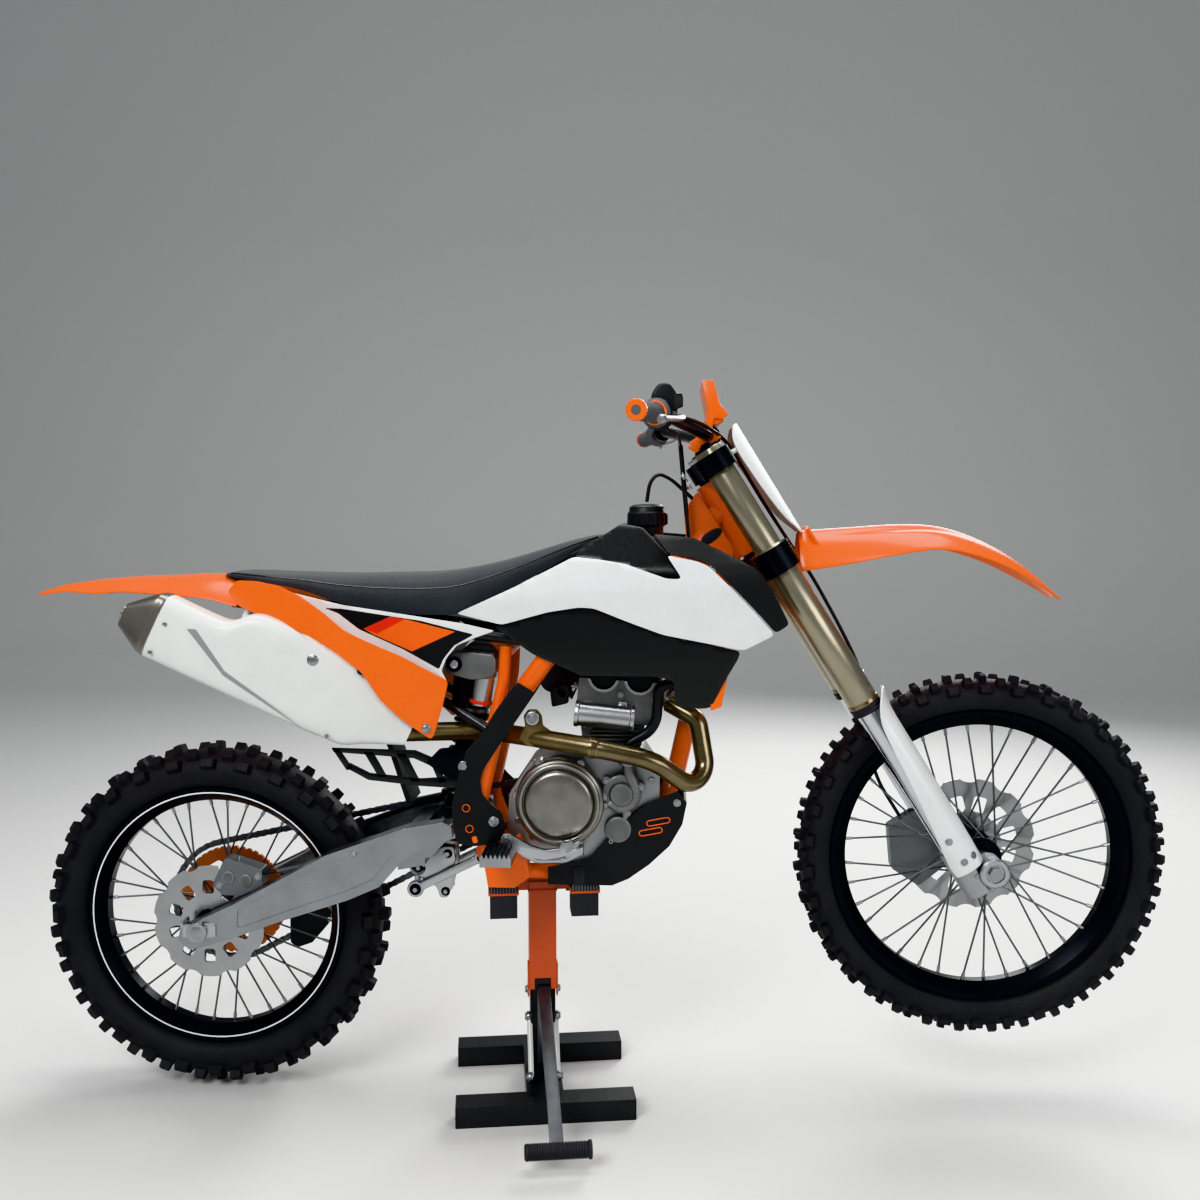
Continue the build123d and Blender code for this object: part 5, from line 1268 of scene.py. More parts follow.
# ------------------------------------------------------------------ fork and controls
@dataclass
class Fork:
    """The upside-down fork with its clamps, guards and axle lugs, placed along and ahead of the legs."""

    seal: float = 382.0
    clamp_top: float = 715.0
    top: float = 926.0
    guard_radius: float = 36.5
    flare: float = 334.0
    guard_back: Sequence[Point] = ((28, 132), (48, 136), (125, 118), (230, 100), (334, 84), (370, 60),
                                   (393, 26))
    guard_front: Sequence[Point] = ((28, 18), (60, -24), (200, -40), (334, -34), (393, -14))

    def leg(self, low: float, high: float, profile: Sequence[Point], y: float, steps: int = 56) -> Mesh:
        """Turns a profile about a leg between two places along it."""
        return turned(profile, fork_spot(low, LEG_O, y), fork_spot(high, LEG_O, y), steps)

    def tubes(self) -> None:
        """Builds the outer tubes, their caps and the dust seals."""
        length, step = self.top - self.seal, self.clamp_top - self.seal
        tube_profile = [(24.4, 0.4), (28.2, 0.4), (29, 1.6), (29, step - 1), (28.4, step), (26, step + 3),
                        (26, length - 1.5), (25, length), (0, length)]
        seal_profile = [(24.3, 0), (27.5, 0), (29.4, 2), (29.6, 5), (28.6, 6), (28.6, 9), (29.8, 10),
                        (29.8, 15), (24.3, 15)]
        ring_profile = [(28.6, 0), (29.7, 0.6), (29.7, 6.4), (28.6, 7)]
        cap_profile = [(0, 0), (24, 0), (24.6, 1), (24.6, 4), (23, 5.5), (12, 6), (11.5, 9), (0, 9)]
        outers, caps, seals, rings = [], [], [], []
        for y in (-LEG_Y, LEG_Y):
            outers.append(self.leg(self.seal, self.top, tube_profile, y))
            seals.append(self.leg(self.seal - 15, self.seal, seal_profile, y))
            rings.append(self.leg(self.seal + 2, self.seal + 9, ring_profile, y))
            caps.append(self.leg(self.top, self.top + 9, cap_profile, y))
            caps.append(rod(fork_spot(self.top + 6, LEG_O, y), fork_spot(self.top + 12, LEG_O, y), 9, 0.8, 6))
        dress(outers, "fork_outer_tubes", CHAMPAGNE_ANODISE, "fork_outers", body=Body.STEERING)
        dress(caps, "fork_top_caps", BLACK_ANODISE, body=Body.STEERING)
        dress(seals, "fork_dust_seals", SOFT_RUBBER, body=Body.STEERING)
        dress(rings, "fork_seal_rings", BRONZED_STEEL, body=Body.STEERING)
        paint_node("fork_inners", HARD_CHROME)

    def guards(self) -> None:
        """Builds the moulded guards that wrap the sliding tubes from the front."""
        shells = []
        for side in SIDES:
            def place(u: float, v: float, side: int = side) -> Point3:
                """Gives a place on the guard for u up the leg and v round it from front to back."""
                s = reach_along(self.guard_back, u)
                front, back = along(self.guard_front, s), along(self.guard_back, s)
                turn = math.radians(front + v * (back - front))
                tip = max(0.0, (s - self.flare) / (self.guard_back[-1][0] - self.flare))
                radius = self.guard_radius + 9.0 * tip * tip
                ridge = 1.6 * math.exp(-((v - 0.32) / 0.09) ** 2)
                point = fork_spot(s, LEG_O + (radius + ridge) * math.cos(turn), 0.0)
                y = side * (LEG_Y + (radius + ridge) * math.sin(turn))
                return (point.x - REAR_AXLE.x) / MM, y, point.z / MM

            shells.append(skin(place, 46, 22, 3.0, 0.8))
        dress(shells, "fork_guard_shells", WHITE_PLASTIC, "fork_guards", 50, body=Body.STEERING)
        bolts = []
        for side in SIDES:
            for s, turn in ((50, 88), (50, 52), (96, 95)):
                out = Vector((0, side * math.sin(math.radians(turn)), 0))
                out += FORK_AHEAD * math.cos(math.radians(turn))
                base = fork_spot(s, LEG_O, side * LEG_Y) + out * ((self.guard_radius + 0.4) * MM)
                bolts.append(bolt(base, out, 4.5, 2.6))
        dress(bolts, "fork_guard_bolts", ZINC_BOLT, body=Body.STEERING)

    def clamps(self) -> None:
        """Paints the clamps and adds their pinch bolts and the stem's nut."""
        paint_node("clamps", BLACK_ANODISE)
        bolts = []
        for side in SIDES:
            for s in (889, 907):
                bolts.append(bolt(fork_spot(s, -98, side * 84), -FORK_AHEAD, 6.0, 5.0))
            for s in (678, 691, 704):
                bolts.append(bolt(fork_spot(s, -92, side * 84), -FORK_AHEAD, 5.5, 4.5))
        nut = turned([(0, 0), (19, 0), (19.5, 1), (19.5, 8), (18, 10), (9, 10), (8, 6), (0, 6)],
                     fork_spot(916, STEER_O, 0), fork_spot(926, STEER_O, 0), 6)
        dress(bolts, "clamp_bolts", ZINC_BOLT, body=Body.STEERING)
        dress(nut, "stem_nut", MACHINED_ALUMINIUM, body=Body.STEERING)

    def feet(self) -> None:
        """Paints the axle lugs and adds their pinch bolts and the axle's nut."""
        paint_node("axle_lugs", CAST_ALUMINIUM)
        paint_node("front_calliper", DARK_CASTING)
        bolts, castings = [], []
        axle = fork_spot(0, 0, 0)
        for side in SIDES:
            out = outward(side)
            face = axle + out * 0.131
            castings.append(turned([(0, 0), (26, 0), (27, 1.5), (27, 7), (24, 10), (17, 10), (16, 7), (0, 7)],
                                   face - out * 0.004, face + out * 0.006, 40))
            bolts.append(rod(face, face + out * 0.011, 13, 1.2, 6))
            for ahead, up in ((-18, -22), (8, -30), (-30, 12), (-30, 30)):
                point = axle + FORK_AHEAD * (ahead * MM) + FORK_UP * (up * MM) + out * 0.129
                bolts.append(bolt(point, out, 4.5, 5.0))
        dress(castings, "axle_clamp_faces", MACHINED_ALUMINIUM, body=Body.STEERING)
        dress(bolts, "axle_lug_bolts", ZINC_BOLT, body=Body.STEERING)

    def build(self) -> None:
        """Builds the fork."""
        self.tubes()
        self.guards()
        self.clamps()
        self.feet()
        for hose in ("brake_hose", "bar_cables", "breather_hose", "coolant_hoses"):
            paint_node(hose, HOSE_RUBBER)


@dataclass
class Controls:
    """The handlebar with its pad, grips, throttle, levers and mounts."""

    bar_end: Point3 = (836.0, -396.0, 1300.0)
    bar_bend: Point3 = (880.0, -225.0, 1306.0)
    grip: float = 118.0
    rib_pitch: float = 5.0

    def side_line(self, side: Side) -> tuple[Vector, Vector]:
        """Gives a bar end and the way from it towards the middle."""
        x, y, z = self.bar_end
        bx, by, bz = self.bar_bend
        end = spot(x, -side.value * y, z)
        bend = spot(bx, -side.value * by, bz)
        return end, (bend - end).normalized()

    def grips(self) -> None:
        """Builds the ribbed grips with their orange rings."""
        rubber, rings = [], []
        for side in Side:
            end, way = self.side_line(side)
            profile: list[Point] = [(0, -5), (14.5, -5), (16.2, -3.5)]
            at = 2.0
            while at < self.grip - 14:
                profile += [(16.6, at), (16.6, at + 2.6), (15.4, at + 3.2), (15.4, at + 4.4)]
                at += self.rib_pitch
            profile += [(16.6, self.grip - 11), (24.4, self.grip - 5), (25, self.grip - 3), (24.6, self.grip),
                        (11.5, self.grip)]
            rubber.append(turned(profile, end, end + way * 0.1, 44))
            rings.append(turned([(8, -5.6), (16.4, -5.6), (17.4, -4.4), (17.4, -0.6), (16.4, 0.4), (8, 0.4)],
                                end, end + way * 0.1, 44))
            rings.append(turned([(17.2, self.grip - 10.6), (20.4, self.grip - 8.4), (20.2, self.grip - 9.8),
                                 (18, self.grip - 11.4)], end, end + way * 0.1, 44))
        dress(rubber, "grip_rubbers", GREY_RUBBER, "grips", 40, body=Body.STEERING)
        dress(rings, "grip_rings", ORANGE_PLASTIC, body=Body.STEERING)

    def throttle(self, end: Vector, way: Vector) -> tuple[list[Mesh], Mesh]:
        """Builds the throttle housing with its cable hump, and the master cylinder.

        Args:
            end: The bar's right end.
            way: The direction from it towards the middle.

        Returns:
            The moulded pieces, and the master cylinder's metal lid.
        """
        def at(distance: float, ahead: float, up: float) -> Vector:
            """Gives a place beside the bar's centre line."""
            return end + way * (distance * MM) + Vector((ahead * MM, 0, up * MM))

        profile = [(11.4, 119), (24, 119), (26.6, 121.5), (27, 124), (27, 131), (25.6, 132), (25.6, 133),
                   (27, 134), (27, 143), (25.5, 146), (22, 147), (11.4, 147)]
        barrel = turned(profile, end, end + way * 0.1, 44)
        elbow = rod(at(133, 0, -20), at(140, 14, -30), 6.5, 1.0)
        hump = rounded([(-22, 0), (-20, 28), (-8, 46), (10, 46), (22, 30), (25, 0)], 7, 4)
        cover = prism(hump, -13, 13, Matrix.Translation(at(134, 8, 4)), 5.0, 4)
        home = Matrix.Translation(at(160, 15, 20)) @ Matrix.Rotation(math.radians(14), 4, "Z")
        cylinder = cuboid((31, 42, 20), home, 3.0, 3, 30)
        lid = cuboid((28, 39, 4), Matrix.Translation((0, 0, 0.011)) @ home, 1.0, 2, 30)
        return [barrel, elbow, cover, cylinder], lid

    def lever(self, side: int) -> list[Mesh]:
        """Builds a side's flattened lever with its pivot bolt and ball end."""
        route = [spot(900.5, side * 241, 1301), spot(909, side * 262, 1299), spot(909.5, side * 292, 1296),
                 spot(904, side * 326, 1291), spot(888, side * 364, 1288), spot(875, side * 394, 1286)]
        blade = tube(route, 5.4, sides=4)
        bmesh.ops.scale(blade, vec=(1, 1, 0.86), space=Matrix.Translation(-spot(895, 0, 1293)),
                        verts=blade.verts[:])
        ball = turned([(0, -7), (6, -6), (8, -2), (8, 3), (5, 7), (0, 8)], route[-1], route[-2], 20)
        return [blade, bolt(spot(899, side * 240, 1307), UP, 5, 4), ball]

    def perches(self) -> None:
        """Builds the throttle housing, the master cylinder, the clutch perch and the levers."""
        housing, metal, blades = [], [], []
        for side in Side:
            end, way = self.side_line(side)
            if side is Side.RIGHT:
                housing, lid = self.throttle(end, way)
                metal.append(lid)
            metal.append(turned([(11.4, 149), (17, 149), (18, 150.5), (18, 168.5), (17, 170), (11.4, 170)],
                                end, end + way * 0.1, 32))
            blades += self.lever(side.value)
        dress(housing, "throttle_housing", BLACK_PLASTIC, "controls", 40, body=Body.STEERING)
        dress(metal, "lever_perches", BLACK_ANODISE, body=Body.STEERING)
        dress(blades, "lever_blades", MACHINED_ALUMINIUM, body=Body.STEERING)

    def pad(self) -> None:
        """Builds the bar pad, a foam block in a moulded orange cover."""
        outline = rounded([(947, 1379), (968, 1379), (981, 1335), (992, 1326), (985, 1306), (976, 1299.8),
                           (955, 1299.8), (958, 1325)], 4.0, 3)
        horn = rounded([(947, 1379), (968, 1379), (981, 1333), (997, 1317), (984, 1309), (969, 1311),
                        (967, 1292), (984, 1276), (943, 1254), (924, 1266), (955, 1289), (958, 1325)], 3.0, 3)
        parts = [prism(outline, -75, 75, None, 5.0, 4)]
        parts += [prism(horn, *span(side, 74, 80), None, 1.4) for side in SIDES]
        dress(parts, "bar_pad_cover", ORANGE_PLASTIC, "bar_pad", 50, body=Body.STEERING)
        sleeves = [tube([spot(909, y, 1262), spot(915, y, 1200), spot(921, y, 1137)], 4.2)
                   for y in (-60, -69)]
        dress(sleeves, "cable_sleeves", HOSE_RUBBER, body=Body.STEERING)

    def build(self) -> None:
        """Builds everything at the bar."""
        paint_node("handlebar", BLACK_COAT)
        self.grips()
        self.perches()
        self.pad()


# ------------------------------------------------------------------ engine and exhaust
def node_half(node: str, cut: Vector, keep: Vector) -> Mesh:
    """Copies a CAD node's mesh, merges it and keeps what lies beyond a plane.

    Args:
        node: The node's name.
        cut: A point on the plane.
        keep: The direction of the part that is kept.

    Returns:
        The half, closed at its cut.
    """
    bm = bmesh.new()
    bm.from_mesh(frame["nodes"][node].data)
    bm.transform(frame["nodes"][node].matrix_world)
    bmesh.ops.remove_doubles(bm, verts=bm.verts[:], dist=1e-6)
    found = bmesh.ops.bisect_plane(bm, geom=bm.verts[:] + bm.edges[:] + bm.faces[:], plane_co=cut,
                                   plane_no=keep, clear_inner=True)
    rim = [edge for edge in found["geom_cut"] if isinstance(edge, bmesh.types.BMEdge)]
    bmesh.ops.contextual_create(bm, geom=rim)
    bmesh.ops.recalc_face_normals(bm, faces=bm.faces[:])
    return bm


@dataclass
class Engine:
    """The castings' covers, fins, bolts, hoses and fittings, placed in the millimetres that spot takes."""

    clutch: Point = (688.0, 602.0)
    pump: Point = (803.0, 618.0)
    ignition: Point = (740.0, 600.0)
    case_y: float = -80.0
    left_y: float = 38.0
    filter_cap: Point = (796.0, 548.0)

    def side_bolt(self, x: float, z: float, y: float, radius: float = 4.6, height: float = 4.0) -> Mesh:
        """Sets a socket bolt on a side face."""
        out = Vector((0, 1 if y > 0 else -1, 0))
        return bolt(spot(x, y, z), out, radius, height, False, True)

    def tab(self, centre: Point, reach: float, turn: float, depth: float) -> tuple[Mesh, Point]:
        """Makes a bolt tab on a cover's rim."""
        x, z = swing(centre, reach, turn)
        boss = rod(spot(x, self.case_y + 2, z), spot(x, self.case_y - depth, z), 8.2, 1.2, 20)
        return boss, (x, z)

    def clutch_cover(self) -> None:
        """Builds the clutch cover: a stepped rim, a shallow dome and its bolt tabs."""
        x, z = self.clutch
        start, end = spot(x, self.case_y, z), spot(x, self.case_y - 1, z)
        dome = [(0, 49.6), (40, 49.5), (55, 49.2), (59.5, 47.8), (63.4, 43.6), (65, 39.6), (66.6, 38.2),
                (67.6, 38.2)]
        rim = [(68.6, 41.6), (70, 42.6), (73, 42.6), (74.6, 41.6), (75.4, 38), (77.4, 36.2), (79.6, 35.2),
               (82, 32.4), (82.6, 30), (82.6, 0), (0, 0)]
        parts = [turned(dome + rim, start, end, 96)]
        bolts = []
        for turn in (8, 62, 118, 172, 232, 304):
            boss, (bx, bz) = self.tab(self.clutch, 82.0, turn, 27.0)
            parts.append(boss)
            bolts.append(self.side_bolt(bx, bz, self.case_y - 27.0))
        dress(parts, "clutch_cover_shell", POLISHED_COVER, "engine_covers", 30)
        inner = self.water_pump(bolts)
        inner += self.ignition_cover(bolts)
        dress(inner, "side_covers", CAST_ALUMINIUM)
        for place in ((730, 762), (864, 790), (800, 800)):
            bolts += [self.side_bolt(*place, -80.2), self.side_bolt(*place, 80.2)]
        for place in ((606, 560), (600, 612), (640, 672), (760, 508), (790, 520), (846, 566), (858, 640),
                      (826, 690)):
            bolts += [self.side_bolt(*place, -78.3, 5.2, 3.4), self.side_bolt(*place, 38.3, 5.2, 3.4)]
        dress(bolts, "engine_bolts", ZINC_BOLT)

    def water_pump(self, bolts: list[Mesh]) -> list[Mesh]:
        """Builds the pump cover with its scroll and neck, and the filter cap below it."""
        x, z = self.pump
        start, end = spot(x, self.case_y, z), spot(x, self.case_y - 1, z)
        disc = turned([(0, 32.6), (14, 32.4), (20, 31), (23, 27.4), (24, 24.6), (33, 24.2), (35.6, 22.6),
                       (36.6, 20), (36.6, 0), (0, 0)], start, end, 64)
        scroll = tube([spot(x - 22, -96, z - 14), spot(x - 6, -97, z - 30), spot(x + 22, -97, z - 18),
                       spot(x + 26, -97, z + 14), spot(x + 10, -97, z + 44), spot(815, -96, 700)], 12.2)
        neck = turned([(12, 0), (14.4, 0), (15, 1), (15, 6), (14, 7), (14, 12), (12, 12)],
                      spot(811.8, -96, 672), spot(815, -96, 700), 32)
        parts = [disc, scroll, neck]
        for turn in (20, 140, 215, 285):
            boss, (bx, bz) = self.tab(self.pump, 37.0, turn, 21.0)
            parts.append(boss)
            bolts.append(self.side_bolt(bx, bz, self.case_y - 21.0))
        x, z = self.filter_cap
        parts.append(turned([(0, 17), (20, 17), (24, 15.4), (26, 12), (26, 0), (0, 0)], spot(x, -78, z),
                            spot(x, -79, z), 48))
        for turn in (60, 240):
            boss_x, boss_z = swing(self.filter_cap, 27, turn)
            parts.append(rod(spot(boss_x, -77, boss_z), spot(boss_x, -89, boss_z), 7, 1.0, 16))
            bolts.append(self.side_bolt(boss_x, boss_z, -89, 4.2, 3.6))
        return parts

    def ignition_cover(self, bolts: list[Mesh]) -> list[Mesh]:
        """Builds the ignition cover on the left with its ribs."""
        x, z = self.ignition
        start, end = spot(x, self.left_y, z), spot(x, self.left_y + 1, z)
        parts = [turned([(0, 49.6), (30, 49.4), (42, 48.6), (46, 46), (47.6, 41), (56, 40), (58.6, 38),
                         (60, 31), (68, 30), (70.6, 28), (70.6, 0), (0, 0)], start, end, 80)]
        for turn in range(0, 360, 60):
            bx, bz = swing(self.ignition, 70, turn + 20)
            parts.append(rod(spot(bx, 37, bz), spot(bx, 60, bz), 8, 1.0, 20))
            bolts.append(self.side_bolt(bx, bz, 60))
            home = Matrix.Translation(spot(x, 0, z)) @ Matrix.Rotation(-math.radians(turn + 20), 4, "Y")
            parts.append(prism([(-2, 44), (2, 44), (2, 68), (-2, 68)], 66, 72.5, home, 0.8))
        return parts

    def starter(self) -> None:
        """Adds the starter's sleeve and brackets, the coolant elbow and the barrel's fins."""
        sleeve = turned([(0, 0), (21, 0), (24, 1), (24.6, 2.4), (24.6, 7), (23.4, 8), (22.6, 8.6),
                         (22.6, 102), (23.4, 103), (24.6, 104), (24.6, 109), (23.6, 110.4), (17, 111),
                         (0, 111)], spot(716, -98, 769), spot(826, -98, 758), 48)
        brackets = [prism(rounded([(x, 736), (x, 788), (x + 17, 788), (x + 17, 736)], 4), -88, -74, None, 1.5)
                    for x in (732, 796)]
        elbow = turned([(0, 0), (15, 0), (15.8, 1), (15.8, 9), (13, 10.5), (13, 28), (14, 29), (14, 32),
                        (12, 33), (0, 33)], spot(880, -62, 800), spot(905, -78, 812), 32)
        dress([sleeve, *brackets, elbow], "starter_sleeve", MACHINED_ALUMINIUM)
        fins = [prism(rounded([(740, z), (740, z + 3), (832, z + 3), (832, z)], 1.2, 2), -60, -50, None, 0.6)
                for z in range(703, 751, 8)]
        dress(fins, "barrel_fins", CAST_ALUMINIUM)

    def intake(self) -> None:
        """Adds the ribbed boot behind the throttle body, and the body itself."""
        boot = turned([(26, 0), (29.6, 0), (30, 1), (30, 12), (27.4, 13), (27, 20), (29, 24), (27, 28),
                       (29, 32), (27, 36), (29, 40), (27.5, 46), (26, 60), (0, 60), (0, 0)],
                      spot(716, -4, 806), spot(650, -4, 836), 40)
        barrel = rod(spot(668, -30, 820), spot(668, 34, 820), 24, 3, 36)
        sensor = rod(spot(690, -46, 800), spot(690, -20, 800), 13, 2, 24)
        box = prism(rounded([(668, 770), (664, 806), (694, 812), (700, 778)], 5), -46, -26, None, 2.5)
        dress([boot, barrel, sensor, box], "intake_boot", SOFT_RUBBER)

    def hose_clips(self) -> None:
        """Adds the screw clips on the intake boot and the coolant hoses."""
        clips = []
        places = ((spot(714, -4, 807), spot(706, -4, 811), 30.4),
                  (spot(812.6, -96, 679), spot(813.6, -96, 687), 15.6),
                  (spot(916, -100, 825), spot(908, -100, 825), 10.2),
                  (spot(815.4, -96, 701), spot(815.9, -96, 707), 10.4))
        for start, end, radius in places:
            profile = [(radius - 1.4, 0), (radius, 0), (radius + 0.7, 0.5), (radius + 0.7, 7),
                       (radius, 7.5), (radius - 1.4, 7.5)]
            clips.append(turned(profile, start, end, 36))
            screw = (start + end) / 2 + Vector((0, -(radius + 2.6) * MM, 0))
            head, tip = screw + Vector((-0.006, 0, 0.001)), screw + Vector((0.008, 0, -0.001))
            clips.append(rod(head, tip, 3, 0.5, 12))
        dress(clips, "hose_clips", STAINLESS)

    def top_end(self) -> None:
        """Builds what sits on and behind the barrel and the head."""
        self.starter()
        self.intake()
        self.hose_clips()
        paint_node("valve_cover", BLACK_PLASTIC)
        bolts = [bolt(spot(x, y, 857.6), UP, 5, 4) for x in (740, 800, 860) for y in (-52, 52)]
        dress(bolts, "valve_cover_bolts", ZINC_BOLT)

    def build(self) -> None:
        """Builds the engine's pieces and paints its castings."""
        paint_node("engine", CAST_ALUMINIUM)
        self.clutch_cover()
        self.top_end()


@dataclass
class Exhaust:
    """The header pipe, its collar and hanger, and the silencer, in millimetres."""

    front: Point3 = (310.0, -113.0, 764.0)
    rear: Point3 = (-48.0, -150.0, 936.0)
    wide: float = 74.0
    high: float = 120.0

    def section(self) -> Matrix:
        """Gives the silencer's own frame: Y back along it, X across it and Z up it."""
        line = (spot(*self.rear) - spot(*self.front)).normalized()
        across = line.cross(UP).normalized()
        up = across.cross(line)
        turn = Matrix((across, line, up)).transposed().to_4x4()
        return Matrix.Translation(spot(*self.front)) @ turn

    def header(self) -> None:
        """Splits the pipe at its collar and gives each stretch its temper colour."""
        cut = spot(752, -136, 712)
        ahead = Vector((1, 0, -0.12)).normalized()
        dress(node_half("header_pipe", cut, ahead), "header_front", BRONZED_STEEL, "header_pipe", 50)
        dress(node_half("header_pipe", cut, -ahead), "header_rear", OLIVE_STEEL, sharp=50)
        lips = [(17, -9), (18.6, -9), (19.2, -8), (19.2, -2), (20.4, -1), (20.4, 2), (19.2, 3), (19.2, 9),
                (18.6, 10), (17, 10)]
        collar = [turned(lips, cut, cut + ahead, 48)]
        flange = [(0, 0), (24, 0), (25, 1), (25, 7), (22, 9), (0, 9)]
        collar.append(turned(flange, spot(880, -30, 789), spot(899, -39, 774), 36))
        dress(collar, "header_collar", BRONZED_STEEL)
        plate = prism(rounded([(612, 722), (624, 745), (621, 764), (630, 776), (646, 776), (655, 765),
                               (657, 746), (692, 722), (680, 706), (630, 706)], 4), -106, -101, None, 1.2)
        eye = rod(spot(638, -100, 760), spot(638, -112, 760), 15, 1.5, 32)
        stay = rod(spot(638, -60, 760), spot(638, -101, 760), 8, 1.0, 20)
        dress([plate, eye, stay], "header_hanger", OLIVE_STEEL)
        dress(bolt(spot(638, -112, 760), outward(-1), 8.5, 6.5), "header_hanger_bolt", ZINC_BOLT)

    def band(self, reach: float, long: float, proud: float) -> Mesh:
        """Makes a band round the silencer, a reach back from its front."""
        w, h = self.wide / 2 + proud, self.high / 2 + proud
        return prism(rounded([(-w, -h), (-w, h), (w, h), (w, -h)], 24.0 + proud, 6), reach, reach + long,
                     self.section(), 0.4)

    def shell(self, reaches: Point, tops: Sequence[Point], lows: Sequence[Point],
              widths: Sequence[Point]) -> Mesh:
        """Lofts a rounded box section along the silencer.

        Args:
            reaches: Where the shell starts and ends, behind the silencer's front.
            tops: Its upper edge along the reach.
            lows: Its lower edge along the reach.
            widths: Its half width along the reach.

        Returns:
            The closed shell.
        """
        own = self.section()

        def place(u: float, v: float) -> Point3:
            """Gives a place on the shell for u along it and v round it."""
            reach = reaches[0] + u * (reaches[1] - reaches[0])
            top, low, wide = along(tops, reach), along(lows, reach), along(widths, reach)
            turn = math.tau * v
            x = wide * math.copysign(abs(math.cos(turn)) ** 0.42, math.cos(turn))
            z = (top + low) / 2 + (top - low) / 2 * math.copysign(abs(math.sin(turn)) ** 0.42, math.sin(turn))
            point = own @ (Vector((x, reach, z)) * MM)
            return (point.x - REAR_AXLE.x) / MM, point.y / MM, point.z / MM

        return closed_loft(place, 48, 56)

    def sleeve(self, length: float) -> None:
        """Builds the sleeve with its hanger lug, and the cap behind it."""
        tops = ((-104, 32), (-60, 52), (0, 84), (60, 100), (200, 104), (245, 94), (275, 66), (300, 60),
                (length, 60))
        lows = ((-104, -12), (-40, -38), (10, -60), (length, -60))
        widths = ((-104, 20), (-50, 30), (0, 37), (length, 37))
        body = self.shell((-104, length), tops, lows, widths)
        lug = prism(rounded([(84, 925), (146, 898), (134, 958), (120, 970), (104, 966)], 5), -104, -98, None,
                    1.0)
        dress([body, lug], "silencer_sleeve", WHITE_ENAMEL, "silencer", 34)
        end = length + 58
        cap_tops = ((length, 60), (length + 12, 57), (end, 16))
        cap_lows = ((length, -60), (length + 8, -58), (end, -30))
        cap_widths = ((length, 37), (length + 12, 36), (end, 22))
        cap = self.shell((length + 0.3, end), cap_tops, cap_lows, cap_widths)
        dress(cap, "silencer_cap_shell", TITANIUM_GREY, "silencer_cap", 40)

    def trim(self, length: float) -> None:
        """Lays a grey film along the sleeve's outer face as painted shade where its crease falls, and the band
        round its end.
        """
        def face(x: float, _z: float) -> float:
            """Says how far out the sleeve's outer face lies."""
            return 150.9 + (self.front[0] - x) * 0.1034

        # A thin grey sheet as painted shade along the crease between the sleeve's two faces.
        film = panel([(20, 930), (36, 929), (85, 853), (228, 742), (82, 845)], face, wall=0.6, cell=14.0,
                     edge=0.0)
        dress(film, "silencer_crease_shade", CREASE_SHADE_FILM)
        dress(self.band(length - 4.5, 5.0, 0.9), "silencer_band", TITANIUM_GREY)

    def rivets(self, length: float) -> None:
        """Sets the rivets on both sides and the hanger bolts, which are larger."""
        own = self.section()
        places = ((length - 22, 14, 1.0), (length - 19, -44, 1.0), (30, -50, 1.0), (111, 66, 1.9))
        bolts = []
        for side in SIDES:
            out = own.to_3x3() @ Vector((side, 0, 0))
            for reach, rise, large in places:
                centre = own @ (Vector((side * (self.wide / 2 + 0.2), reach, rise)) * MM)
                bolts.append(bolt(centre, out, 3.8 * large, 2.4, large > 1, True))
        bolts.append(bolt(spot(118, -104, 954), outward(-1), 9.0, 7.0, True, True))
        dress(bolts, "silencer_rivets", STAINLESS)

    def outlet(self, length: float) -> None:
        """Builds the rolled outlet in the cap and, inside it, a dark disc that stands in as painted shade down
        the pipe.
        """
        own = self.section()
        end = own @ (Vector((0, length + 57, -7)) * MM)
        back = own.to_3x3() @ ACROSS
        lip = [(12, -4), (15.4, -4), (16, 0), (16.4, 5), (15.6, 6), (13.6, 6), (12.8, 5), (12.8, 1.6),
               (12, 1.6)]
        dress(turned(lip, end, end + back, 40), "silencer_outlet", STAINLESS)
        # A dark steel disc just inside the lip: painted shade standing in for the depth of the open pipe.
        mouth_shade = turned([(0, 1.9), (12.6, 1.9), (12.6, -3), (0, -3)], end, end + back, 32)
        dress(mouth_shade, "silencer_mouth_shade", DARK_STEEL)

    def silencer(self) -> None:
        """Builds the silencer's pieces."""
        length = (spot(*self.rear) - spot(*self.front)).length / MM
        self.sleeve(length)
        self.trim(length)
        self.rivets(length)
        self.outlet(length)

    def build(self) -> None:
        """Builds the exhaust."""
        self.header()
        self.silencer()


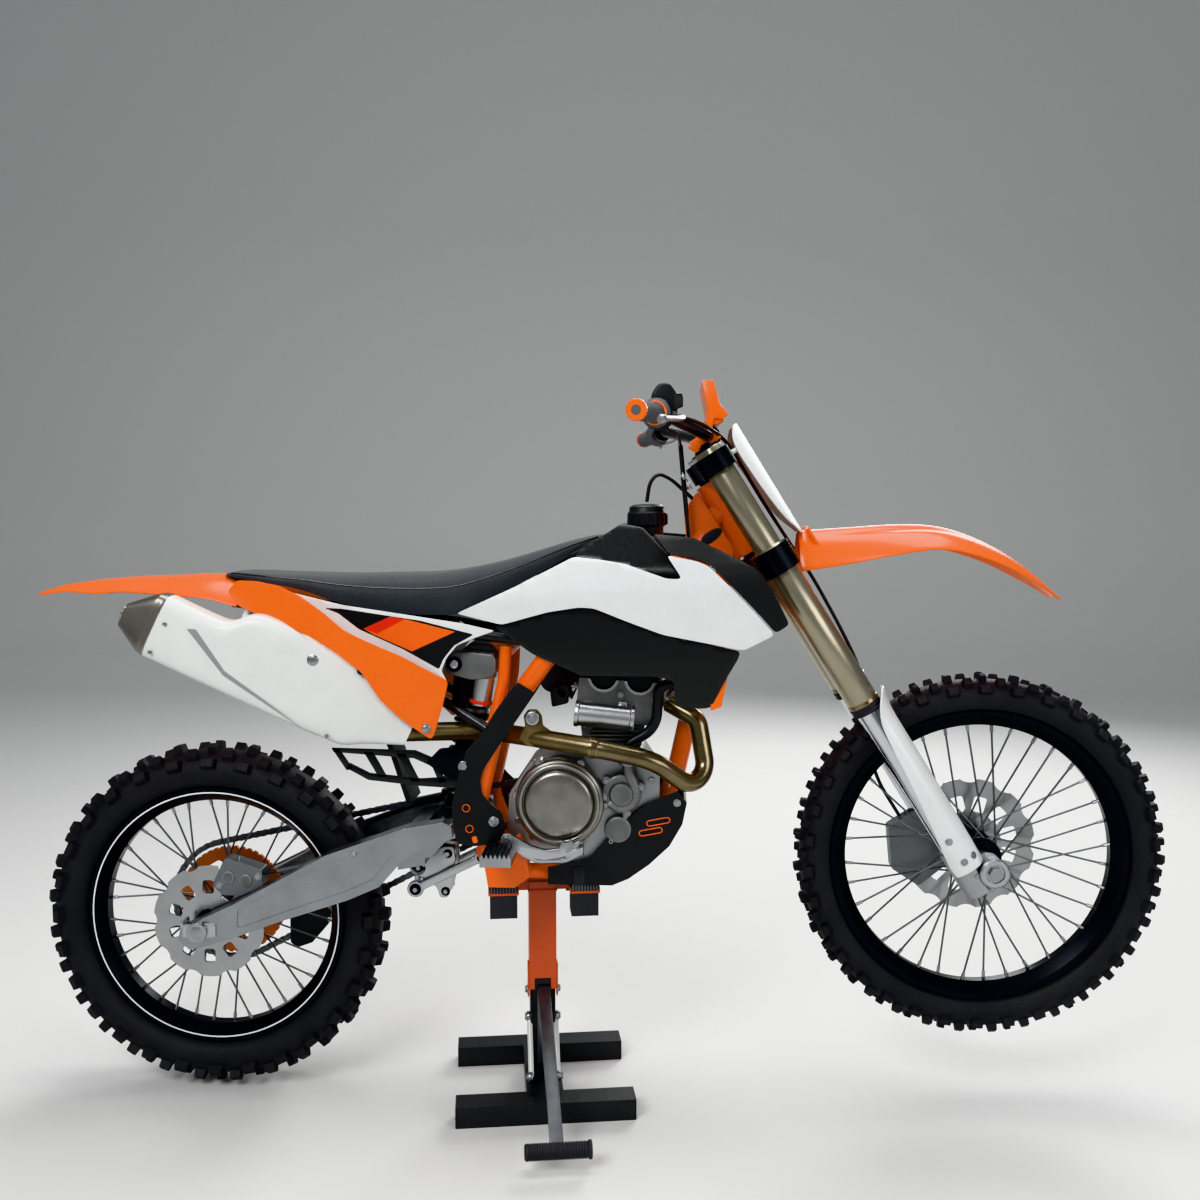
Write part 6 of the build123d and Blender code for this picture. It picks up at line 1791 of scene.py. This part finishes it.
# ------------------------------------------------------------------ frame, suspension and foot controls
@dataclass
class Chassis:
    """Frame guards, swingarm fittings, shock, linkage, callipers, pegs and pedals, in millimetres."""

    shock_top: Point = (532.0, 874.0)
    shock_foot: Point = (459.0, 476.0)
    coils: int = 8
    coil_radius: float = 29.6
    coil_part: Point = (0.125, 0.70)
    guard: Sequence[Point] = ((611, 829), (643, 809), (617, 769), (577, 710), (549, 668), (542, 647),
                              (545, 622), (561, 603), (582, 585), (588, 560), (582, 534), (570, 527),
                              (529, 522), (507, 524), (496, 533), (490, 571), (489, 602), (499, 646),
                              (515, 700), (546, 734), (571, 776), (593, 806))

    def side_rod(self, x: float, z: float, low: float, high: float, radius: float, steps: int = 28,
                 bevel: float = 0.8) -> Mesh:
        """Turns a rod that lies across the bike."""
        return rod(spot(x, low, z), spot(x, high, z), radius, bevel, steps)

    def guards(self) -> None:
        """Builds the moulded frame guards with their marks and bolts."""

        def skin_y(x: float, z: float) -> float:
            """Bows the guard outwards round the spar."""
            return 127.0 - max(0.0, z - 640.0) * 0.045 - abs(x - 545.0 - (z - 600.0) * 0.25) * 0.05

        outline = rounded(self.guard, 5.0, 3)
        dress(mirrored(panel(outline, skin_y, 3.6, 10.0, 1.4)), "frame_guard_shells", BLACK_PLASTIC,
              "frame_guards", 45)
        washer = [(6.2, 0), (7.4, 0), (7.4, 1.2), (6.2, 1.2), (6.2, 0)]
        marks = [turned(washer, spot(x, -126.4, z), spot(x, -128, z), 28) for x, z in ((516, 594), (522, 555))]
        tongue = rounded([(529, 528), (526, 540), (535, 542), (538, 530)], 2.5, 3)
        marks.append(prism(tongue, -129.0, -126.0, None, 0.5))
        dress(mirrored(join(marks)), "guard_marks", ORANGE_PLASTIC)
        bolts = []
        for side in SIDES:
            out = outward(side)
            bolts.append(bolt(spot(567, side * 127, 569), out, 6.5, 3.4, True, True))
            bolts.append(bolt(spot(511, side * 122, 671), out, 7.0, 5.0))
        dress(bolts, "guard_bolts", ZINC_BOLT)
        foot = prism(rounded([(466, 703), (494, 706), (520, 690), (520, 655), (499, 646), (476, 652),
                              (440, 676)], 4), -120, -112, None, 1.4)
        dress(mirrored(foot), "subframe_feet", BLACK_ANODISE)

    def damper(self, part: float) -> Vector:
        """Gives the place at a share of the damper's line, from its foot."""
        foot = spot(self.shock_foot[0], 0, self.shock_foot[1])
        return foot + (spot(self.shock_top[0], 0, self.shock_top[1]) - foot) * part

    def shock_castings(self) -> None:
        """Builds the shock's eyes, spring perch, head and reservoir arm."""
        eyes = [self.side_rod(*end, -13, 13, 16, 36) for end in (self.shock_top, self.shock_foot)]
        perch = turned([(0, 0), (14, 0), (16, 4), (30, 10), (33, 12), (33, 18), (30, 20), (0, 20)],
                       self.damper(0.03), self.damper(1), 40)
        head = prism(rounded([(496, 846), (494, 876), (512, 892), (550, 890), (566, 870), (568, 846),
                              (560, 830), (512, 826)], 6), -44, 30, None, 4.0, 3)
        arm = prism(rounded([(474, 838), (472, 866), (486, 878), (522, 880), (562, 876), (568, 862),
                             (567, 838), (556, 830), (520, 826)], 7), -86, -40, None, 4.0, 3)
        dress([*eyes, perch, head, arm], "shock_castings", CAST_ALUMINIUM, "shock")

    def spring(self) -> Mesh:
        """Winds the coil spring round the damper."""
        steps = 16
        turns = self.coils * steps
        low, high = self.coil_part
        foot, top = self.damper(0), self.damper(1)
        home = axis_matrix(foot, top)
        route = []
        for k in range(turns + 1):
            x, y = swing((0, 0), self.coil_radius, 360 * k / steps)
            rise = (low + (high - low) * k / turns) * (top - foot).length
            route.append(home @ Vector((x * MM, y * MM, rise)))
        return tube(route, 5.6, sides=2)

    def shock(self) -> None:
        """Builds the shock: castings, body, shaft, spring, preload rings and gas reservoir."""
        self.shock_castings()
        body = [rod(self.damper(0.2), self.damper(0.93), 24, 1.0, 40),
                rod(spot(494, -62, 772), spot(500, -62, 832), 15.5, 2.5, 32),
                self.side_rod(489, 857, -88.2, -80, 14.5, 32)]
        dress(body, "shock_body", BLACK_ANODISE)
        dress(rod(self.damper(0.03), self.damper(0.3), 8, 0.5, 28), "shock_shaft", HARD_CHROME)
        dress(self.spring(), "shock_spring", BLACK_COAT)
        ring_section = [(24, 0), (35, 0), (37, 1.5), (37, 8), (35, 9.5), (24, 9.5)]
        rings = [turned(ring_section, self.damper(part), self.damper(1), 24) for part in (0.705, 0.745)]
        can = [(0, 0), (18, 0), (21.6, 3), (22, 6), (22, 56), (22.8, 57), (22.8, 74), (21, 78), (20, 90),
               (17, 93), (0, 93)]
        rings.append(turned(can, spot(535, -62, 774), spot(547, -62, 866), 40))
        rings.append(bolt(spot(489, -88, 857), outward(-1), 8.0, 4.5, False, True))
        dress(rings, "reservoir_and_rings", MACHINED_ALUMINIUM)
        band = turned([(21.8, 0), (22.5, 0.5), (22.5, 6.5), (21.8, 7)], spot(535.8, -62, 780),
                      spot(547, -62, 866), 40)
        dress(band, "reservoir_band", RED_FILM)
        bolts = [self.side_rod(*self.shock_top, -22, 22, 7, 6),
                 self.side_rod(*self.shock_foot, -30, 30, 6, 6)]
        dress(bolts, "shock_bolts", ZINC_BOLT)

    def linkage(self) -> None:
        """Builds the bell crank, the long pull rods and their bolts and caps."""
        cranks, caps, bolts = [], [], []
        outline = rounded([(386, 440), (388, 460), (412, 466), (452, 492), (474, 492), (478, 466), (470, 420),
                           (462, 390), (446, 388), (440, 410)], 7, 4)
        for low, high in ((-26, -14), (14, 26)):
            cranks.append(prism(outline, low, high, None, 2.2, 3))
        cranks.append(self.side_rod(404, 448, -26, 26, 15, 36))
        for side in SIDES:
            out = outward(side)
            bar_line = axis_matrix(spot(400, side * 33, 409), spot(530, side * 33, 474))
            cranks.append(cuboid((10, 17, 138), bar_line @ Matrix.Translation((0, 0, 0.073)), 2.6, 3))
            for x, z, radius in ((400, 409, 16), (530, 474, 14)):
                cranks.append(self.side_rod(x, z, *span(side, 27.5, 38.5), radius, 36, 1.6))
                caps.append(turned([(0, 1.6), (radius - 5, 1.6), (radius - 4.4, 0), (0, 0)],
                                   spot(x, side * 38.5, z), spot(x, side * 39.5, z), 28))
                bolts.append(bolt(spot(x, side * 39.6, z), out, 5.2, 4.0, False))
            for x, z in ((404, 448), (457, 402), (462, 477)):
                caps.append(turned([(0, 1.2), (8, 1.2), (9, 0), (0, 0)], spot(x, side * 26, z),
                                   spot(x, side * 27, z), 24))
                bolts.append(bolt(spot(x, side * 27, z), out, 4.8, 3.4, False))
        cranks.append(self.side_rod(400, 409, -30, 30, 8, 24))
        dress(cranks, "linkage_forgings", MACHINED_ALUMINIUM, "linkage")
        dress(caps, "linkage_caps", BLACK_ANODISE)
        dress(bolts, "linkage_bolts", ZINC_BOLT)

    def swingarm(self) -> None:
        """Paints the swingarm and adds its axle blocks, adjusters, nuts, chain slider and shoe."""
        paint_node("swingarm", BRUSHED_ALUMINIUM)
        paint_node("rear_axle", STAINLESS)
        paint_node("chain_guide", BLACK_PLASTIC)
        blocks, steel = [], []
        axle = AXLE_HEIGHT
        face = rounded([(-30, axle - 13), (-30, axle + 13), (34, axle + 15), (34, axle - 11)], 3)
        end = rounded([(-37, axle - 16), (-37, axle + 15), (-31, axle + 16), (-31, axle - 16)], 2)
        for side in SIDES:
            blocks.append(prism(face, *span(side, 115.4, 119.4), None, 0.8))
            blocks.append(prism(end, *span(side, 82, 114), None, 0.8))
            out = outward(side)
            steel.append(turned([(0, 9), (12, 9), (15, 8), (19, 3), (19, 0), (0, 0)],
                                spot(0, side * 119.4, axle), spot(0, side * 120, axle), 6))
            steel.append(rod(spot(-30, side * 98, axle), spot(-39, side * 98, axle), 4, 0.5, 12))
            steel.append(bolt(spot(-37, side * 98, axle), Vector((-1, 0, 0)), 6.5, 4.0, False))
            steel.append(bolt(spot(300, side * 116, 500), out, 4.0, 2.6))
        dress(blocks, "axle_blocks", MACHINED_ALUMINIUM)
        dress(steel, "swingarm_nuts", ZINC_BOLT)
        slider = prism(rounded([(372, 560), (430, 573), (474, 582), (482, 574), (430, 556), (376, 545)], 3),
                       60, 80, None, 1.2)
        shoe = prism(rounded([(226, 494), (372, 549), (378, 541), (232, 484)], 3), 78, 96, None, 1.2)
        dress([slider, shoe], "chain_slider", BLACK_PLASTIC)

    def brakes(self) -> None:
        """Paints the rear calliper and adds its caps, pins, bleed nipple and hose."""
        paint_node("rear_calliper", DARK_CASTING)
        parts, steel = [], []
        for x, z in ((46, 440), (80, 434)):
            parts.append(turned([(0, 3), (9, 3), (12, 2), (12.6, 0), (0, 0)], spot(x, -79, z),
                                spot(x, -80, z), 28))
        for x, z in ((28, 424), (104, 442)):
            steel.append(bolt(spot(x, -79, z), outward(-1), 5, 4))
        steel.append(rod(spot(64, -70, 462), spot(66, -70, 480), 3.2, 0.5, 12))
        dress(parts, "calliper_caps", CAST_ALUMINIUM)
        dress(steel, "calliper_bolts", ZINC_BOLT)
        hose = tube([spot(108, -72, 446), spot(140, -74, 452), spot(240, -76, 474), spot(340, -76, 500),
                     spot(400, -77, 520)], 3.2)
        dress(hose, "rear_brake_hose", HOSE_RUBBER)
        sleeve = [spot(140, -74, 452), spot(240, -76, 474)]
        dress(rod(sleeve[0], sleeve[1], 4.4, 0.5, 16), "brake_hose_sleeve", CLEAR_HOSE)

    def feet(self) -> None:
        """Paints the pegs and levers and adds the pedal's forging, pins, springs and the gear lever's toe."""
        paint_node("footpegs", STAINLESS)
        paint_node("foot_controls", MACHINED_ALUMINIUM)
        outline = [(583, 546), (589, 553), (602, 551), (620, 541), (640, 530), (665, 523), (690, 527),
                   (696, 541), (704, 536), (711, 543), (719, 537), (728, 543), (725, 529), (700, 512),
                   (665, 505), (630, 509), (603, 524), (586, 535)]
        pedal = prism(rounded(outline, 2.0, 2), -150, -139, None, 2.2, 3)
        dress(pedal, "brake_pedal_forging", MACHINED_ALUMINIUM)
        steel = [bolt(spot(594, -150, 543), outward(-1), 5.5, 4.0, True, True)]
        bronze = []
        for side in SIDES:
            steel.append(rod(spot(560, side * 122, 521), spot(560, side * 133, 521), 5, 0.6, 16))
            steel.append(rod(spot(606, side * 122, 521), spot(606, side * 133, 521), 5, 0.6, 16))
            spring = [spot(575 + 3.4 * k, side * (124.5 + 5.5 * math.sin(k * 1.9)),
                           513 + 5.5 * math.cos(k * 1.9)) for k in range(9)]
            bronze.append(tube(spring, 1.1, sides=1))
        dress(steel, "peg_pins", ZINC_BOLT)
        dress(bronze, "peg_springs", STAINLESS)
        knurl = [(9.6 if k % 2 else 8.4, 3 + 3.0 * k) for k in range(9)]
        profile = [(0, -1), (8.6, -1), (9.6, 1), *knurl, (8.6, 33), (0, 33)]
        toe = turned(profile, spot(770, 118, 560), spot(770, 119, 560), 24)
        dress(toe, "gear_lever_toe", SOFT_RUBBER)

    def skid(self) -> None:
        """Paints the skid plate, outlines its slots and adds its bolts."""
        paint_node("skid_plate", BLACK_PLASTIC)
        edges, fills = [], []
        for side in SIDES:
            for x, z in ((871, 564), (857, 545)):
                tilt = math.radians(11)
                loop = []
                for k in range(20):
                    a = math.tau * k / 20
                    dx = 16.5 * (1 if math.cos(a) > 0 else -1) + 5.2 * math.cos(a)
                    dz = 5.2 * math.sin(a)
                    loop.append((x + dx * math.cos(tilt) - dz * math.sin(tilt),
                                 z + dx * math.sin(tilt) + dz * math.cos(tilt)))
                edges.append(tube([spot(px, side * 92.2, pz) for px, pz in loop + loop[:1]], 1.1, True, 2))
                fills.append(prism(loop, *span(side, 88.5, 90.5)))
        dress(edges, "skid_slot_rims", ORANGE_FILM)
        dress(fills, "skid_slot_floors", BLACK_PLASTIC)
        bolts = [bolt(spot(x, y, 440.8), DOWN, 5.5, 1.2, False, True) for x in (690, 790) for y in (-60, 60)]
        bolts += [bolt(spot(906, side * 92, 600), outward(side), 5, 3) for side in SIDES]
        dress(bolts, "skid_bolts", ZINC_BOLT)

    def frame_details(self) -> None:
        """Paints the frame and adds the head gussets, their grommets, the cables' ends and the loom."""
        paint_node("frame", ORANGE_COAT)
        paint_node("subframe", BLACK_COAT)
        paint_node("airbox", BLACK_PLASTIC)
        grommets, plates = [], []
        tails = [tube([spot(921, y, 1137), spot(925, y, 1100), spot(928, y, 1062)], 3.4) for y in (-60, -68)]
        for side in SIDES:
            turn = Matrix.Translation(spot(966, 0, 1094)) @ Matrix.Rotation(math.radians(-36), 4, "Y")
            oval = [(25 * math.cos(math.tau * k / 28), 10 * math.sin(math.tau * k / 28)) for k in range(28)]
            grommets.append(prism(oval, *span(side, 40.0, 48.5), turn, 1.6, 3))
            plates.append(prism(rounded([(941, 1178), (918, 1140), (922, 1096), (948, 1066), (1010, 1050),
                                         (1008, 1074)], 6), *span(side, 42.0, 46.0), None, 1.2))
        dress(grommets, "gusset_grommets", SOFT_RUBBER)
        dress(plates, "head_gussets", ORANGE_COAT)
        dress(tails, "cable_tails", HOSE_RUBBER)
        loom = tube([spot(902, -22, 1088), spot(880, -34, 1062), spot(850, -40, 1020)], 6.0)
        dress(loom, "wiring_loom", HOSE_RUBBER)

    def silencer_bracket(self) -> None:
        """Builds the slotted black bracket that carries the silencer under the right side panel."""
        upper = [(262, 702), (266, 694), (417, 684), (462, 664), (512, 652), (520, 660), (470, 678),
                 (420, 699)]
        lower = [(290, 664), (331, 642), (427, 632), (500, 628), (516, 640), (510, 652), (430, 646),
                 (334, 655), (296, 674)]
        webs = [[(262, 702), (276, 701), (302, 662), (290, 660)],
                [(322, 696), (340, 695), (366, 648), (350, 648)],
                [(384, 694), (402, 692), (428, 640), (412, 640)],
                [(450, 672), (462, 668), (478, 640), (464, 638)]]
        pieces = [prism(shape, -116.0, -112.0, None, 0.6) for shape in [upper, lower] + webs]
        dress(pieces, "silencer_bracket", GLOSS_BLACK, sharp=40)

    def build(self) -> None:
        """Builds the chassis pieces."""
        self.silencer_bracket()
        self.guards()
        self.shock()
        self.linkage()
        self.swingarm()
        self.brakes()
        self.feet()
        self.skid()
        self.frame_details()


# ------------------------------------------------------------------ lift stand
@dataclass
class Stand:
    """The lift stand: foot bars, post, column, head with its rubber pads, links and foot lever."""

    middle: Point = (643.0, 0.0)
    yaw: float = 8.7
    spacing: float = 153.0
    roller: float = 113.0
    link_ends: Sequence[Point] = ((-12, 150), (-80, 60))

    def own(self) -> Matrix:
        """Gives the stand's own frame, turned a little from the bike's."""
        return Matrix.Translation(spot(*self.middle, 0)) @ Matrix.Rotation(math.radians(self.yaw), 4, "Z")

    def place(self, x: float, y: float, z: float) -> Vector:
        """Turns the stand's own millimetres into metres."""
        return self.own() @ (Vector((x, y, z)) * MM)

    def box(self, low: Point3, high: Point3, bevel: float = 1.0) -> Mesh:
        """Makes a box in the stand's own frame between two corners."""
        (x0, y0, z0), (x1, y1, z1) = low, high
        return prism([(x0, z0), (x0, z1), (x1, z1), (x1, z0)], y0, y1, self.own(), bevel)

    def base(self) -> None:
        """Paints the base and adds the end caps and the cheeks."""
        paint_node("stand_base", BLACK_COAT)
        caps = []
        for y in (-122, 122):
            for end in (-1, 1):
                low, high = span(end, 167, 169.2)
                caps.append(self.box((low, y - 25.4, 0.4), (high, y + 25.4, 40.4), 0.9))
        dress(caps, "foot_bar_caps", BLACK_PLASTIC)
        cheeks = [self.box((x, -24, 41), (x + 3.9, 24, 208), 0.8) for x in (-24.5, 20.6)]
        dress(cheeks, "post_cheeks", BLACK_COAT)

    def column(self) -> None:
        """Paints the column and adds its cheeks, weld beads and the head's lips."""
        paint_node("stand_mast", STAND_COAT)
        parts = []
        for x in (-29.5, 26.6):
            outline = rounded([(x, 196), (x, 262), (x + 2.9, 262), (x + 2.9, 196)], 0.8, 2)
            parts.append(prism(outline, -27.5, -8, self.own(), 0.5))
        for y in (-27, 27):
            parts.append(tube([self.place(-28.5, y, 408), self.place(28.5, y, 408)], 2.4, True, 2))
        for x in (-self.spacing / 2, self.spacing / 2):
            for side in SIDES:
                low, high = span(side, 98, 102.4)
                parts.append(self.box((x - 28.4, low, 423.8), (x + 28.4, high, 428.2), 0.8))
            for lip in (-28.6, 26.0):
                parts.append(self.box((x + lip, -100, 424), (x + lip + 2.6, 100, 433), 0.7))
        dress(parts, "column_cheeks", STAND_COAT)

    def links(self) -> None:
        """Builds the two parallel links with their eyes, pins and bolts."""
        turn = self.own().to_3x3()
        section = [(4, -5), (9, -5), (9.6, -4), (9.6, 2), (9, 3), (4, 3), (4, -5)]
        bolts = []
        for side in SIDES:
            out = turn @ Vector((side, 0, 0))
            bolts.append(bolt(self.place(side * 29.6, -18, 208), out, 6.5, 5.0))
            for y, z in self.link_ends:
                centre = self.place(side * 22, y, z)
                bolts.append(rod(centre, centre + out * 0.011, 4.6, 0.6, 14))
                bolts.append(bolt(centre + out * 0.009, out, 6.4, 4.0))
                bolts.append(turned(section, centre + out * 0.006, centre + out * 0.007, 24))
        dress(bolts, "stand_bolts", ZINC_BOLT)
        bars = []
        for side in SIDES:
            start, end = [self.place(side * 25.6, y, z) for y, z in self.link_ends]
            bars.append(rod(start, end, 5.4, 1.0, 20))
        dress(bars, "stand_links", WHITE_ENAMEL)

    def pads(self) -> None:
        """Paints the rubber blocks and adds ribs to the pads' tops and sides."""
        paint_node("stand_pads", SOFT_RUBBER)
        ribs = []
        for x, top in ((-self.spacing / 2, 444.6), (self.spacing / 2, 440.6)):
            for side in SIDES:
                y0, y1 = span(side, 51, 100.8)
                for k in range(9):
                    at = x - 24.2 + k * 5.6
                    ribs.append(self.box((at, y0 - 0.6, 428), (at + 3.0, y1 + 0.4, top), 0.5))
        stops = [self.box((54, side * 101.5 - 3, 441), (99, side * 101.5 + 3, 476), 2.0) for side in SIDES]
        dress(stops, "pad_stops", SOFT_RUBBER)
        dress(ribs, "pad_ribs", GREY_RUBBER)

    def lever(self) -> None:
        """Builds the flat foot lever with its ribbed roller."""
        start, end = self.place(2, -30, 206), self.place(10, -300, 42)
        long = (end - start).length
        middle = axis_matrix(start, end) @ Matrix.Translation((0, 0, long / 2))
        arm = cuboid((24, 11, long / MM + 20), middle, 1.2)
        dress(arm, "lever_bar", SCUFFED_STEEL, "stand_lever")
        strip = self.box((-11, -25.5, 60), (11, -20.3, 206), 0.8)
        dress(strip, "post_face", SCUFFED_STEEL)
        length = self.roller
        profile: list[Point] = [(0, -2), (11, -2), (12.6, -1)]
        at = 2.0
        while at < length - 6:
            profile += [(14.6, at), (14.6, at + 2.4), (13.2, at + 3.0), (13.2, at + 4.2)]
            at += 4.8
        profile += [(16, length - 2), (16, length + 2), (13, length + 3), (0, length + 3)]
        roller = turned(profile, self.place(-45, -306, 38), self.place(68, -306, 38), 32)
        dress(roller, "lever_roller", SOFT_RUBBER)

    def build(self) -> None:
        """Builds the stand's pieces."""
        self.base()
        self.column()
        self.links()
        self.pads()
        self.lever()


# ------------------------------------------------------------------ studio
@dataclass
class Studio:
    """The camera, the pale floor and the soft lights."""

    eye: Point3 = (876.3, -2238.9, 1146.2)
    focal: float = 35.1
    yaw: float = -0.0531
    pitch: float = 0.0778

    def camera(self) -> None:
        """Sets up the camera."""
        data = bpy.data.cameras.new("view")
        data.lens = self.focal
        data.sensor_width = 36.0
        data.clip_end = 60.0
        holder = bpy.data.objects.new("view", data)
        holder.location = spot(*self.eye)
        holder.rotation_euler = (math.pi / 2 - self.pitch, 0.0, -self.yaw)
        bpy.context.scene.collection.objects.link(holder)
        bpy.context.scene.camera = holder

    def floor(self) -> None:
        """Lays the floor and sweeps it up behind."""
        bm = bmesh.new()
        verts = [bm.verts.new((-12, -8, 0)), bm.verts.new((12, -8, 0))]
        edge = bm.edges.new(verts)
        for y, z in ((5.0, 0.0), (5.8, 0.12), (6.4, 0.55), (6.7, 1.2), (6.8, 9.0)):
            grown = bmesh.ops.extrude_edge_only(bm, edges=[edge])
            ends = [v for v in grown["geom"] if isinstance(v, bmesh.types.BMVert)]
            for vert in ends:
                vert.co.y, vert.co.z = y, z
            edges = [e for e in grown["geom"] if isinstance(e, bmesh.types.BMEdge)]
            edge = next(e for e in edges if all(v in ends for v in e.verts))
        bmesh.ops.recalc_face_normals(bm, faces=bm.faces[:])
        mesh = bpy.data.meshes.new("floor")
        for face in bm.faces:
            face.smooth = True
            if face.normal.z < -0.1 or face.normal.y > 0.1:
                face.normal_flip()
        bm.to_mesh(mesh)
        bm.free()
        mesh.materials.append(FLOOR_PAINT.build())
        floor = bpy.data.objects.new("floor", mesh)
        bpy.context.scene.collection.objects.link(floor)

    def light(self, name: str, place: Point3, aim: Point3, size: float, watts: float,
              tint: str = "FFFFFF") -> None:
        """Hangs a soft square light.

        Args:
            name: The light's name.
            place: Where it hangs, in metres.
            aim: What it points at.
            size: Its side in metres.
            watts: Its power.
            tint: Its colour.
        """
        data = bpy.data.lights.new(name, "AREA")
        data.shape = "RECTANGLE"
        data.size = size
        data.size_y = size * 0.7
        data.energy = watts
        data.color = linear(tint)[:3]
        holder = bpy.data.objects.new(name, data)
        holder.location = place
        holder.rotation_euler = (Vector(aim) - Vector(place)).to_track_quat("-Z", "Y").to_euler()
        bpy.context.scene.collection.objects.link(holder)

    def build(self) -> None:
        """Builds the studio."""
        self.camera()
        self.floor()
        self.light("key", (-1.6, -3.4, 3.6), (0, 0, 0.7), 2.2, 125)
        self.light("fill", (3.2, -3.0, 2.0), (0.3, 0, 0.6), 2.4, 45)
        self.light("top", (0.2, 0.4, 3.9), (0, 0, 0.5), 3.0, 100)
        self.light("rim", (1.5, 3.4, 2.6), (0, 0, 0.7), 2.2, 90)
        world = bpy.data.worlds.new("studio_air")
        world.use_nodes = True
        world.node_tree.nodes["Background"].inputs["Color"].default_value = linear("DDE1E6")
        world.node_tree.nodes["Background"].inputs["Strength"].default_value = 0.36
        bpy.context.scene.world = world
        bpy.context.scene.view_settings.view_transform = "Khronos PBR Neutral"
        bpy.context.scene.view_settings.look = "None"


def front_wheel() -> Wheel:
    """The narrow, large front wheel."""
    return Wheel("front", Body.FRONT_WHEEL, FRONT_AXLE.copy(), tip_radius=349.5, lug_height=13.0,
                 half_width=43.0, rim_radius=280.0, rim_half=23.0, pitches=34, hub_right=39.0, hub_left=66.0,
                 block_length=15.0)


def rear_wheel() -> Wheel:
    """The wide rear wheel."""
    return Wheel("rear", Body.REAR_WHEEL, REAR_AXLE.copy(), tip_radius=342.0, lug_height=16.0,
                 half_width=52.0, rim_radius=257.0, rim_half=29.0, pitches=28, hub_right=66.0, hub_left=73.0,
                 block_length=19.0, striped=True)


def main() -> None:
    """Builds every sub-assembly, then the studio."""
    logging.basicConfig(level=logging.INFO, format="%(name)s %(message)s")
    for wheel in (front_wheel(), rear_wheel()):
        wheel.build()
    for assembly in (FinalDrive(), Seat(), Bodywork(), Fork(), Controls(), Engine(), Exhaust(), Chassis(),
                     Stand()):
        assembly.build()
    Studio().build()


if __name__ == "__main__":
    main()
